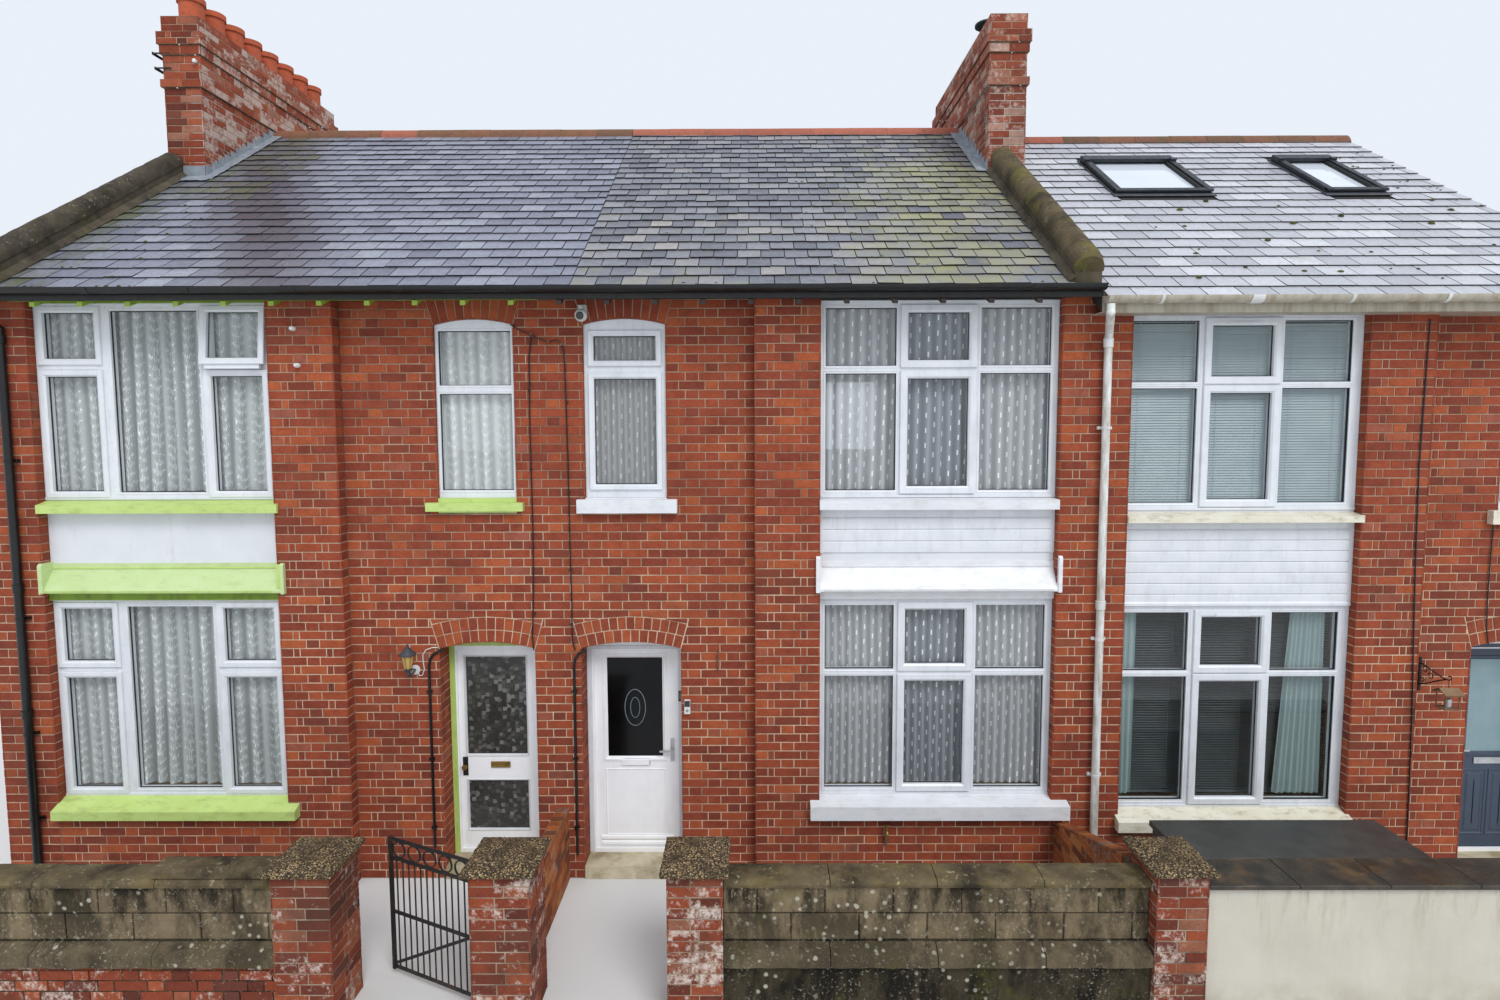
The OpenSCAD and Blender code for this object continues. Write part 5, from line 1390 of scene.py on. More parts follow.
def windows():
    G = Geo()
    yf = -0.03
    for h in range(3):
        for s in (0, 1):
            for (k, part, x0, x1, z0, z1) in bay_panes(h, s):
                opening = (h == 0 and k != 1) or (h > 0 and k == 1)
                if opening:
                    # sash members fill the space to the mullions and transom
                    w = 0.056 if h == 0 else 0.066
                    zc0, zc1 = z0, z1
                    if h == 0:
                        z0, z1 = (z0 + 0.010, z1 - 0.004) if part == 1 else (z0 + 0.086, z1 - 0.016)
                    elif h == 1:
                        z0, z1 = (z0 + 0.036, z1 - 0.046) if part == 1 else (z0 + 0.048, z1 - 0.040)
                    else:
                        z0, z1 = (z0 + 0.030, z1 - 0.043) if part == 1 else (z0 + 0.048, z1 - 0.042)
                    n0 = len(G.v)
                    sash(G, x0, x1, z0, z1, yf, w=w, t=0.020)
                    if z0 - zc0 > w - 0.012:
                        G.box(x0 - 0.012, x1 + 0.012, yf - 0.004, yf + 0.034, zc0 - 0.008, z0 - w + 0.012, 0)
                    if (h, s, k, part) == (0, 1, 2, 2):
                        # this top light stands a little open at its foot
                        G.v[n0:] = [(vx, vy - (0.004 + 0.055 * (z1 + w - vz) / (z1 - z0 + 2 * w)), vz) for (vx, vy, vz) in G.v[n0:]]
                        G.add([(x0 - 0.005, -0.034 - 0.050, z0 - 0.005), (x1 + 0.005, -0.034 - 0.050, z0 - 0.005), (x1 + 0.005, -0.038, z1 + 0.005), (x0 - 0.005, -0.038, z1 + 0.005)], [(0, 1, 2, 3)], 2)
                    if h == 2 and part == 2:
                        xm = (x0 + x1) / 2
                        G.box(xm - 0.15, xm + 0.15, yf - 0.03, yf - 0.016, z1 + 0.012, z1 + 0.028, 0)
                else:
                    bead(G, x0, x1, z0, z1, yf)
            # outer frame lip, drip groove and head trim
            xa, xb = BAY[h]
            d = DROP[h]
            r = ROWS[h][s]
            G.box(xa, xb, yf - 0.012, yf + 0.01, r[0] - d + 0.002, r[0] - d + 0.022, 0)
            G.box(xa, xb, yf - 0.008, yf + 0.01, r[1] - d - 0.016, r[1] - d - 0.001, 0)
            G.box(xa + 0.001, xa + 0.012, yf - 0.006, yf + 0.01, r[0] - d, r[1] - d, 0)
            G.box(xb - 0.012, xb - 0.001, yf - 0.006, yf + 0.01, r[0] - d, r[1] - d, 0)
    # small arched windows
    ys = SW_Y
    for h in range(3):
        x0, x1 = SWIN[h]
        d = DROP[h]
        e = 0.030 if h == 0 else 0.088
        zb, zm0, zm1, ztp = 3.544 + (0.070 if h == 0 else 0.120) - d, (4.476 if h == 0 else 4.604) - d, (4.550 if h == 0 else 4.764) - d, SZS - (0.051 if h == 0 else 0.101) - d
        for (a, b) in ((zb, zm0), (zm1, ztp)):
            if h == 0:
                bead(G, x0 + e, x1 - e, a, b, ys, back=0.03)
            else:
                sash(G, x0 + e, x1 - e, a, b, ys, w=0.05, t=0.02, back=0.03)
    # rear windows
    R = Geo()
    for h in range(3):
        for (u0, u1, z0, z1) in ((2.5, 4.0, .95, 2.3), (.6, 1.35, 1.25, 2.3), (2.5, 4.0, 3.65, 4.95), (.6, 1.35, 3.85, 4.95)):
            xa, xb = (X_AB - u1, X_AB - u0) if h == 0 else (X_AB + u0, X_AB + u1) if h == 1 else (X_CD - u1, X_CD - u0)
            n = 2 if u1 - u0 > 1 else 1
            for k in range(n):
                a = u0 + 0.06 + k * (u1 - u0 - 0.06) / n
                b = a + (u1 - u0 - 0.06) / n - 0.06
                p, q = (X_AB - b, X_AB - a) if h == 0 else (X_AB + a, X_AB + b) if h == 1 else (X_CD - b, X_CD - a)
                # mirrored profile for a window that faces +Y
                w, t, y0 = 0.04, 0.014, DEPTH - 0.10
                prof = [(w, y0 - 0.001), (w, y0 + t * 0.7), (w - 0.005, y0 + t), (0.014, y0 + t), (0.0, y0 + t - 0.01), (0.0, y0 - 0.03)]
                R.ring(p, q, z0 + 0.06, z1 - 0.06, prof, 0, flip=True)
    G.make("sashes_and_beads", [UPVC, RUBBER, GLASS], slot="white_plastic", smooth=False)
    R.make("rear_sashes", [UPVC], slot="white_plastic")


# ---------------------------------------------------------------- cloth and blinds behind the glass
def curtain(name, x0, x1, z0, z1, y, mat, fold=0.085, amp=0.016, seed=1, shape=None, slack=1.18, hem=True):
    """A hung, gathered sheet. shape(x01, z01) moves it in x, for a tied or slipped edge."""
    R = random.Random(seed)
    nx = max(12, int((x1 - x0) / 0.010))
    nz = max(8, int((z1 - z0) / 0.09))
    ph = [R.uniform(0, 6.28) for _ in range(4)]
    vs, cl = [], []
    rows_w = 0.0
    for j in range(nz + 1):
        v = j / nz
        z = z0 + (z1 - z0) * v
        run = 0.0
        prev = None
        for i in range(nx + 1):
            u = i / nx
            x = x0 + (x1 - x0) * u
            wob = 0.25 * math.sin(u * 9 + ph[0]) + 0.2 * math.sin(v * 3 + u * 5 + ph[1])
            f = math.sin(2 * math.pi * (x - x0) / fold + wob * 1.6 + 0.5 * math.sin(v * 2.2 + ph[2]))
            g = math.sin(2 * math.pi * (x - x0) / (fold * 2.7) + ph[3])
            yy = y + amp * (0.75 * f + 0.35 * g) * (0.55 + 0.45 * (1 - v))
            xx = x
            if shape:
                xx = x0 + (x1 - x0) * shape(u, v)
            p = (xx, yy, z)
            if prev is not None:
                run += math.hypot(p[0] - prev[0], p[1] - prev[1])
            prev = p
            vs.append(p)
            cl.append((run, z, -f))
        rows_w = max(rows_w, run)
    fs = [(j * (nx + 1) + i, j * (nx + 1) + i + 1, (j + 1) * (nx + 1) + i + 1, (j + 1) * (nx + 1) + i) for j in range(nz) for i in range(nx)]
    G = Geo()
    G.add(vs, fs)
    o = G.make(name, mat, smooth=True)
    at = o.data.attributes.new("cloth", "FLOAT_VECTOR", "POINT")
    at.data.foreach_set("vector", np.array(cl, np.float32).ravel())
    ar = sum(p.area for p in o.data.polygons)
    flat_w = max(ar / (z1 - z0), 0.02)
    SHEETS.append((name, round(flat_w, 3), round(z1 - z0, 3)))
    return o


SHEETS = []


def blinds(name, x0, x1, z0, z1, y, pitch=0.0235, slat=0.025, ang=55, skip=None, mat=None):
    G = Geo()
    n = int((z1 - z0) / pitch)
    ca, sa = math.cos(math.radians(ang)), math.sin(math.radians(ang))
    for k in range(n):
        z = z0 + 0.012 + k * pitch + RND.uniform(-0.0008, 0.0008)
        tone = (RND.random(), 0, 0)
        q = []
        for t in (-0.5, 0.0, 0.5):
            yy, zz = y + t * slat * ca, z + t * slat * sa + (0.0022 if t == 0 else 0)
            q.append((yy, zz))
        vs = [(x0, q[0][0], q[0][1]), (x1, q[0][0], q[0][1]), (x1, q[1][0], q[1][1]), (x0, q[1][0], q[1][1]), (x1, q[2][0], q[2][1]), (x0, q[2][0], q[2][1])]
        vs += [(a, b, cc - 0.0006) for (a, b, cc) in vs]
        G.add(vs, [(0, 1, 2, 3), (3, 2, 4, 5), (7, 6, 9, 8), (8, 9, 11, 10), (6, 7, 1, 0), (5, 4, 10, 11)], 0, tone)
    G.box(x0, x1, y - 0.014, y + 0.014, z1 - 0.004, z1 + 0.022)
    for f in (0.18, 0.82):
        xx = x0 + (x1 - x0) * f
        G.box(xx - 0.0012, xx + 0.0012, y - 0.015, y - 0.0135, z0 + 0.01, z1)
    G.box(x0, x1, y - 0.013, y + 0.013, z0 - 0.004, z0 + 0.008)
    G.make(name, mat or BLIND, slot="white_plastic")


def inside_windows():
    for s, tag in ((0, "low"), (1, "up")):
        r = ROWS[0][s]
        # left house: leaf-patterned nets over each light, a slack lining at the right
        xa, xb = BAY[0]
        curtain("net_a_%s_left" % tag, xa + 0.004, xa + 0.60, r[0] + 0.068, r[1] - 0.03, 0.068, NET_A, fold=0.10, amp=0.012, seed=21 + s)
        curtain("net_a_%s_middle" % tag, xa + 0.600, xa + 1.475, r[0] + 0.068, r[1] - 0.03, 0.076, NET_A, fold=0.115, amp=0.026, seed=31 + s)
        if s == 0:
            curtain("net_a_low_right", xa + 1.478, xb - 0.02, r[0] + 0.068, r[1] - 0.03, 0.068, NET_A, fold=0.12, amp=0.012, seed=41)
            curtain("lining_a_low", xa + 1.74, xb - 0.02, r[0] + 0.30, r[1] - 0.03, 0.135, CURTAIN_A, fold=0.13, amp=0.012, seed=43,
                    shape=lambda u, v: u + (1 - u) * 0.55 * (1 - v))
        else:
            curtain("net_a_up_right", xa + 1.478, xb - 0.02, r[0] + 0.068, r[1] - 0.03, 0.068, NET_A, fold=0.12, amp=0.012, seed=42)
            curtain("lining_a_up", xa + 1.68, xb - 0.02, r[0] + 0.06, r[1] - 0.2, 0.135, CURTAIN_A, fold=0.15, amp=0.016, seed=44,
                    shape=lambda u, v: u + (1 - u) * 0.16 * (1 - v))
            curtain("lining_a_up_left", xa + 0.10, xa + 0.62, r[0] + 0.06, r[1] - 0.25, 0.135, CURTAIN_A, fold=0.15, amp=0.014, seed=45,
                    shape=lambda u, v: u + (1 - u) * 0.22 * (1 - v))
        # middle house: nets with stitched dashes, the middle light's in a darker copy as painted shade
        xa, xb = BAY[1]
        for k, (p, q) in enumerate(((0.02, 0.70), (0.70, 1.36), (1.36, xb - xa - 0.02))):
            curtain("net_b_%s_%d" % (tag, k), xa + p, xa + q, r[0] + 0.066, r[1] - 0.03, 0.074, NET_B_SHADE if k == 1 else NET_B, fold=0.095 if s else 0.07, amp=0.020, seed=50 + 3 * s + k)
    curtain("net_a_small", SWIN[0][0] + 0.03, SWIN[0][1] - 0.03, 3.59, 5.07, 0.11, NET_AS, fold=0.10, amp=0.014, seed=61)
    curtain("net_b_small", SWIN[1][0] + 0.06, SWIN[1][1] - 0.06, 3.62, 5.02, 0.11, NET_BS, fold=0.05, amp=0.012, seed=62)
    curtain("net_c_small", SWIN[2][0] + 0.06, SWIN[2][1] - 0.06, 3.50, 4.90, 0.11, CURTAIN_C, fold=0.08, amp=0.014, seed=63)
    xa, xb = BAY[2]
    w = xb - xa
    for k, (p, q, *_z) in enumerate(COLS[2]):
        d = 0.12
        blinds("blind_c_up_%d" % k, xa + p * w - 0.012, xa + q * w + 0.012, ROWS[2][1][0] + 0.068 - d, ROWS[2][1][1] - 0.06 - d, 0.036, ang=66)
        # the lower blinds take the darker slats of painted shade
        blinds("blind_c_low_%d" % k, xa + p * w - 0.05, xa + q * w + 0.05, ROWS[2][0][0] + 0.068 - d, ROWS[2][0][1] - 0.06 - d, 0.135, ang=8, mat=BLIND_SHADE)
    curtain("curtain_c_left", xa + 0.02, xa + 0.20, ROWS[2][0][0] - 0.04, ROWS[2][0][1] - 0.16, 0.078, CURTAIN_C, fold=0.05, amp=0.018, seed=71)
    curtain("curtain_c_right", xb - 0.54, xb - 0.10, ROWS[2][0][0] - 0.04, ROWS[2][0][1] - 0.16, 0.078, CURTAIN_C, fold=0.055, amp=0.02, seed=72,
            shape=lambda u, v: u * (1 - 0.30 * v) + 0.24 * v)


# ---------------------------------------------------------------- trim, boards, canopies
def trim():
    G = Geo()
    # tongued boards under the upper windows of the middle and right houses
    for h in (1, 2):
        xa, xb = BAY[h]
        d = DROP[h]
        z0 = (3.05 if h == 1 else ROWS[2][0][1] - d + 0.01)
        z1 = WUB - d - 0.075
        n = int(round((z1 - z0) / 0.1))
        bh = (z1 - z0) / n
        for k in range(n):
            a, b = z0 + k * bh, z0 + (k + 1) * bh
            G.prism(xa + 0.012, xb - 0.012, [(-0.031, a + 0.002), (-0.040, a + 0.004), (-0.042, a + bh * 0.45), (-0.042, b - 0.012), (-0.037, b - 0.007), (-0.037, b - 0.001), (-0.031, b - 0.0005)], 0)
        G.prism(xa + 0.001, xa + 0.03, [(-0.031, z0), (-0.048, z0), (-0.048, z1), (-0.031, z1)], 0)
        G.prism(xb - 0.03, xb - 0.001, [(-0.031, z0), (-0.048, z0), (-0.048, z1), (-0.031, z1)], 0)
        if h == 2:
            G.prism(xa + 0.001, xb - 0.001, [(-0.031, z0 - 0.006), (-0.054, z0 - 0.006), (-0.054, z0 + 0.016), (-0.042, z0 + 0.03), (-0.031, z0 + 0.03)], 0)
    G.make("front_boards", UPVC, slot="white_board", bevel=0.0)
    # head boards over the upper windows and the eave soffits; the left house's in the darker lime of painted shade
    T = Geo()
    mats = [LIME_SHADE, BLACK_WOOD, UPVC]
    for h in range(3):
        xa, xb = BAY[h]
        d = DROP[h]
        T.prism(xa + 0.003, xb - 0.003, [(-0.061, WUT - d + 0.002), (-0.074, WUT - d + 0.006), (-0.074, WUT - d + 0.07), (-0.061, WUT - d + 0.075)], h if h < 2 else 2)
        T.prism(xa + 0.003, xb - 0.003, [(-0.061, WUT - d + 0.073), (-0.066, WUT - d + 0.076), (-0.066, zu(-0.066, d) - 0.004), (-0.061, zu(-0.061, d) - 0.004)], h if h < 2 else 2)
    # soffit boards on the underside of the open eaves, the left one in the darker lime of painted shade
    for (x0, x1, m) in ((X_LI, X_AB, 0), (X_AB, X_PL, 1)):
        T.prism(x0 + 0.004, x1 - 0.002, [(YE + 0.015, zu(YE + 0.015) - 0.001), (YE + 0.015, zu(YE + 0.015) - 0.013), (-0.122, zu(-0.122) - 0.013), (-0.122, zu(-0.122) - 0.001)], m)
    for (x0, x1, m) in ((X_LO, X_AB, 1), (X_AB, X_PR, 1)):
        T.prism(x0, x1, [(YE - 0.0005, 5.256), (YE - 0.010, 5.256), (YE - 0.010, 5.300), (YE - 0.0005, 5.300)], m)
    T.make("head_and_soffit_boards", mats, slot="dark_wood")
    # drip teeth under the canopies' front edges and their worn top bead
    C = Geo()
    for h in (0, 1):
        xa, xb = BAY[h]
        n = 104
        for k in range(n):
            x = xa + 0.03 + (xb - xa - 0.06) * (k + 0.5) / n
            C.prism(x - 0.0045, x + 0.0045, [(-0.1475, 2.743), (-0.153, 2.743), (-0.153, 2.730), (-0.149, 2.722), (-0.1475, 2.724)], h)
        C.prism(xa + 0.03, xb - 0.03, [(-0.0425, 2.926), (-0.048, 2.924), (-0.048, 2.934), (-0.0425, 2.938)], h)
    # left canopy: board under its lip in the darker lime of painted shade, and the block that closes its right end
    xa, xb = BAY[0]
    C.box(xa + 0.004, xb - 0.004, -0.077, -0.0705, 2.646, 2.703, 2)
    C.prism(xb + 0.001, xb + 0.044, [(-0.1205, 2.790), (-0.143, 2.760), (-0.139, 2.800), (-0.128, 2.974), (-0.1205, 2.974)], 0)
    C.make("canopy_drips", [LIME, WHITE_PAINT, LIME_SHADE], slot="painted_sill")
    return


def doors():
    # left door: white leaf, two patterned panes, brass plate, dark lock
    G = Geo()
    y0 = 0.255
    for (z0, z1) in ((1.068, 2.025), (0.335, 0.822)):
        a, b = X_AB - 0.909, X_AB - 0.328
        G.ring(a, b, z0, z1, [(0.012, y0 + 0.001), (0.010, y0 - 0.006), (0.002, y0 - 0.006), (-0.008, y0 + 0.010), (-0.008, y0 + 0.016)], 0)
    G.make("door_a_beads", [WHITE_PAINT], body="door_a", slot="white_board")
    F = Geo()
    xm = X_AB - 0.59
    F.ring(xm - 0.075, xm + 0.075, 0.965, 0.99, [(0.018, y0 - 0.0075), (0.016, y0 - 0.011), (0.004, y0 - 0.012), (0.0, y0 - 0.009), (0.0, y0 - 0.0085)], 0)
    F.box(xm - 0.075, xm + 0.075, y0 - 0.010, y0 - 0.008, 0.965, 0.99, 0)
    xl = X_AB - 0.925
    F.box(xl - 0.024, xl + 0.024, y0 - 0.008, y0 + 0.0, 0.87, 1.05, 1)
    F.lathe([(0.010, -(y0 - 0.006)), (0.010, -(y0 - 0.034)), (0.024, -(y0 - 0.036)), (0.026, -(y0 - 0.046)), (0.020, -(y0 - 0.054))], xl, 0.985, 16, 1, axis="y") if False else None
    F.make("door_a_furniture", [BRASS, IRON], body="door_a", slot="brass", bevel=0.0008)
    # frame edges of the left door painted lime
    E = Geo()
    xa, xb = DOOR[0]
    E.prism(xa + 0.001, xa + 0.05, [(0.229, 0.121), (0.222, 0.121), (0.222, DZS - 0.002), (0.229, DZS - 0.002)], 0)
    n = 12
    rise, w = DRISE, xb - xa
    r = (w * w / 4 + rise * rise) / (2 * rise)
    xc, zc = (xa + xb) / 2, DZS + rise - r
    for i in range(n):
        u0, u1 = xa + 0.002 + (w - 0.004) * i / n, xa + 0.002 + (w - 0.004) * (i + 1) / n
        t0, t1 = zc + math.sqrt(max(0, r * r - (u0 - xc) ** 2)) - 0.002, zc + math.sqrt(max(0, r * r - (u1 - xc) ** 2)) - 0.002
        zq = 2.135
        E.add([(u0, 0.222, zq), (u1, 0.222, zq), (u1, 0.222, t1), (u0, 0.222, t0), (u0, 0.229, zq), (u1, 0.229, zq), (u1, 0.229, t1), (u0, 0.229, t0)],
              [(0, 1, 2, 3), (4, 5, 1, 0), (2, 6, 7, 3)], 0)
    E.make("door_a_frame_paint", [LIME], slot="painted_sill")
    # middle door: moulded white leaf
    B = Geo()
    a, b = X_AB + 0.424, X_AB + 0.964
    B.ring(a, b, 1.041, 2.018, [(0.030, y0 + 0.001), (0.028, y0 - 0.008), (0.012, y0 - 0.010), (0.0, y0 + 0.002), (-0.010, y0 + 0.010), (-0.010, y0 + 0.016)], 0)
    B.ring(a - 0.005, b + 0.005, 0.290, 0.925, [(0.010, y0 + 0.001), (0.008, y0 - 0.004), (0.002, y0 - 0.005), (-0.006, y0 - 0.001), (-0.006, y0 + 0.0005)], 0)
    for z in (0.262, 0.205):
        B.prism(X_AB + 0.36, X_AB + 1.05, [(y0 + 0.001, z - 0.018), (y0 - 0.016, z - 0.014), (y0 - 0.012, z + 0.010), (y0 + 0.001, z + 0.020)], 0)
    xm = (a + b) / 2
    B.prism(xm - 0.13, xm + 0.13, [(y0 - 0.008, 0.968), (y0 - 0.015, 0.972), (y0 - 0.016, 1.026), (y0 - 0.008, 1.032)], 0)
    # a plain pair of etched ovals on the glass
    yo = 0.2706
    for (rx, rz, wd) in ((0.100, 0.178, 0.0055), (0.046, 0.100, 0.0045)):
        n = 56
        for k in range(n):
            t0, t1 = 2 * math.pi * k / n, 2 * math.pi * (k + 1) / n
            q = []
            for (t, e) in ((t0, 0), (t1, 0), (t1, wd), (t0, wd)):
                q.append((xm + (rx - e) * math.cos(t), 1.523 + (rz - e) * math.sin(t)))
            vs = [(x, yo - 0.0022, z) for (x, z) in q] + [(x, yo, z) for (x, z) in q]
            B.add(vs, [(0, 1, 2, 3), (4, 5, 1, 0), (6, 7, 3, 2)], 1)
    B.make("door_b_mouldings", [DOOR_WHITE, ETCH], body="door_b", slot="white_plastic")
    # right door: blue leaf with a glazed light and raised panels
    Cc = Geo()
    a, b = X_CD - 0.96, X_CD - 0.52
    Cc.ring(a, b, 1.08, 1.985, [(0.030, y0 + 0.001), (0.027, y0 - 0.009), (0.010, y0 - 0.010), (0.0, y0 + 0.002), (-0.008, y0 + 0.010), (-0.008, y0 + 0.016)], 0)
    for (p, q) in ((a, (a + b) / 2 - 0.03), ((a + b) / 2 + 0.03, b)):
        Cc.ring(p, q, 0.30, 0.90, [(0.026, y0 + 0.001), (0.020, y0 - 0.006), (0.006, y0 - 0.006), (0.0, y0 - 0.001), (-0.016, y0 - 0.001), (-0.030, y0 - 0.007), (-0.09, y0 - 0.007)], 0)
    Cc.make("door_c_mouldings", [BLUE_DOOR], body="door_c", slot="blue_door")
    # frame profiles of the two moulded frames
    Fm = Geo()
    for h in (1, 2):
        xa, xb = DOOR[h]
        for (p, q) in ((xa + 0.004, xa + 0.050), (xb - 0.050, xb - 0.004)):
            Fm.prism(p, q, [(0.231, 0.13), (0.224, 0.13), (0.224, 2.10), (0.231, 2.10)], 0 if h == 1 else 1)
        Fm.prism(xa + 0.004, xb - 0.004, [(0.231, 2.10), (0.224, 2.10), (0.224, 2.135), (0.231, 2.135)], 0 if h == 1 else 1)
    Fm.make("door_frame_mouldings", [UPVC, BLUE_DOOR], slot="white_plastic", bevel=0.002)


# ---------------------------------------------------------------- garden
def blocks(a, b, k):
    x = a - (0.24 if k % 2 else 0.0)
    while x < b:
        p, q = max(x, a), min(x + 0.47, b)
        if b - q < 0.06:
            q = b
        if q - p > 0.05:
            yield p, q
        x += 0.48
        if q == b:
            break


def garden():
    G = Geo()
    pb, pf = -1.4, -1.8
    piers = [(-3.33, -2.92), (-1.96, -1.535), (-0.59, -0.20), (2.79, 3.15)]
    for i, (a, b) in enumerate(piers):
        st = (lambda w: (lambda u, v: (RND.random(), RND.random(), RND.random() * w)))([0.35, 0.7, 1.3, 1.1][i])
        front(G, pf, a, b, 0, 1.108, style=st)
        back(G, pb, a, b, 0, 1.108, style=st)
        left(G, a, pf, pb, 0, 1.108, style=st)
        right(G, b, pf, pb, 0, 1.108, style=st)
    G.make("pier_bricks", BRICK_OLD, slot="brick_old")
    # sloping dividing walls
    D = Geo()
    xd = -1.8
    k = (0.700 - 0.680) / 1.4
    for fn, x in ((left, xd), (right, xd + 0.112)):
        sgn = -1 if fn is left else 1
        fn(D, x, -1.4, 0, 0, 1.1, cuts=[(k * sgn, 1, 0.680 - 0.02)])
    xd = 2.73
    k2 = (1.04 - 0.60) / (1.4 - 0.12)
    for fn, x in ((left, xd), (right, xd + 0.112)):
        sgn = -1 if fn is left else 1
        fn(D, x, -1.4, -0.12, 0, 1.1, cuts=[(k2 * sgn, 1, 0.60 - 0.12 * k2 - 0.02)])
    D.make("divider_bricks", BRICK_ORANGE, slot="brick_old")
    T = Geo()
    for (x0, ya, za, yb, zb) in ((-1.8, -1.4, 0.700, 0.0, 0.680), (2.73, -1.4, 1.04, -0.12, 0.60)):
        n = int((yb - ya) / 0.08)
        for q in range(n):
            u0, u1 = ya + (yb - ya) * (q + 0.05) / n, ya + (yb - ya) * (q + 0.95) / n
            h0, h1 = za + (zb - za) * (q + 0.05) / n, za + (zb - za) * (q + 0.95) / n
            e = RND.uniform(0, 0.003)
            T.add([(x0 + 0.002, u0, h0 - 0.025), (x0 + 0.110, u0, h0 - 0.025), (x0 + 0.110, u1, h1 - 0.025), (x0 + 0.002, u1, h1 - 0.025),
                   (x0 + 0.004, u0 + .002, h0 - e), (x0 + 0.108, u0 + .002, h0 - e), (x0 + 0.108, u1 - .002, h1 - e), (x0 + 0.004, u1 - .002, h1 - e)],
                  [(4, 5, 6, 7), (0, 1, 5, 4), (1, 2, 6, 5), (2, 3, 7, 6), (3, 0, 4, 7)], 0, (RND.random(), RND.random(), RND.random()))
    T.make("divider_tops", BRICK_ORANGE, slot="brick_old")
    # block walls: two courses of split blocks on the front, brick base under the left wall
    W = Geo()
    y0 = -1.7
    for (a, b) in ((X_LO, -3.33), (-0.20, 2.79)):
        sub = Geo()
        brickwork(sub, (0, y0, 0), *FR, a, b, 0, 0.392, courses=0.196, laying=blocks, bev=0.006, jt=0.008)
        kk = len(W.v)
        W.v.extend((v[0], v[1], v[2] + 0.578) for v in sub.v)
        W.f.extend(tuple(q + kk for q in f) for f in sub.f)
        W.m.extend(sub.m)
        W.a.extend(sub.a)
        sub = Geo()
        brickwork(sub, (0, y0 + 0.2, 0), *BK, -b, -a, 0, 0.97, courses=0.196, laying=blocks, bev=0.006, jt=0.008)
        kk = len(W.v)
        W.v.extend(sub.v)
        W.f.extend(tuple(q + kk for q in f) for f in sub.f)
        W.m.extend(sub.m)
        W.a.extend(sub.a)
    W.make("garden_blocks", BLOCKS, slot="block_stone")
    Bb = Geo()
    front(Bb, y0 - 0.06, X_LO, -3.33, 0, 0.418, style=lambda u, v: (RND.random(), RND.random(), RND.random() * 0.9))
    Bb.make("garden_wall_base_bricks", BRICK_OLD, slot="brick_old")
    # worn plinth course and rounded coping
    P = Geo()
    for (a, b) in ((X_LO, -3.33), (-0.20, 2.79)):
        nseg = int((b - a) / 0.9) + 1
        for s_ in range(nseg):
            p, q = a + (b - a) * s_ / nseg, a + (b - a) * (s_ + 1) / nseg
            stone_run(P, p + 0.003, q - 0.003, [(y0 - 0.055, 0.422), (y0 - 0.100, 0.432), (y0 - 0.100, 0.520), (y0 - 0.05, 0.548), (y0 + 0.004, 0.574), (y0 + 0.004, 0.422)], 0, 0.008)
            ztop = 1.04
            stone_run(P, p + 0.003, q - 0.003, [(y0 - 0.035, ztop - 0.065), (y0 - 0.040, ztop - 0.040), (y0 - 0.022, ztop - 0.014), (y0 + 0.03, ztop - 0.003), (y0 + 0.10, ztop), (y0 + 0.16, ztop - 0.004), (y0 + 0.205, ztop - 0.014), (y0 + 0.215, ztop - 0.04), (y0 + 0.21, ztop - 0.065)], 1, 0.009)
    # raised end of the left wall beside its pier
    x0, x1 = -4.23, -3.33
    stone_run(P, x0, x1, [(-1.72, 1.035), (-1.72, 1.085), (-1.70, 1.104), (-1.60, 1.108), (-1.53, 1.104), (-1.51, 1.085), (-1.51, 1.035)], 1, 0.010)
    P.make("garden_copings", [BLOCK_MID, BLOCK_TOP], slot="block_stone", rep=("garden_walls",), smooth=45)
    # core behind the blocks and foot under the plinth: a plain body, near black as painted shade
    K = Geo()
    for (a, b) in ((X_LO, -3.33), (-0.20, 2.79)):
        K.box(a + 0.001, b - 0.001, y0 + 0.006, y0 + 0.194, 0, 0.98)
        K.box(a + 0.001, b - 0.001, y0 - 0.054, y0 + 0.05, 0, 0.425, 1 if a > -1 else 0)
    K.make("garden_wall_cores", [BLOCK_FOOT_SHADE, BLOCK_FOOT_SHADE], slot="block_stone")
    # pier caps: shallow pyramids of exposed pebbles
    C = Geo()
    for i, (a, b) in enumerate(piers):
        m, w = (a + b) / 2, (b - a) / 2 + 0.046
        cap_mesh(C, m, -1.6, w, 0.248, 1.110, 1.150, 1.203, i)
    C.make("pier_cap_stones", PEBBLE, slot="concrete", rep=("pier_caps",), smooth=50)
    # slabs along the rendered wall
    S = Geo()
    x = 3.152
    while x < 6.515:
        b = min(x + 0.62, 6.518)
        S.box(x + 0.001, b - 0.003, -1.798, -1.452, 1.001, 1.034 - RND.uniform(0, 0.002), 0, (RND.random(), 0, 0))
        x = b
    S.make("slab_stones", SLAB, slot="dark_slab", rep=("wall_slabs",), bevel=0.003)


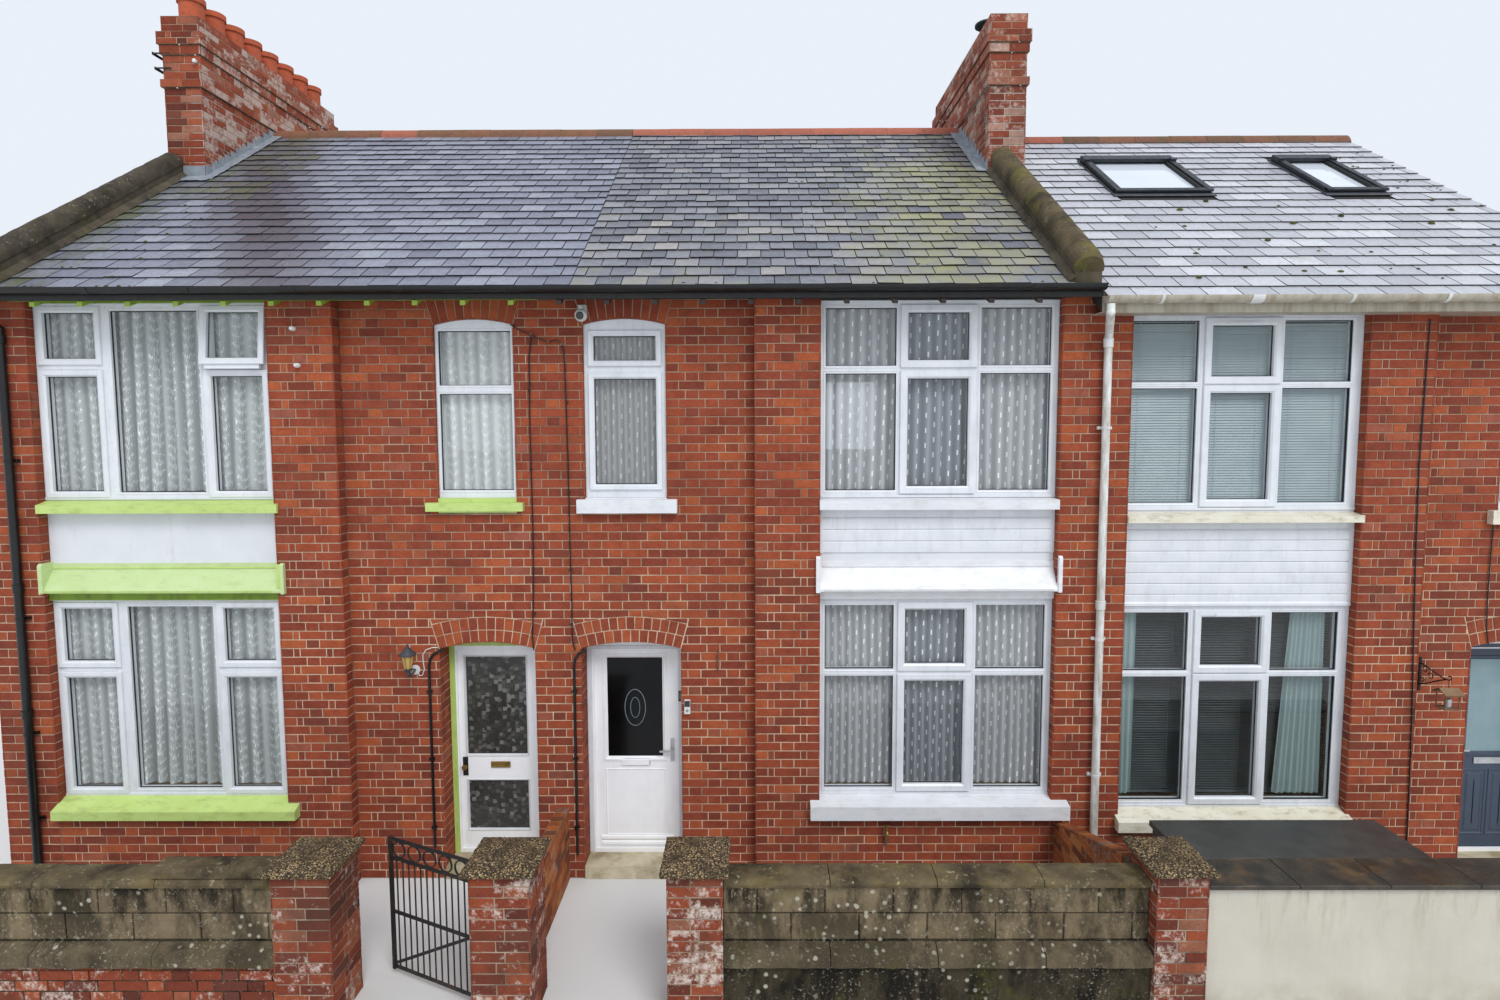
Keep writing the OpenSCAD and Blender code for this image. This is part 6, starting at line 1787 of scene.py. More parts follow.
def stone_run(G, x0, x1, pts, m, amp):
    """A stone with the outline pts in (y, z), worn by noise."""
    n = max(2, int((x1 - x0) / 0.03))
    dense = []
    for i in range(len(pts)):
        p, q = pts[i], pts[(i + 1) % len(pts)]
        L = math.hypot(q[0] - p[0], q[1] - p[1])
        t = max(1, int(L / 0.025))
        dense += [(p[0] + (q[0] - p[0]) * k / t, p[1] + (q[1] - p[1]) * k / t) for k in range(t)]
    ar = sum(dense[i][0] * dense[(i + 1) % len(dense)][1] - dense[(i + 1) % len(dense)][0] * dense[i][1] for i in range(len(dense)))
    if ar < 0:
        dense = dense[::-1]
    cy = sum(p[0] for p in dense) / len(dense)
    cz = sum(p[1] for p in dense) / len(dense)
    vs = []
    for k in range(n + 1):
        x = x0 + (x1 - x0) * k / n
        ends = 0.004 if k in (0, n) else 0.0
        for (y, z) in dense:
            q = Vector((x, y, z))
            e = (noise.noise(q * 11) * 0.5 + 0.5) * amp + (noise.noise(q * 37) * 0.5 + 0.5) * amp * 0.45 + ends
            l = math.hypot(cy - y, cz - z) or 1
            vs.append((x, y + (cy - y) / l * e, z + (cz - z) / l * e))
    k = len(dense)
    fs = [(r * k + i, r * k + (i + 1) % k, (r + 1) * k + (i + 1) % k, (r + 1) * k + i) for r in range(n) for i in range(k)]
    fs.append(tuple(range(k))[::-1])
    fs.append(tuple(range(n * k, n * k + k)))
    G.add(vs, fs, m)


def cap_mesh(G, cx, cy, wx, wy, z0, z1, z2, seed):
    """Pyramid cap: an upright edge and four shallow slopes, its surface pebbled by real bumps."""
    n = 44
    vs, fs = [], []
    for j in range(n + 1):
        for i in range(n + 1):
            u, v = i / n * 2 - 1, j / n * 2 - 1
            rr = max(abs(u), abs(v))
            z = z2 + (z1 - z2) * rr
            q = Vector((cx + u * wx, cy + v * wy, z))
            b = noise.noise(q * 60 + Vector((seed, 0, 0)))
            b2 = noise.noise(q * 12)
            e = 0.0035 * (b - 0.6) + 0.004 * (b2 - 0.6)
            vs.append((cx + u * (wx - 0.006 + 0.004 * b * (rr > 0.98)), cy + v * (wy - 0.006 + 0.004 * b * (rr > 0.98)), z + e))
    for j in range(n):
        for i in range(n):
            a = j * (n + 1) + i
            fs.append((a, a + 1, a + n + 2, a + n + 1))
    k = len(vs)
    # rim
    rim = [(i, 0) for i in range(n)] + [(n, j) for j in range(n)] + [(i, n) for i in range(n, 0, -1)] + [(0, j) for j in range(n, 0, -1)]
    top = [j * (n + 1) + i for (i, j) in rim]
    rows = [top]
    for (h, s) in ((0.012, 1.0), (0.030, 0.995), (0.040, 0.985)):
        row = []
        for (i, j) in rim:
            u, v = i / n * 2 - 1, j / n * 2 - 1
            z = max(z0, z1 - h)
            q = Vector((cx + u * wx, cy + v * wy, z))
            b = noise.noise(q * 60)
            row.append(len(vs))
            vs.append((cx + u * (wx - 0.004) * s + u * 0.003 * b, cy + v * (wy - 0.004) * s + v * 0.003 * b, z))
        rows.append(row)
    L = len(rim)
    for a, b in zip(rows[:-1], rows[1:]):
        for i in range(L):
            j = (i + 1) % L
            fs.append((a[j], a[i], b[i], b[j]))
    fs.append(tuple(rows[-1]))
    G.add(vs, fs, 0)


# ---------------------------------------------------------------- roof details
CS, SN = math.cos(PITCH), math.sin(PITCH)


def on_slope(x, s, h, d=0.0, side=1):
    """Point h above the slates' plane, s up the slope from the eave."""
    y, z = YE + s * CS - h * SN, zt(YE, d) + s * SN + h * CS
    return (x, y if side > 0 else 2 * YR - y, z)


def slope_box(G, x0, x1, s0, s1, h0, h1, d=0.0, side=1, m=0, a=(0.5, 0.0, 0.0)):
    vs = [on_slope(x, s, h, d, side) for h in (h0, h1) for (x, s) in ((x0, s0), (x1, s0), (x1, s1), (x0, s1))]
    fs = [(0, 3, 2, 1), (4, 5, 6, 7), (0, 1, 5, 4), (1, 2, 6, 5), (2, 3, 7, 6), (3, 0, 4, 7)]
    G.add(vs, fs if side > 0 else [f[::-1] for f in fs], m, a)


def crumpled(G, x0, x1, s0, s1, h, d, side, amp=0.006, step=0.03, seed=0.0):
    """Beaten lead laid on a slope."""
    nx, ns = max(2, int((x1 - x0) / step)), max(2, int((s1 - s0) / step))
    vs = []
    for k in (0, 1):
        for j in range(ns + 1):
            for i in range(nx + 1):
                x, s = x0 + (x1 - x0) * i / nx, s0 + (s1 - s0) * j / ns
                e = noise.noise(Vector((x * 17, s * 17, seed))) * amp + noise.noise(Vector((x * 45, s * 45, seed))) * amp * 0.5
                vs.append(on_slope(x, s, h + e - 0.003 * k, d, side))
    w = nx + 1
    n = w * (ns + 1)
    fs = []
    for j in range(ns):
        for i in range(nx):
            q = (j * w + i, j * w + i + 1, (j + 1) * w + i + 1, (j + 1) * w + i)
            fs.append(q)
            fs.append(tuple(v + n for v in q[::-1]))
    edge = [(i, i + 1) for i in range(nx)] + [(j * w + nx, (j + 1) * w + nx) for j in range(ns)]
    edge += [(ns * w + i + 1, ns * w + i) for i in range(nx)] + [((j + 1) * w, j * w) for j in range(ns)]
    fs += [(a + n, b + n, b, a) for a, b in edge]
    G.add(vs, fs if side > 0 else [f[::-1] for f in fs])


def flashings():
    G = Geo()
    (xl, yl, ll), (xr, yr_, lr) = STACKS
    for (xf, sg, y0, ln, d) in ((xl + S_W, 1, yl, ll, 0.0), (xl, -1, yl, ll, 0.0), (xr, -1, yr_, lr, 0.0), (xr + S_W, 1, yr_, lr, 0.12)):
        for side in (1, -1):
            ya = y0 if side > 0 else 2 * YR - (y0 + ln)
            n = int((YR - ya) / (CH / TP)) + 1
            dy = (YR - ya) / n
            for k in range(n):
                p, q = ya + k * dy, ya + (k + 1) * dy
                top = zt(q, d) + 0.072
                pts = []
                for (yy, zz) in ((p, zt(p, d) + 0.004), (q, zt(q, d) + 0.004), (q, top), (p, top)):
                    for t in (0, 1):
                        pts.append((xf + sg * (0.003 + 0.003 * t + RND.uniform(0, 0.004) * t), (yy if side > 0 else 2 * YR - yy) + RND.uniform(-0.002, 0.002), zz + RND.uniform(-0.003, 0.003)))
                f = [(1, 3, 5, 7), (0, 6, 4, 2), (0, 2, 3, 1), (2, 4, 5, 3), (4, 6, 7, 5), (6, 0, 1, 7)]
                G.add(pts, f if sg * side > 0 else [v[::-1] for v in f])
            s0 = (ya - YE) / CS - (0.10 if sg > 0 and side > 0 else 0.0)
            s1 = (YR - YE) / CS - 0.10
            a, b = (xf + 0.004, xf + 0.125) if sg > 0 else (xf - 0.125, xf - 0.004)
            crumpled(G, a, b, s0, s1, 0.024, d, side, seed=xf)
    # aprons at the feet of the stacks
    for (x0, x1, y0, d) in ((X_QB + 0.004, xl + S_W, yl, 0.0), (X_PR + 0.004, xr + S_W, yr_, 0.12)):
        s0 = (y0 - YE) / CS
        crumpled(G, x0, x1 + 0.1, s0 - 0.16, s0 - 0.004, 0.026, d, 1, seed=x0)
        G.box(x0, x1, y0 - 0.012, y0 - 0.004, zt(y0, d) + 0.01, zt(y0, d) + 0.13)
    G.make("lead_flashings", LEAD, slot="dark_metal")
    # cement fillets along the parapets
    F = Geo()
    for (xf, sg, yc, ln, d) in ((X_QB, 1, yl, ll, 0.0), (X_QA, -1, yl, ll, 0.0), (X_PL, -1, yr_, lr, 0.0), (X_PR, 1, yr_, lr, 0.12)):
        for side in (1, -1):
            y1 = yc if side > 0 else yc + ln
            y0 = YE if side > 0 else 2 * YR - YE
            n = 60
            out = [(xf + sg * 0.001, 0.0), (xf + sg * 0.062, 0.010), (xf + sg * 0.050, 0.026), (xf + sg * 0.022, 0.052), (xf + sg * 0.001, 0.064)]
            if sg * side < 0:
                out = out[::-1]
            pts = [((y0 + (y1 - y0) * k / n), zt(y0 + (y1 - y0) * k / n, d) + 0.006, -SN * side, CS) for k in range(n + 1)]
            rough_prism("x", 0, 0, out, pts, None, amp=0.008, freq=11, G=F, seedz=xf)
    F.make("parapet_fillets", SKIRT, slot="concrete", smooth=50)
    # cement tops of the stacks round the pots
    T = Geo()
    for (x, y, ln) in STACKS:
        nx, ny = 10, 50
        vs, fs = [], []
        for j in range(ny + 1):
            for i in range(nx + 1):
                u, v = i / nx, j / ny
                e = min(u, 1 - u) * S_W
                e2 = min(v, 1 - v) * ln
                h = 0.045 * min(1.0, min(e, e2) / 0.10)
                q = Vector((x + u * S_W, y + v * ln, 0))
                h += 0.012 * noise.noise(q * 14) * (min(e, e2) > 0.001)
                vs.append((x + 0.006 + u * (S_W - 0.012), y + 0.006 + v * (ln - 0.012), S_TOP - 0.002 + max(0, h)))
        for j in range(ny):
            for i in range(nx):
                a = j * (nx + 1) + i
                fs.append((a, a + 1, a + nx + 2, a + nx + 1))
        T.add(vs, fs)
    T.make("stack_cement_tops", CEMENT_TOP, slot="concrete", smooth=True)


MOSS = stone("moss_clumps", c(74, 78, 34), c(96, 98, 44), c(40, 42, 20), c(120, 122, 60), 0.6, rough=0.95, fine=200).m
CEMENT_TOP = stone("cement_mossy", c(120, 110, 92), c(98, 88, 72), c(52, 48, 38), c(160, 150, 130), 0.5, c(104, 110, 44), 0.75).m


def clump(G, x, s, r, d, R):
    n = 7
    vs = []
    for (rr, h) in ((1.0, 0.0), (0.85, 0.45), (0.45, 0.75)):
        for k in range(n):
            a = 2 * math.pi * k / n + R.uniform(-0.2, 0.2)
            q = rr * r * R.uniform(0.8, 1.15)
            vs.append(on_slope(x + q * math.cos(a) * 1.2, s + q * math.sin(a) * 0.8, 0.012 + h * r * 0.7, d))
    vs.append(on_slope(x, s, 0.012 + r * 0.6, d))
    fs = [(j * n + k, j * n + (k + 1) % n, (j + 1) * n + (k + 1) % n, (j + 1) * n + k) for j in range(2) for k in range(n)]
    fs += [(2 * n + k, 2 * n + (k + 1) % n, 3 * n) for k in range(n)]
    G.add(vs, fs)


def roof_growth():
    R = random.Random(5)
    G = Geo()
    for _ in range(26):
        clump(G, R.uniform(3.9, 7.3), R.uniform(0.25, 2.4), R.uniform(0.010, 0.032), 0.12, R)
    for _ in range(40):
        clump(G, R.uniform(6.4, 7.68), R.uniform(2.0, 4.4), R.uniform(0.008, 0.018), 0.12, R)
    for _ in range(150):
        k = R.randint(0, 22)
        clump(G, R.uniform(-1.4, 2.6), k * 0.186 + R.uniform(-0.01, 0.02), R.uniform(0.006, 0.016), 0, R)
    for _ in range(70):
        k = R.randint(0, 22)
        clump(G, R.uniform(-6.2, -5.3) + 0.2 * R.random(), k * 0.196, R.uniform(0.006, 0.018), 0, R)
    G.make("moss_on_slates", MOSS)


def rooflights():
    G = Geo()
    for (x0, x1, y0, y1) in ((3.96, 5.01, 1.78, 2.74), (6.25, 6.90, 1.78, 2.74)):
        d = 0.12
        s0, s1 = (y0 - YE) / CS, (y1 - YE) / CS
        h = 0.060 * CS
        # flashing skirt, then covers over the curb, then the opening sash
        slope_box(G, x0 - 0.028, x0 - 0.002, s0 - 0.03, s1 + 0.03, 0.012, 0.024, d, m=1)
        slope_box(G, x1 + 0.002, x1 + 0.028, s0 - 0.03, s1 + 0.03, 0.012, 0.024, d, m=1)
        slope_box(G, x0 - 0.028, x1 + 0.028, s0 - 0.06, s0 + 0.0, 0.014, 0.027, d, m=1)
        slope_box(G, x0 - 0.028, x1 + 0.028, s1 - 0.0, s1 + 0.04, 0.012, 0.024, d, m=1)
        for (a, b, p, q, t) in ((x0 - 0.006, x0 + 0.062, s0, s1, 0.024), (x1 - 0.062, x1 + 0.006, s0, s1, 0.024), (x0 - 0.006, x1 + 0.006, s0 - 0.006, s0 + 0.066, 0.018),
                                (x0 - 0.012, x1 + 0.012, s1 - 0.12, s1 + 0.012, 0.040)):
            slope_box(G, a, b, p, q, h - 0.004, h + t, d)
        for (a, b, p, q) in ((x0 + 0.068, x0 + 0.092, s0 + 0.072, s1 - 0.125), (x1 - 0.092, x1 - 0.068, s0 + 0.072, s1 - 0.125), (x0 + 0.068, x1 - 0.068, s0 + 0.072, s0 + 0.096)):
            slope_box(G, a, b, p, q, 0.016, h + 0.006, d, m=2)
        k = x0 + 0.02
        slope_box(G, x0 - 0.020, x0 + 0.05, s1 - 0.16, s1 - 0.10, h, h + 0.048, d)
        slope_box(G, x1 - 0.05, x1 + 0.020, s1 - 0.16, s1 - 0.10, h, h + 0.048, d)
    G.make("rooflight_covers", [DARK_METAL, LEAD_DARK, RUBBER], slot="dark_metal", bevel=0.004)


LEAD_DARK = metal("flashing_dark", c(78, 82, 88), 0.5, c(110, 112, 112), 0.4, met=0.2)


def gutter_parts():
    B, W = Geo(), Geo()

    def strap(G, x0, x1, cy, cz, r, t, s=-1):
        n = 12
        out = [(cy + s * (r + t) * math.cos(math.pi * k / n), cz - (r + t) * math.sin(math.pi * k / n)) for k in range(n + 1)]
        inn = [(cy + s * (r + 0.0006) * math.cos(math.pi * k / n), cz - (r + 0.0006) * math.sin(math.pi * k / n)) for k in range(n, -1, -1)]
        G.prism(x0, x1, out + inn)
    x = X_LO + 0.35
    k = 0
    while x < X_PR - 0.1:
        w = 0.045 if k % 3 == 1 else 0.012
        strap(B, x - w, x + w, -0.372, GZ_AB, 0.050, 0.004)
        B.box(x - 0.010, x + 0.010, -0.324, -0.3005, GZ_AB - 0.046, GZ_AB + 0.006)
        x += 0.88
        k += 1
    x = X_PR + 0.45
    k = 0
    while x < X_CD:
        w = 0.05 if k % 3 == 1 else 0.014
        strap(W, x - w, x + w, -0.382, GZ_C, 0.060, 0.005)
        x += 0.78
        k += 1
    for (G, cy, cz, r, xa) in ((B, -0.372, GZ_AB, 0.050, X_PR), (B, -0.372, GZ_AB, 0.050, X_LO), (W, -0.382, GZ_C, 0.060, X_CD)):
        n = 12
        pts = [(cy - (r + 0.003) * math.cos(math.pi * q / n), cz - (r + 0.003) * math.sin(math.pi * q / n)) for q in range(n + 1)]
        e = -0.006 if xa > -6 else 0.0
        G.prism(xa + e, xa + e + 0.006, pts)
    # pipe collars and clips
    for (G, x, zs, cl) in ((B, X_XA + 0.12, (4.95, 2.77, 1.63), (3.9, 2.5, 1.45, 0.66)), (W, X_BC + 0.070, (4.88, 2.60), (4.157, 2.295, 1.056))):
        for z in zs:
            G.lathe([(0.0345, z - 0.035), (0.041, z - 0.033), (0.041, z + 0.030), (0.043, z + 0.032), (0.043, z + 0.040), (0.0345, z + 0.042)], x, -0.165, 20)
        for z in cl:
            G.lathe([(0.0345, z - 0.013), (0.0385, z - 0.012), (0.0385, z + 0.012), (0.0345, z + 0.013)], x, -0.165, 20)
            for sgn in (-1, 1):
                G.box(min(x + sgn * 0.030, x + sgn * 0.062), max(x + sgn * 0.030, x + sgn * 0.062), -0.142, -0.121, z - 0.013, z + 0.013)
                G.lathe([(0.006, z - 0.004), (0.006, z + 0.004)], x + sgn * 0.050, -0.145, 8)
    B.make("gutter_and_pipe_fixings", BLACK_PL, slot="black_plastic")
    W.make("white_gutter_and_pipe_fixings", WHITE_PL, slot="white_plastic")


# ---------------------------------------------------------------- fittings on the walls
def fixtures():
    K = Geo()
    # thin cables pinned to the brickwork
    for (pts, r) in ((((-2.10, -0.012, 5.07), (-2.03, -0.022, 5.03), (-1.93, -0.018, 4.99), (-1.85, -0.02, 4.95), (-1.78, -0.018, 4.925), (-1.70, -0.02, 4.945), (-1.66, -0.016, 4.90)), 0.005),
                     (((-1.93, -0.014, 4.99), (-1.955, -0.010, 4.80), (-1.962, -0.010, 4.2), (-1.957, -0.010, 3.3), (-1.965, -0.010, 2.7), (-1.985, -0.010, 2.28), (-1.975, -0.006, 2.16)), 0.006),
                     (((-1.66, -0.014, 4.90), (-1.642, -0.010, 4.80), (-1.630, -0.010, 3.9), (-1.628, -0.010, 3.1), (-1.622, -0.010, 2.6), (-1.625, -0.010, 2.25), (-1.600, -0.010, 2.16)), 0.006),
                     (((5.842, -0.128, 5.08), (5.832, -0.129, 4.6), (5.820, -0.129, 3.8), (5.838, -0.129, 3.0), (5.862, -0.129, 2.3), (5.890, -0.129, 1.6), (5.904, -0.129, 0.9), (5.912, -0.129, 0.40)), 0.006),
                     (((6.612, -0.010, 3.285), (6.606, -0.010, 3.0), (6.604, -0.010, 2.6), (6.616, -0.010, 2.3), (6.640, -0.008, 2.20)), 0.005)):
        K.tube(pts, r, 7)
    for (x, zs) in ((-1.960, (4.5, 3.8, 3.1, 2.5)), (-1.628, (4.4, 3.6, 2.9, 2.4))):
        for z in zs:
            K.box(x - 0.011, x + 0.011, -0.018, -0.001, z - 0.006, z + 0.006)
    # rigid conduits beside the doors, bent over into the frames
    for (x, x2, z0) in ((-2.930, -2.80, 0.31), (-1.612, -1.515, 0.24)):
        pts = [(x, -0.016, z0), (x, -0.016, 1.2), (x, -0.016, 2.02)]
        for t in (30, 60, 90):
            a = math.radians(t)
            pts.append((x + 0.09 - 0.09 * math.cos(a), -0.016, 2.02 + 0.11 * math.sin(a) + 0.02 * (t / 90)))
        pts.append((x2, -0.012, 2.165))
        K.tube(pts, 0.0125, 9)
        for z in (0.5, 1.15, 1.78):
            K.box(x - 0.022, x + 0.022, -0.030, -0.001, z - 0.010, z + 0.010)
    K.make("cables_and_conduits", BLACK_PL, slot="black_plastic")
    # old pegs and pins
    P = Geo()
    for (x, y, z) in ((-2.10, 0.0, 5.075), (-1.93, 0.0, 4.995), (-1.78, 0, 4.93), (-1.66, 0, 4.905)):
        P.lathe([(0.006, -y), (0.006, -(y - 0.020)), (0.011, -(y - 0.022)), (0.011, -(y - 0.030)), (0.004, -(y - 0.032))], x, z, 10, 0, axis="y")
    for (x, z) in ((-3.955, 5.035), (-3.93, 4.72)):
        P.lathe([(0.020, 0.1205), (0.020, 0.150), (0.013, 0.156), (0.018, 0.170), (0.010, 0.178)], x, z, 12, 1, axis="y")
    P.tube([(-0.308, -0.001, 2.15), (-0.308, -0.035, 2.15), (-0.308, -0.040, 2.12), (-0.308, -0.030, 2.09)], 0.007, 7, 0)
    P.tube([(-0.309, -0.006, 2.08), (-0.310, -0.010, 2.02), (-0.309, -0.008, 1.96)], 0.006, 6, 0)
    P.make("pins_and_pegs", [STEEL, WHITE_PL], slot="dark_metal")
    # garden tap over its short pipe
    T = Geo()
    x, y = 1.208, PIL
    T.tube([(x, y - 0.022, 0.40), (x, y - 0.022, 0.545)], 0.010, 10, 0)
    T.tube([(x, y - 0.001, 0.545), (x, y - 0.03, 0.548), (x, y - 0.085, 0.548)], 0.013, 10, 1)
    T.tube([(x, y - 0.080, 0.550), (x, y - 0.098, 0.535), (x, y - 0.100, 0.500)], [0.012, 0.012, 0.010], 10, 1)
    T.lathe([(0.010, 0.556), (0.013, 0.562), (0.008, 0.580), (0.008, 0.592)], x, y - 0.055, 12, 1)
    T.box(x - 0.030, x + 0.030, y - 0.060, y - 0.050, 0.590, 0.600, 1)
    T.box(x - 0.018, x + 0.018, y - 0.022, y - 0.001, 0.425, 0.440, 0)
    T.make("garden_tap", [STEEL, BRASS], slot="brass")
    # air brick: a terracotta face with two rows of slots
    A = Geo()
    x0, x1, z0, z1, y = 1.104, 1.322, 0.131, 0.209, PIL
    A.box(x0, x1, y + 0.008, y + 0.012, z0, z1, 1)
    zs = [z0, z0 + 0.012, (z0 + z1) / 2 - 0.004, (z0 + z1) / 2 + 0.004, z1 - 0.012, z1]
    for (p, q) in ((0, 1), (2, 3), (4, 5)):
        A.box(x0, x1, y - 0.001, y + 0.009, zs[p], zs[q], 0)
    n = 10
    w = (x1 - x0) / n
    for i in range(n + 1):
        a = x0 + i * w
        for (p, q) in ((1, 2), (3, 4)):
            A.box(max(x0, a - 0.004), min(x1, a + 0.004), y - 0.001, y + 0.009, zs[p], zs[q], 0)
    A.make("air_brick", [TERRA, RUBBER], slot="terracotta")
    # lantern in place of its plain body
    L = Geo()
    x, y = -3.060, -0.150
    L.lathe([(0.045, 0.0005), (0.045, 0.007), (0.036, 0.012), (0.014, 0.013)], x, 1.98, 22, 1, axis="y")
    L.tube([(x, -0.010, 1.985), (x, -0.050, 1.962), (x, -0.095, 1.955), (x, -0.135, 1.965), (x, y, 1.985)], [0.012, 0.010, 0.009, 0.010, 0.012], 10, 0)
    L.tube([(x, -0.030, 1.972), (x, -0.045, 2.000), (x, -0.070, 2.008), (x, -0.082, 1.992), (x, -0.070, 1.982)], 0.005, 7, 0)
    L.lathe([(0.010, 1.974), (0.020, 1.984), (0.014, 1.998), (0.020, 2.012), (0.034, 2.026), (0.036, 2.040), (0.030, 2.044)], x, y, 16, 0)
    L.lathe([(0.034, 2.040), (0.060, 2.160), (0.058, 2.160), (0.032, 2.044)], x, y, 8, 2)
    for k in range(8):
        a = 2 * math.pi * k / 8
        L.tube([(x + 0.0345 * math.cos(a), y + 0.0345 * math.sin(a), 2.040), (x + 0.0615 * math.cos(a), y + 0.0615 * math.sin(a), 2.162)], 0.0025, 5, 0)
    L.lathe([(0.062, 2.158), (0.074, 2.160), (0.075, 2.168), (0.066, 2.176), (0.052, 2.190), (0.034, 2.206), (0.024, 2.222), (0.016, 2.226), (0.016, 2.234), (0.008, 2.240), (0.011, 2.248), (0.006, 2.258)], x, y, 16, 0)
    L.make("lantern", [IRON_PALE, WHITE_PL, AMBER], slot="black_iron", rep=("wall_lantern",), smooth=50)
    W = Geo()
    W.tube([(-3.035, -0.006, 1.950), (-3.020, -0.008, 1.925), (-2.995, -0.008, 1.930), (-2.975, -0.008, 1.985), (-2.985, -0.008, 2.06), (-2.985, -0.008, 2.12), (-2.955, -0.008, 2.165), (-2.90, -0.008, 2.185), (-2.845, -0.006, 2.185)], 0.0045, 7)
    W.make("lantern_lead", WHITE_PL, slot="white_plastic")
    # iron bracket with a little roofed feeder
    Bk = Geo()
    x = 6.045
    Bk.box(x - 0.010, x + 0.010, -0.010, -0.001, 1.775, 2.080)
    Bk.tube([(x, -0.008, 2.030), (x, -0.12, 2.000), (x, -0.24, 1.965), (x, -0.30, 1.965), (x, -0.325, 1.985), (x, -0.315, 2.005), (x, -0.295, 1.998)], 0.006, 7)
    Bk.tube([(x, -0.008, 1.835), (x, -0.09, 1.870), (x, -0.19, 1.925), (x, -0.27, 1.962)], 0.006, 7)
    for (cy, cz, r) in ((-0.055, 1.985, 0.022), (-0.115, 1.945, 0.024), (-0.035, 1.885, 0.018)):
        Bk.tube([(x, cy + r * math.cos(a * 0.5), cz + r * math.sin(a * 0.5)) for a in range(0, 12)], 0.004, 6)
    Bk.tube([(x, -0.300, 1.962), (x, -0.302, 1.925), (x, -0.300, 1.895)], 0.003, 6)
    f = -0.300
    Bk.add([(x - 0.085, f - 0.075, 1.850), (x + 0.085, f - 0.075, 1.850), (x + 0.085, f, 1.900), (x - 0.085, f, 1.900), (x - 0.085, f + 0.075, 1.850), (x + 0.085, f + 0.075, 1.850)],
           [(0, 1, 2, 3), (3, 2, 5, 4)], 1)
    Bk.add([(x - 0.085, f - 0.075, 1.842), (x + 0.085, f - 0.075, 1.842), (x + 0.085, f, 1.892), (x - 0.085, f, 1.892), (x - 0.085, f + 0.075, 1.842), (x + 0.085, f + 0.075, 1.842)],
           [(3, 2, 1, 0), (4, 5, 2, 3)], 1)
    Bk.box(x - 0.065, x + 0.065, f - 0.055, f + 0.055, 1.715, 1.727, 1)
    for (a, b) in ((-0.058, -0.048), (0.058, -0.048), (-0.058, 0.048), (0.058, 0.048)):
        Bk.box(x + a - 0.004, x + a + 0.004, f + b - 0.004, f + b + 0.004, 1.725, 1.862, 1)
    Bk.lathe([(0.026, 1.728), (0.026, 1.800), (0.020, 1.806)], x, f, 14, 2)
    Bk.make("iron_bracket_with_feeder", [IRON, WOOD_GREY, CHROME], slot="black_iron")
    # eye of the camera, its cable box and the bell's lens and button
    E = Geo()
    E.lathe([(0.034, 0.1440), (0.034, 0.1535), (0.028, 0.1560), (0.010, 0.1565)], -1.470, 5.135, 20, 0, axis="y")
    E.box(-0.612, -0.563, -0.0325, -0.0298, 1.640, 1.695, 0)
    E.lathe([(0.013, 0.0300), (0.013, 0.0330), (0.009, 0.0340)], -0.5875, 1.604, 18, 1, axis="y")
    for i in range(3):
        for j in range(4):
            E.box(-0.686 + i * 0.0115, -0.679 + i * 0.0115, 0.2125, 0.2151, 1.622 + j * 0.017, 1.632 + j * 0.017, 1)
    E.make("lens_and_keys", [GLOSS_BLACK, KEY_GREY], slot="black_plastic")
    # black iron straps on the stack's outer face and a peg on its front
    S = Geo()
    for (z, l) in ((8.34, 0.100), (8.18, 0.080)):
        S.box(-6.58 - l, -6.48, 2.080, 2.092, z - 0.007, z + 0.007, 0)
        S.box(-6.58 - l, -6.58 - l + 0.006, 2.078, 2.40, z - 0.016, z + 0.016, 0)
    S.lathe([(0.016, -2.0985), (0.016, -2.075), (0.022, -2.070), (0.022, -2.058), (0.010, -2.054)], -6.20, 8.25, 12, 1, axis="y")
    S.make("stack_straps", [IRON, WHITE_PL], slot="black_iron")


IRON_PALE = metal("iron_flaking", c(70, 72, 76), 0.5, c(150, 146, 138), 0.7, met=0.15)
GLOSS_BLACK = Mat("lens_black", c(12, 12, 14), 0.08, spec=0.8)
GLOSS_BLACK.color(GLOSS_BLACK.mix(GLOSS_BLACK.noise(30, 2), c(10, 10, 12), c(22, 22, 26)))
GLOSS_BLACK = GLOSS_BLACK.m
KEY_GREY = paint("keys_grey", c(150, 152, 156), c(128, 130, 134), 0.35)
WOOD_GREY = plaster_mat("wood_weathered", c(156, 128, 100), c(112, 88, 68), 0.8)


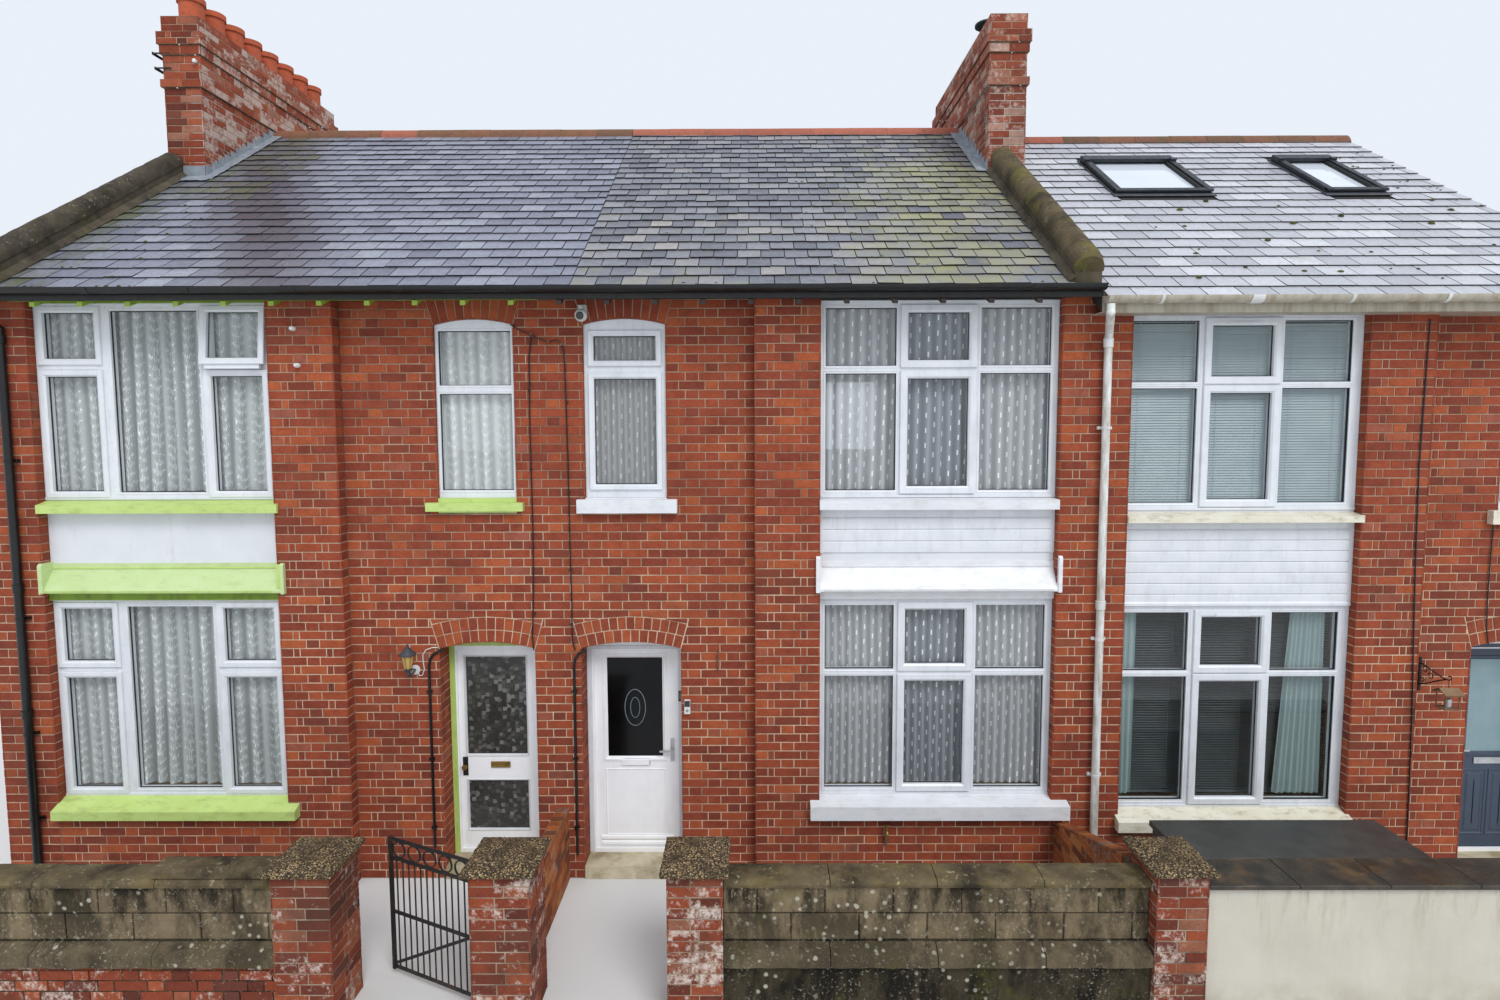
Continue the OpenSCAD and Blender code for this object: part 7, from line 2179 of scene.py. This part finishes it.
# ---------------------------------------------------------------- finishes of the CAD nodes
def finishes():
    for n in ("pilasters", "bay_aprons", "door_bay_jambs", "door_bay_walls", "rear_wall", "end_walls"):
        dress(n, MORTAR, inset=0.006)
    dress("chimney_stacks", MORTAR, inset=0.006)
    dress("garden_piers", MORTAR_D, inset=0.006)
    dress("dividing_walls", MORTAR_D, inset=0.006)
    dress("bay_panels", PANEL)
    dress("party_walls", PLASTER)
    dress("parapets", SKIRT)
    dress("chimney_pots", TERRA)
    dress("chimney_cowl", DARK_METAL, bevel=0.002)
    dress("roof_front", UNDER)
    dress("roof_rear", UNDER)
    dress("rooflight_frames", DARK_METAL, bevel=0.004)
    dress("rooflight_glass", SKYGLASS)
    o = dress("gutters", [BLACK_PL])
    dress("downpipes", [BLACK_PL])
    dress("rafter_feet", FEET)
    dress("bay_window_frames", UPVC, bevel=0.002)
    dress("bay_window_glass", GLASS)
    dress("small_window_frames", UPVC, bevel=0.002)
    dress("small_window_glass", GLASS)
    dress("rear_window_frames", UPVC, bevel=0.002)
    dress("rear_window_glass", GLASS)
    dress("window_sills", SILLS)
    dress("canopies", CANOPY)
    dress("door_frames", DOOR_WHITE, bevel=0.002)
    dress("door_steps", CONC, bevel=0.006)
    dress("ground_floor", FLOORWOOD)
    dress("upper_floor", FLOORWOOD)
    dress("door_leaf_a", DOOR_WHITE, bevel=0.003)
    dress("door_glass_a", OBSCURE)
    dress("door_fittings_a", BRASS, bevel=0.001)
    dress("door_leaf_b", DOOR_WHITE, bevel=0.003)
    dress("door_glass_b", DARK_GLASS)
    dress("door_fittings_b", CHROME, bevel=0.001)
    dress("door_leaf_c", BLUE_DOOR, bevel=0.003)
    dress("door_glass_c", FROST)
    dress("door_fittings_c", CHROME, bevel=0.001)
    dress("rendered_wall", CREAM, bevel=0.004)
    dress("bin_store", LID, bevel=0.006)
    dress("garden_gate", IRON, bevel=0.0015)
    dress("gate_pins", IRON)
    dress("wall_lantern", IRON)
    dress("wall_camera", WHITE_PL, bevel=0.004)
    m = Mat("bell_and_keypad", rough=0.35)
    y = m.xyz()[1]
    m.color(m.mix(m.math("GREATER_THAN", y, 0.1 + OY), m.mix(m.noise(40), c(222, 223, 222), c(208, 209, 208)), m.mix(m.noise(40), c(44, 46, 50), c(58, 60, 64))))
    dress("door_bell", m.m, bevel=0.004)


def colour_by_x(name, node, lim, a, b, rough=0.3):
    """Black plastic left of lim, white right of it, on a node that has both."""
    m = Mat(name, rough=rough)
    x, y, z = m.xyz()[:3]
    f = m.math("MULTIPLY", m.math("GREATER_THAN", x, lim + OX), m.math("LESS_THAN", y, 2.0 + OY))
    d = m.noise(2.2, 6, 0.7, vec=m.co((6, 6, 1.2)))
    ka = m.mix(m.math("MULTIPLY", m.mr(d, 0.5, 0.75), 0.22), a, c(60, 57, 52))
    kb = m.mix(m.math("MULTIPLY", m.mr(d, 0.42, 0.66), 0.75), b, c(140, 126, 98))
    m.color(m.mix(f, ka, kb))
    m.bump(m.noise(100, 3), 0.1, 0.001)
    NODE[node].data.materials.clear()
    NODE[node].data.materials.append(m.m)


# ---------------------------------------------------------------- build all
finishes()
colour_by_x("gutter_plastics", "gutters", X_PR + 0.003, c(7, 8, 9), c(182, 174, 158), rough=0.4)
colour_by_x("pipe_plastics", "downpipes", 2.0, c(15, 16, 18), c(228, 228, 225))
facade()
sides()
chimneys()
roofs()
flashings()
roof_growth()
rooflights()
gutter_parts()
fixtures()
parapet_tops()
windows()
inside_windows()
trim()
doors()
garden()

# ---------------------------------------------------------------- studio
me = bpy.data.meshes.new("studio_floor")
me.from_pydata([(-60, -60, -0.002), (60, -60, -0.002), (60, 60, -0.002), (-60, 60, -0.002)], [], [(0, 1, 2, 3)])
floor = bpy.data.objects.new("studio_floor", me)
SCN.collection.objects.link(floor)
fm = Mat("studio_floor", rough=0.8)
fm.color(fm.mix(fm.noise(0.6, 2), c(214, 214, 212), c(220, 220, 219)))
me.materials.append(fm.m)
w = bpy.data.worlds.new("studio")
SCN.world = w
w.use_nodes = True
bg = w.node_tree.nodes["Background"]
bg.inputs["Color"].default_value = (0.86, 0.92, 1.0, 1)
bg.inputs["Strength"].default_value = 0.95
sun = bpy.data.lights.new("key", "SUN")
sun.energy = 1.6
sun.angle = math.radians(25)
so = bpy.data.objects.new("key", sun)
so.rotation_euler = (math.radians(42), 0, math.radians(26))
SCN.collection.objects.link(so)
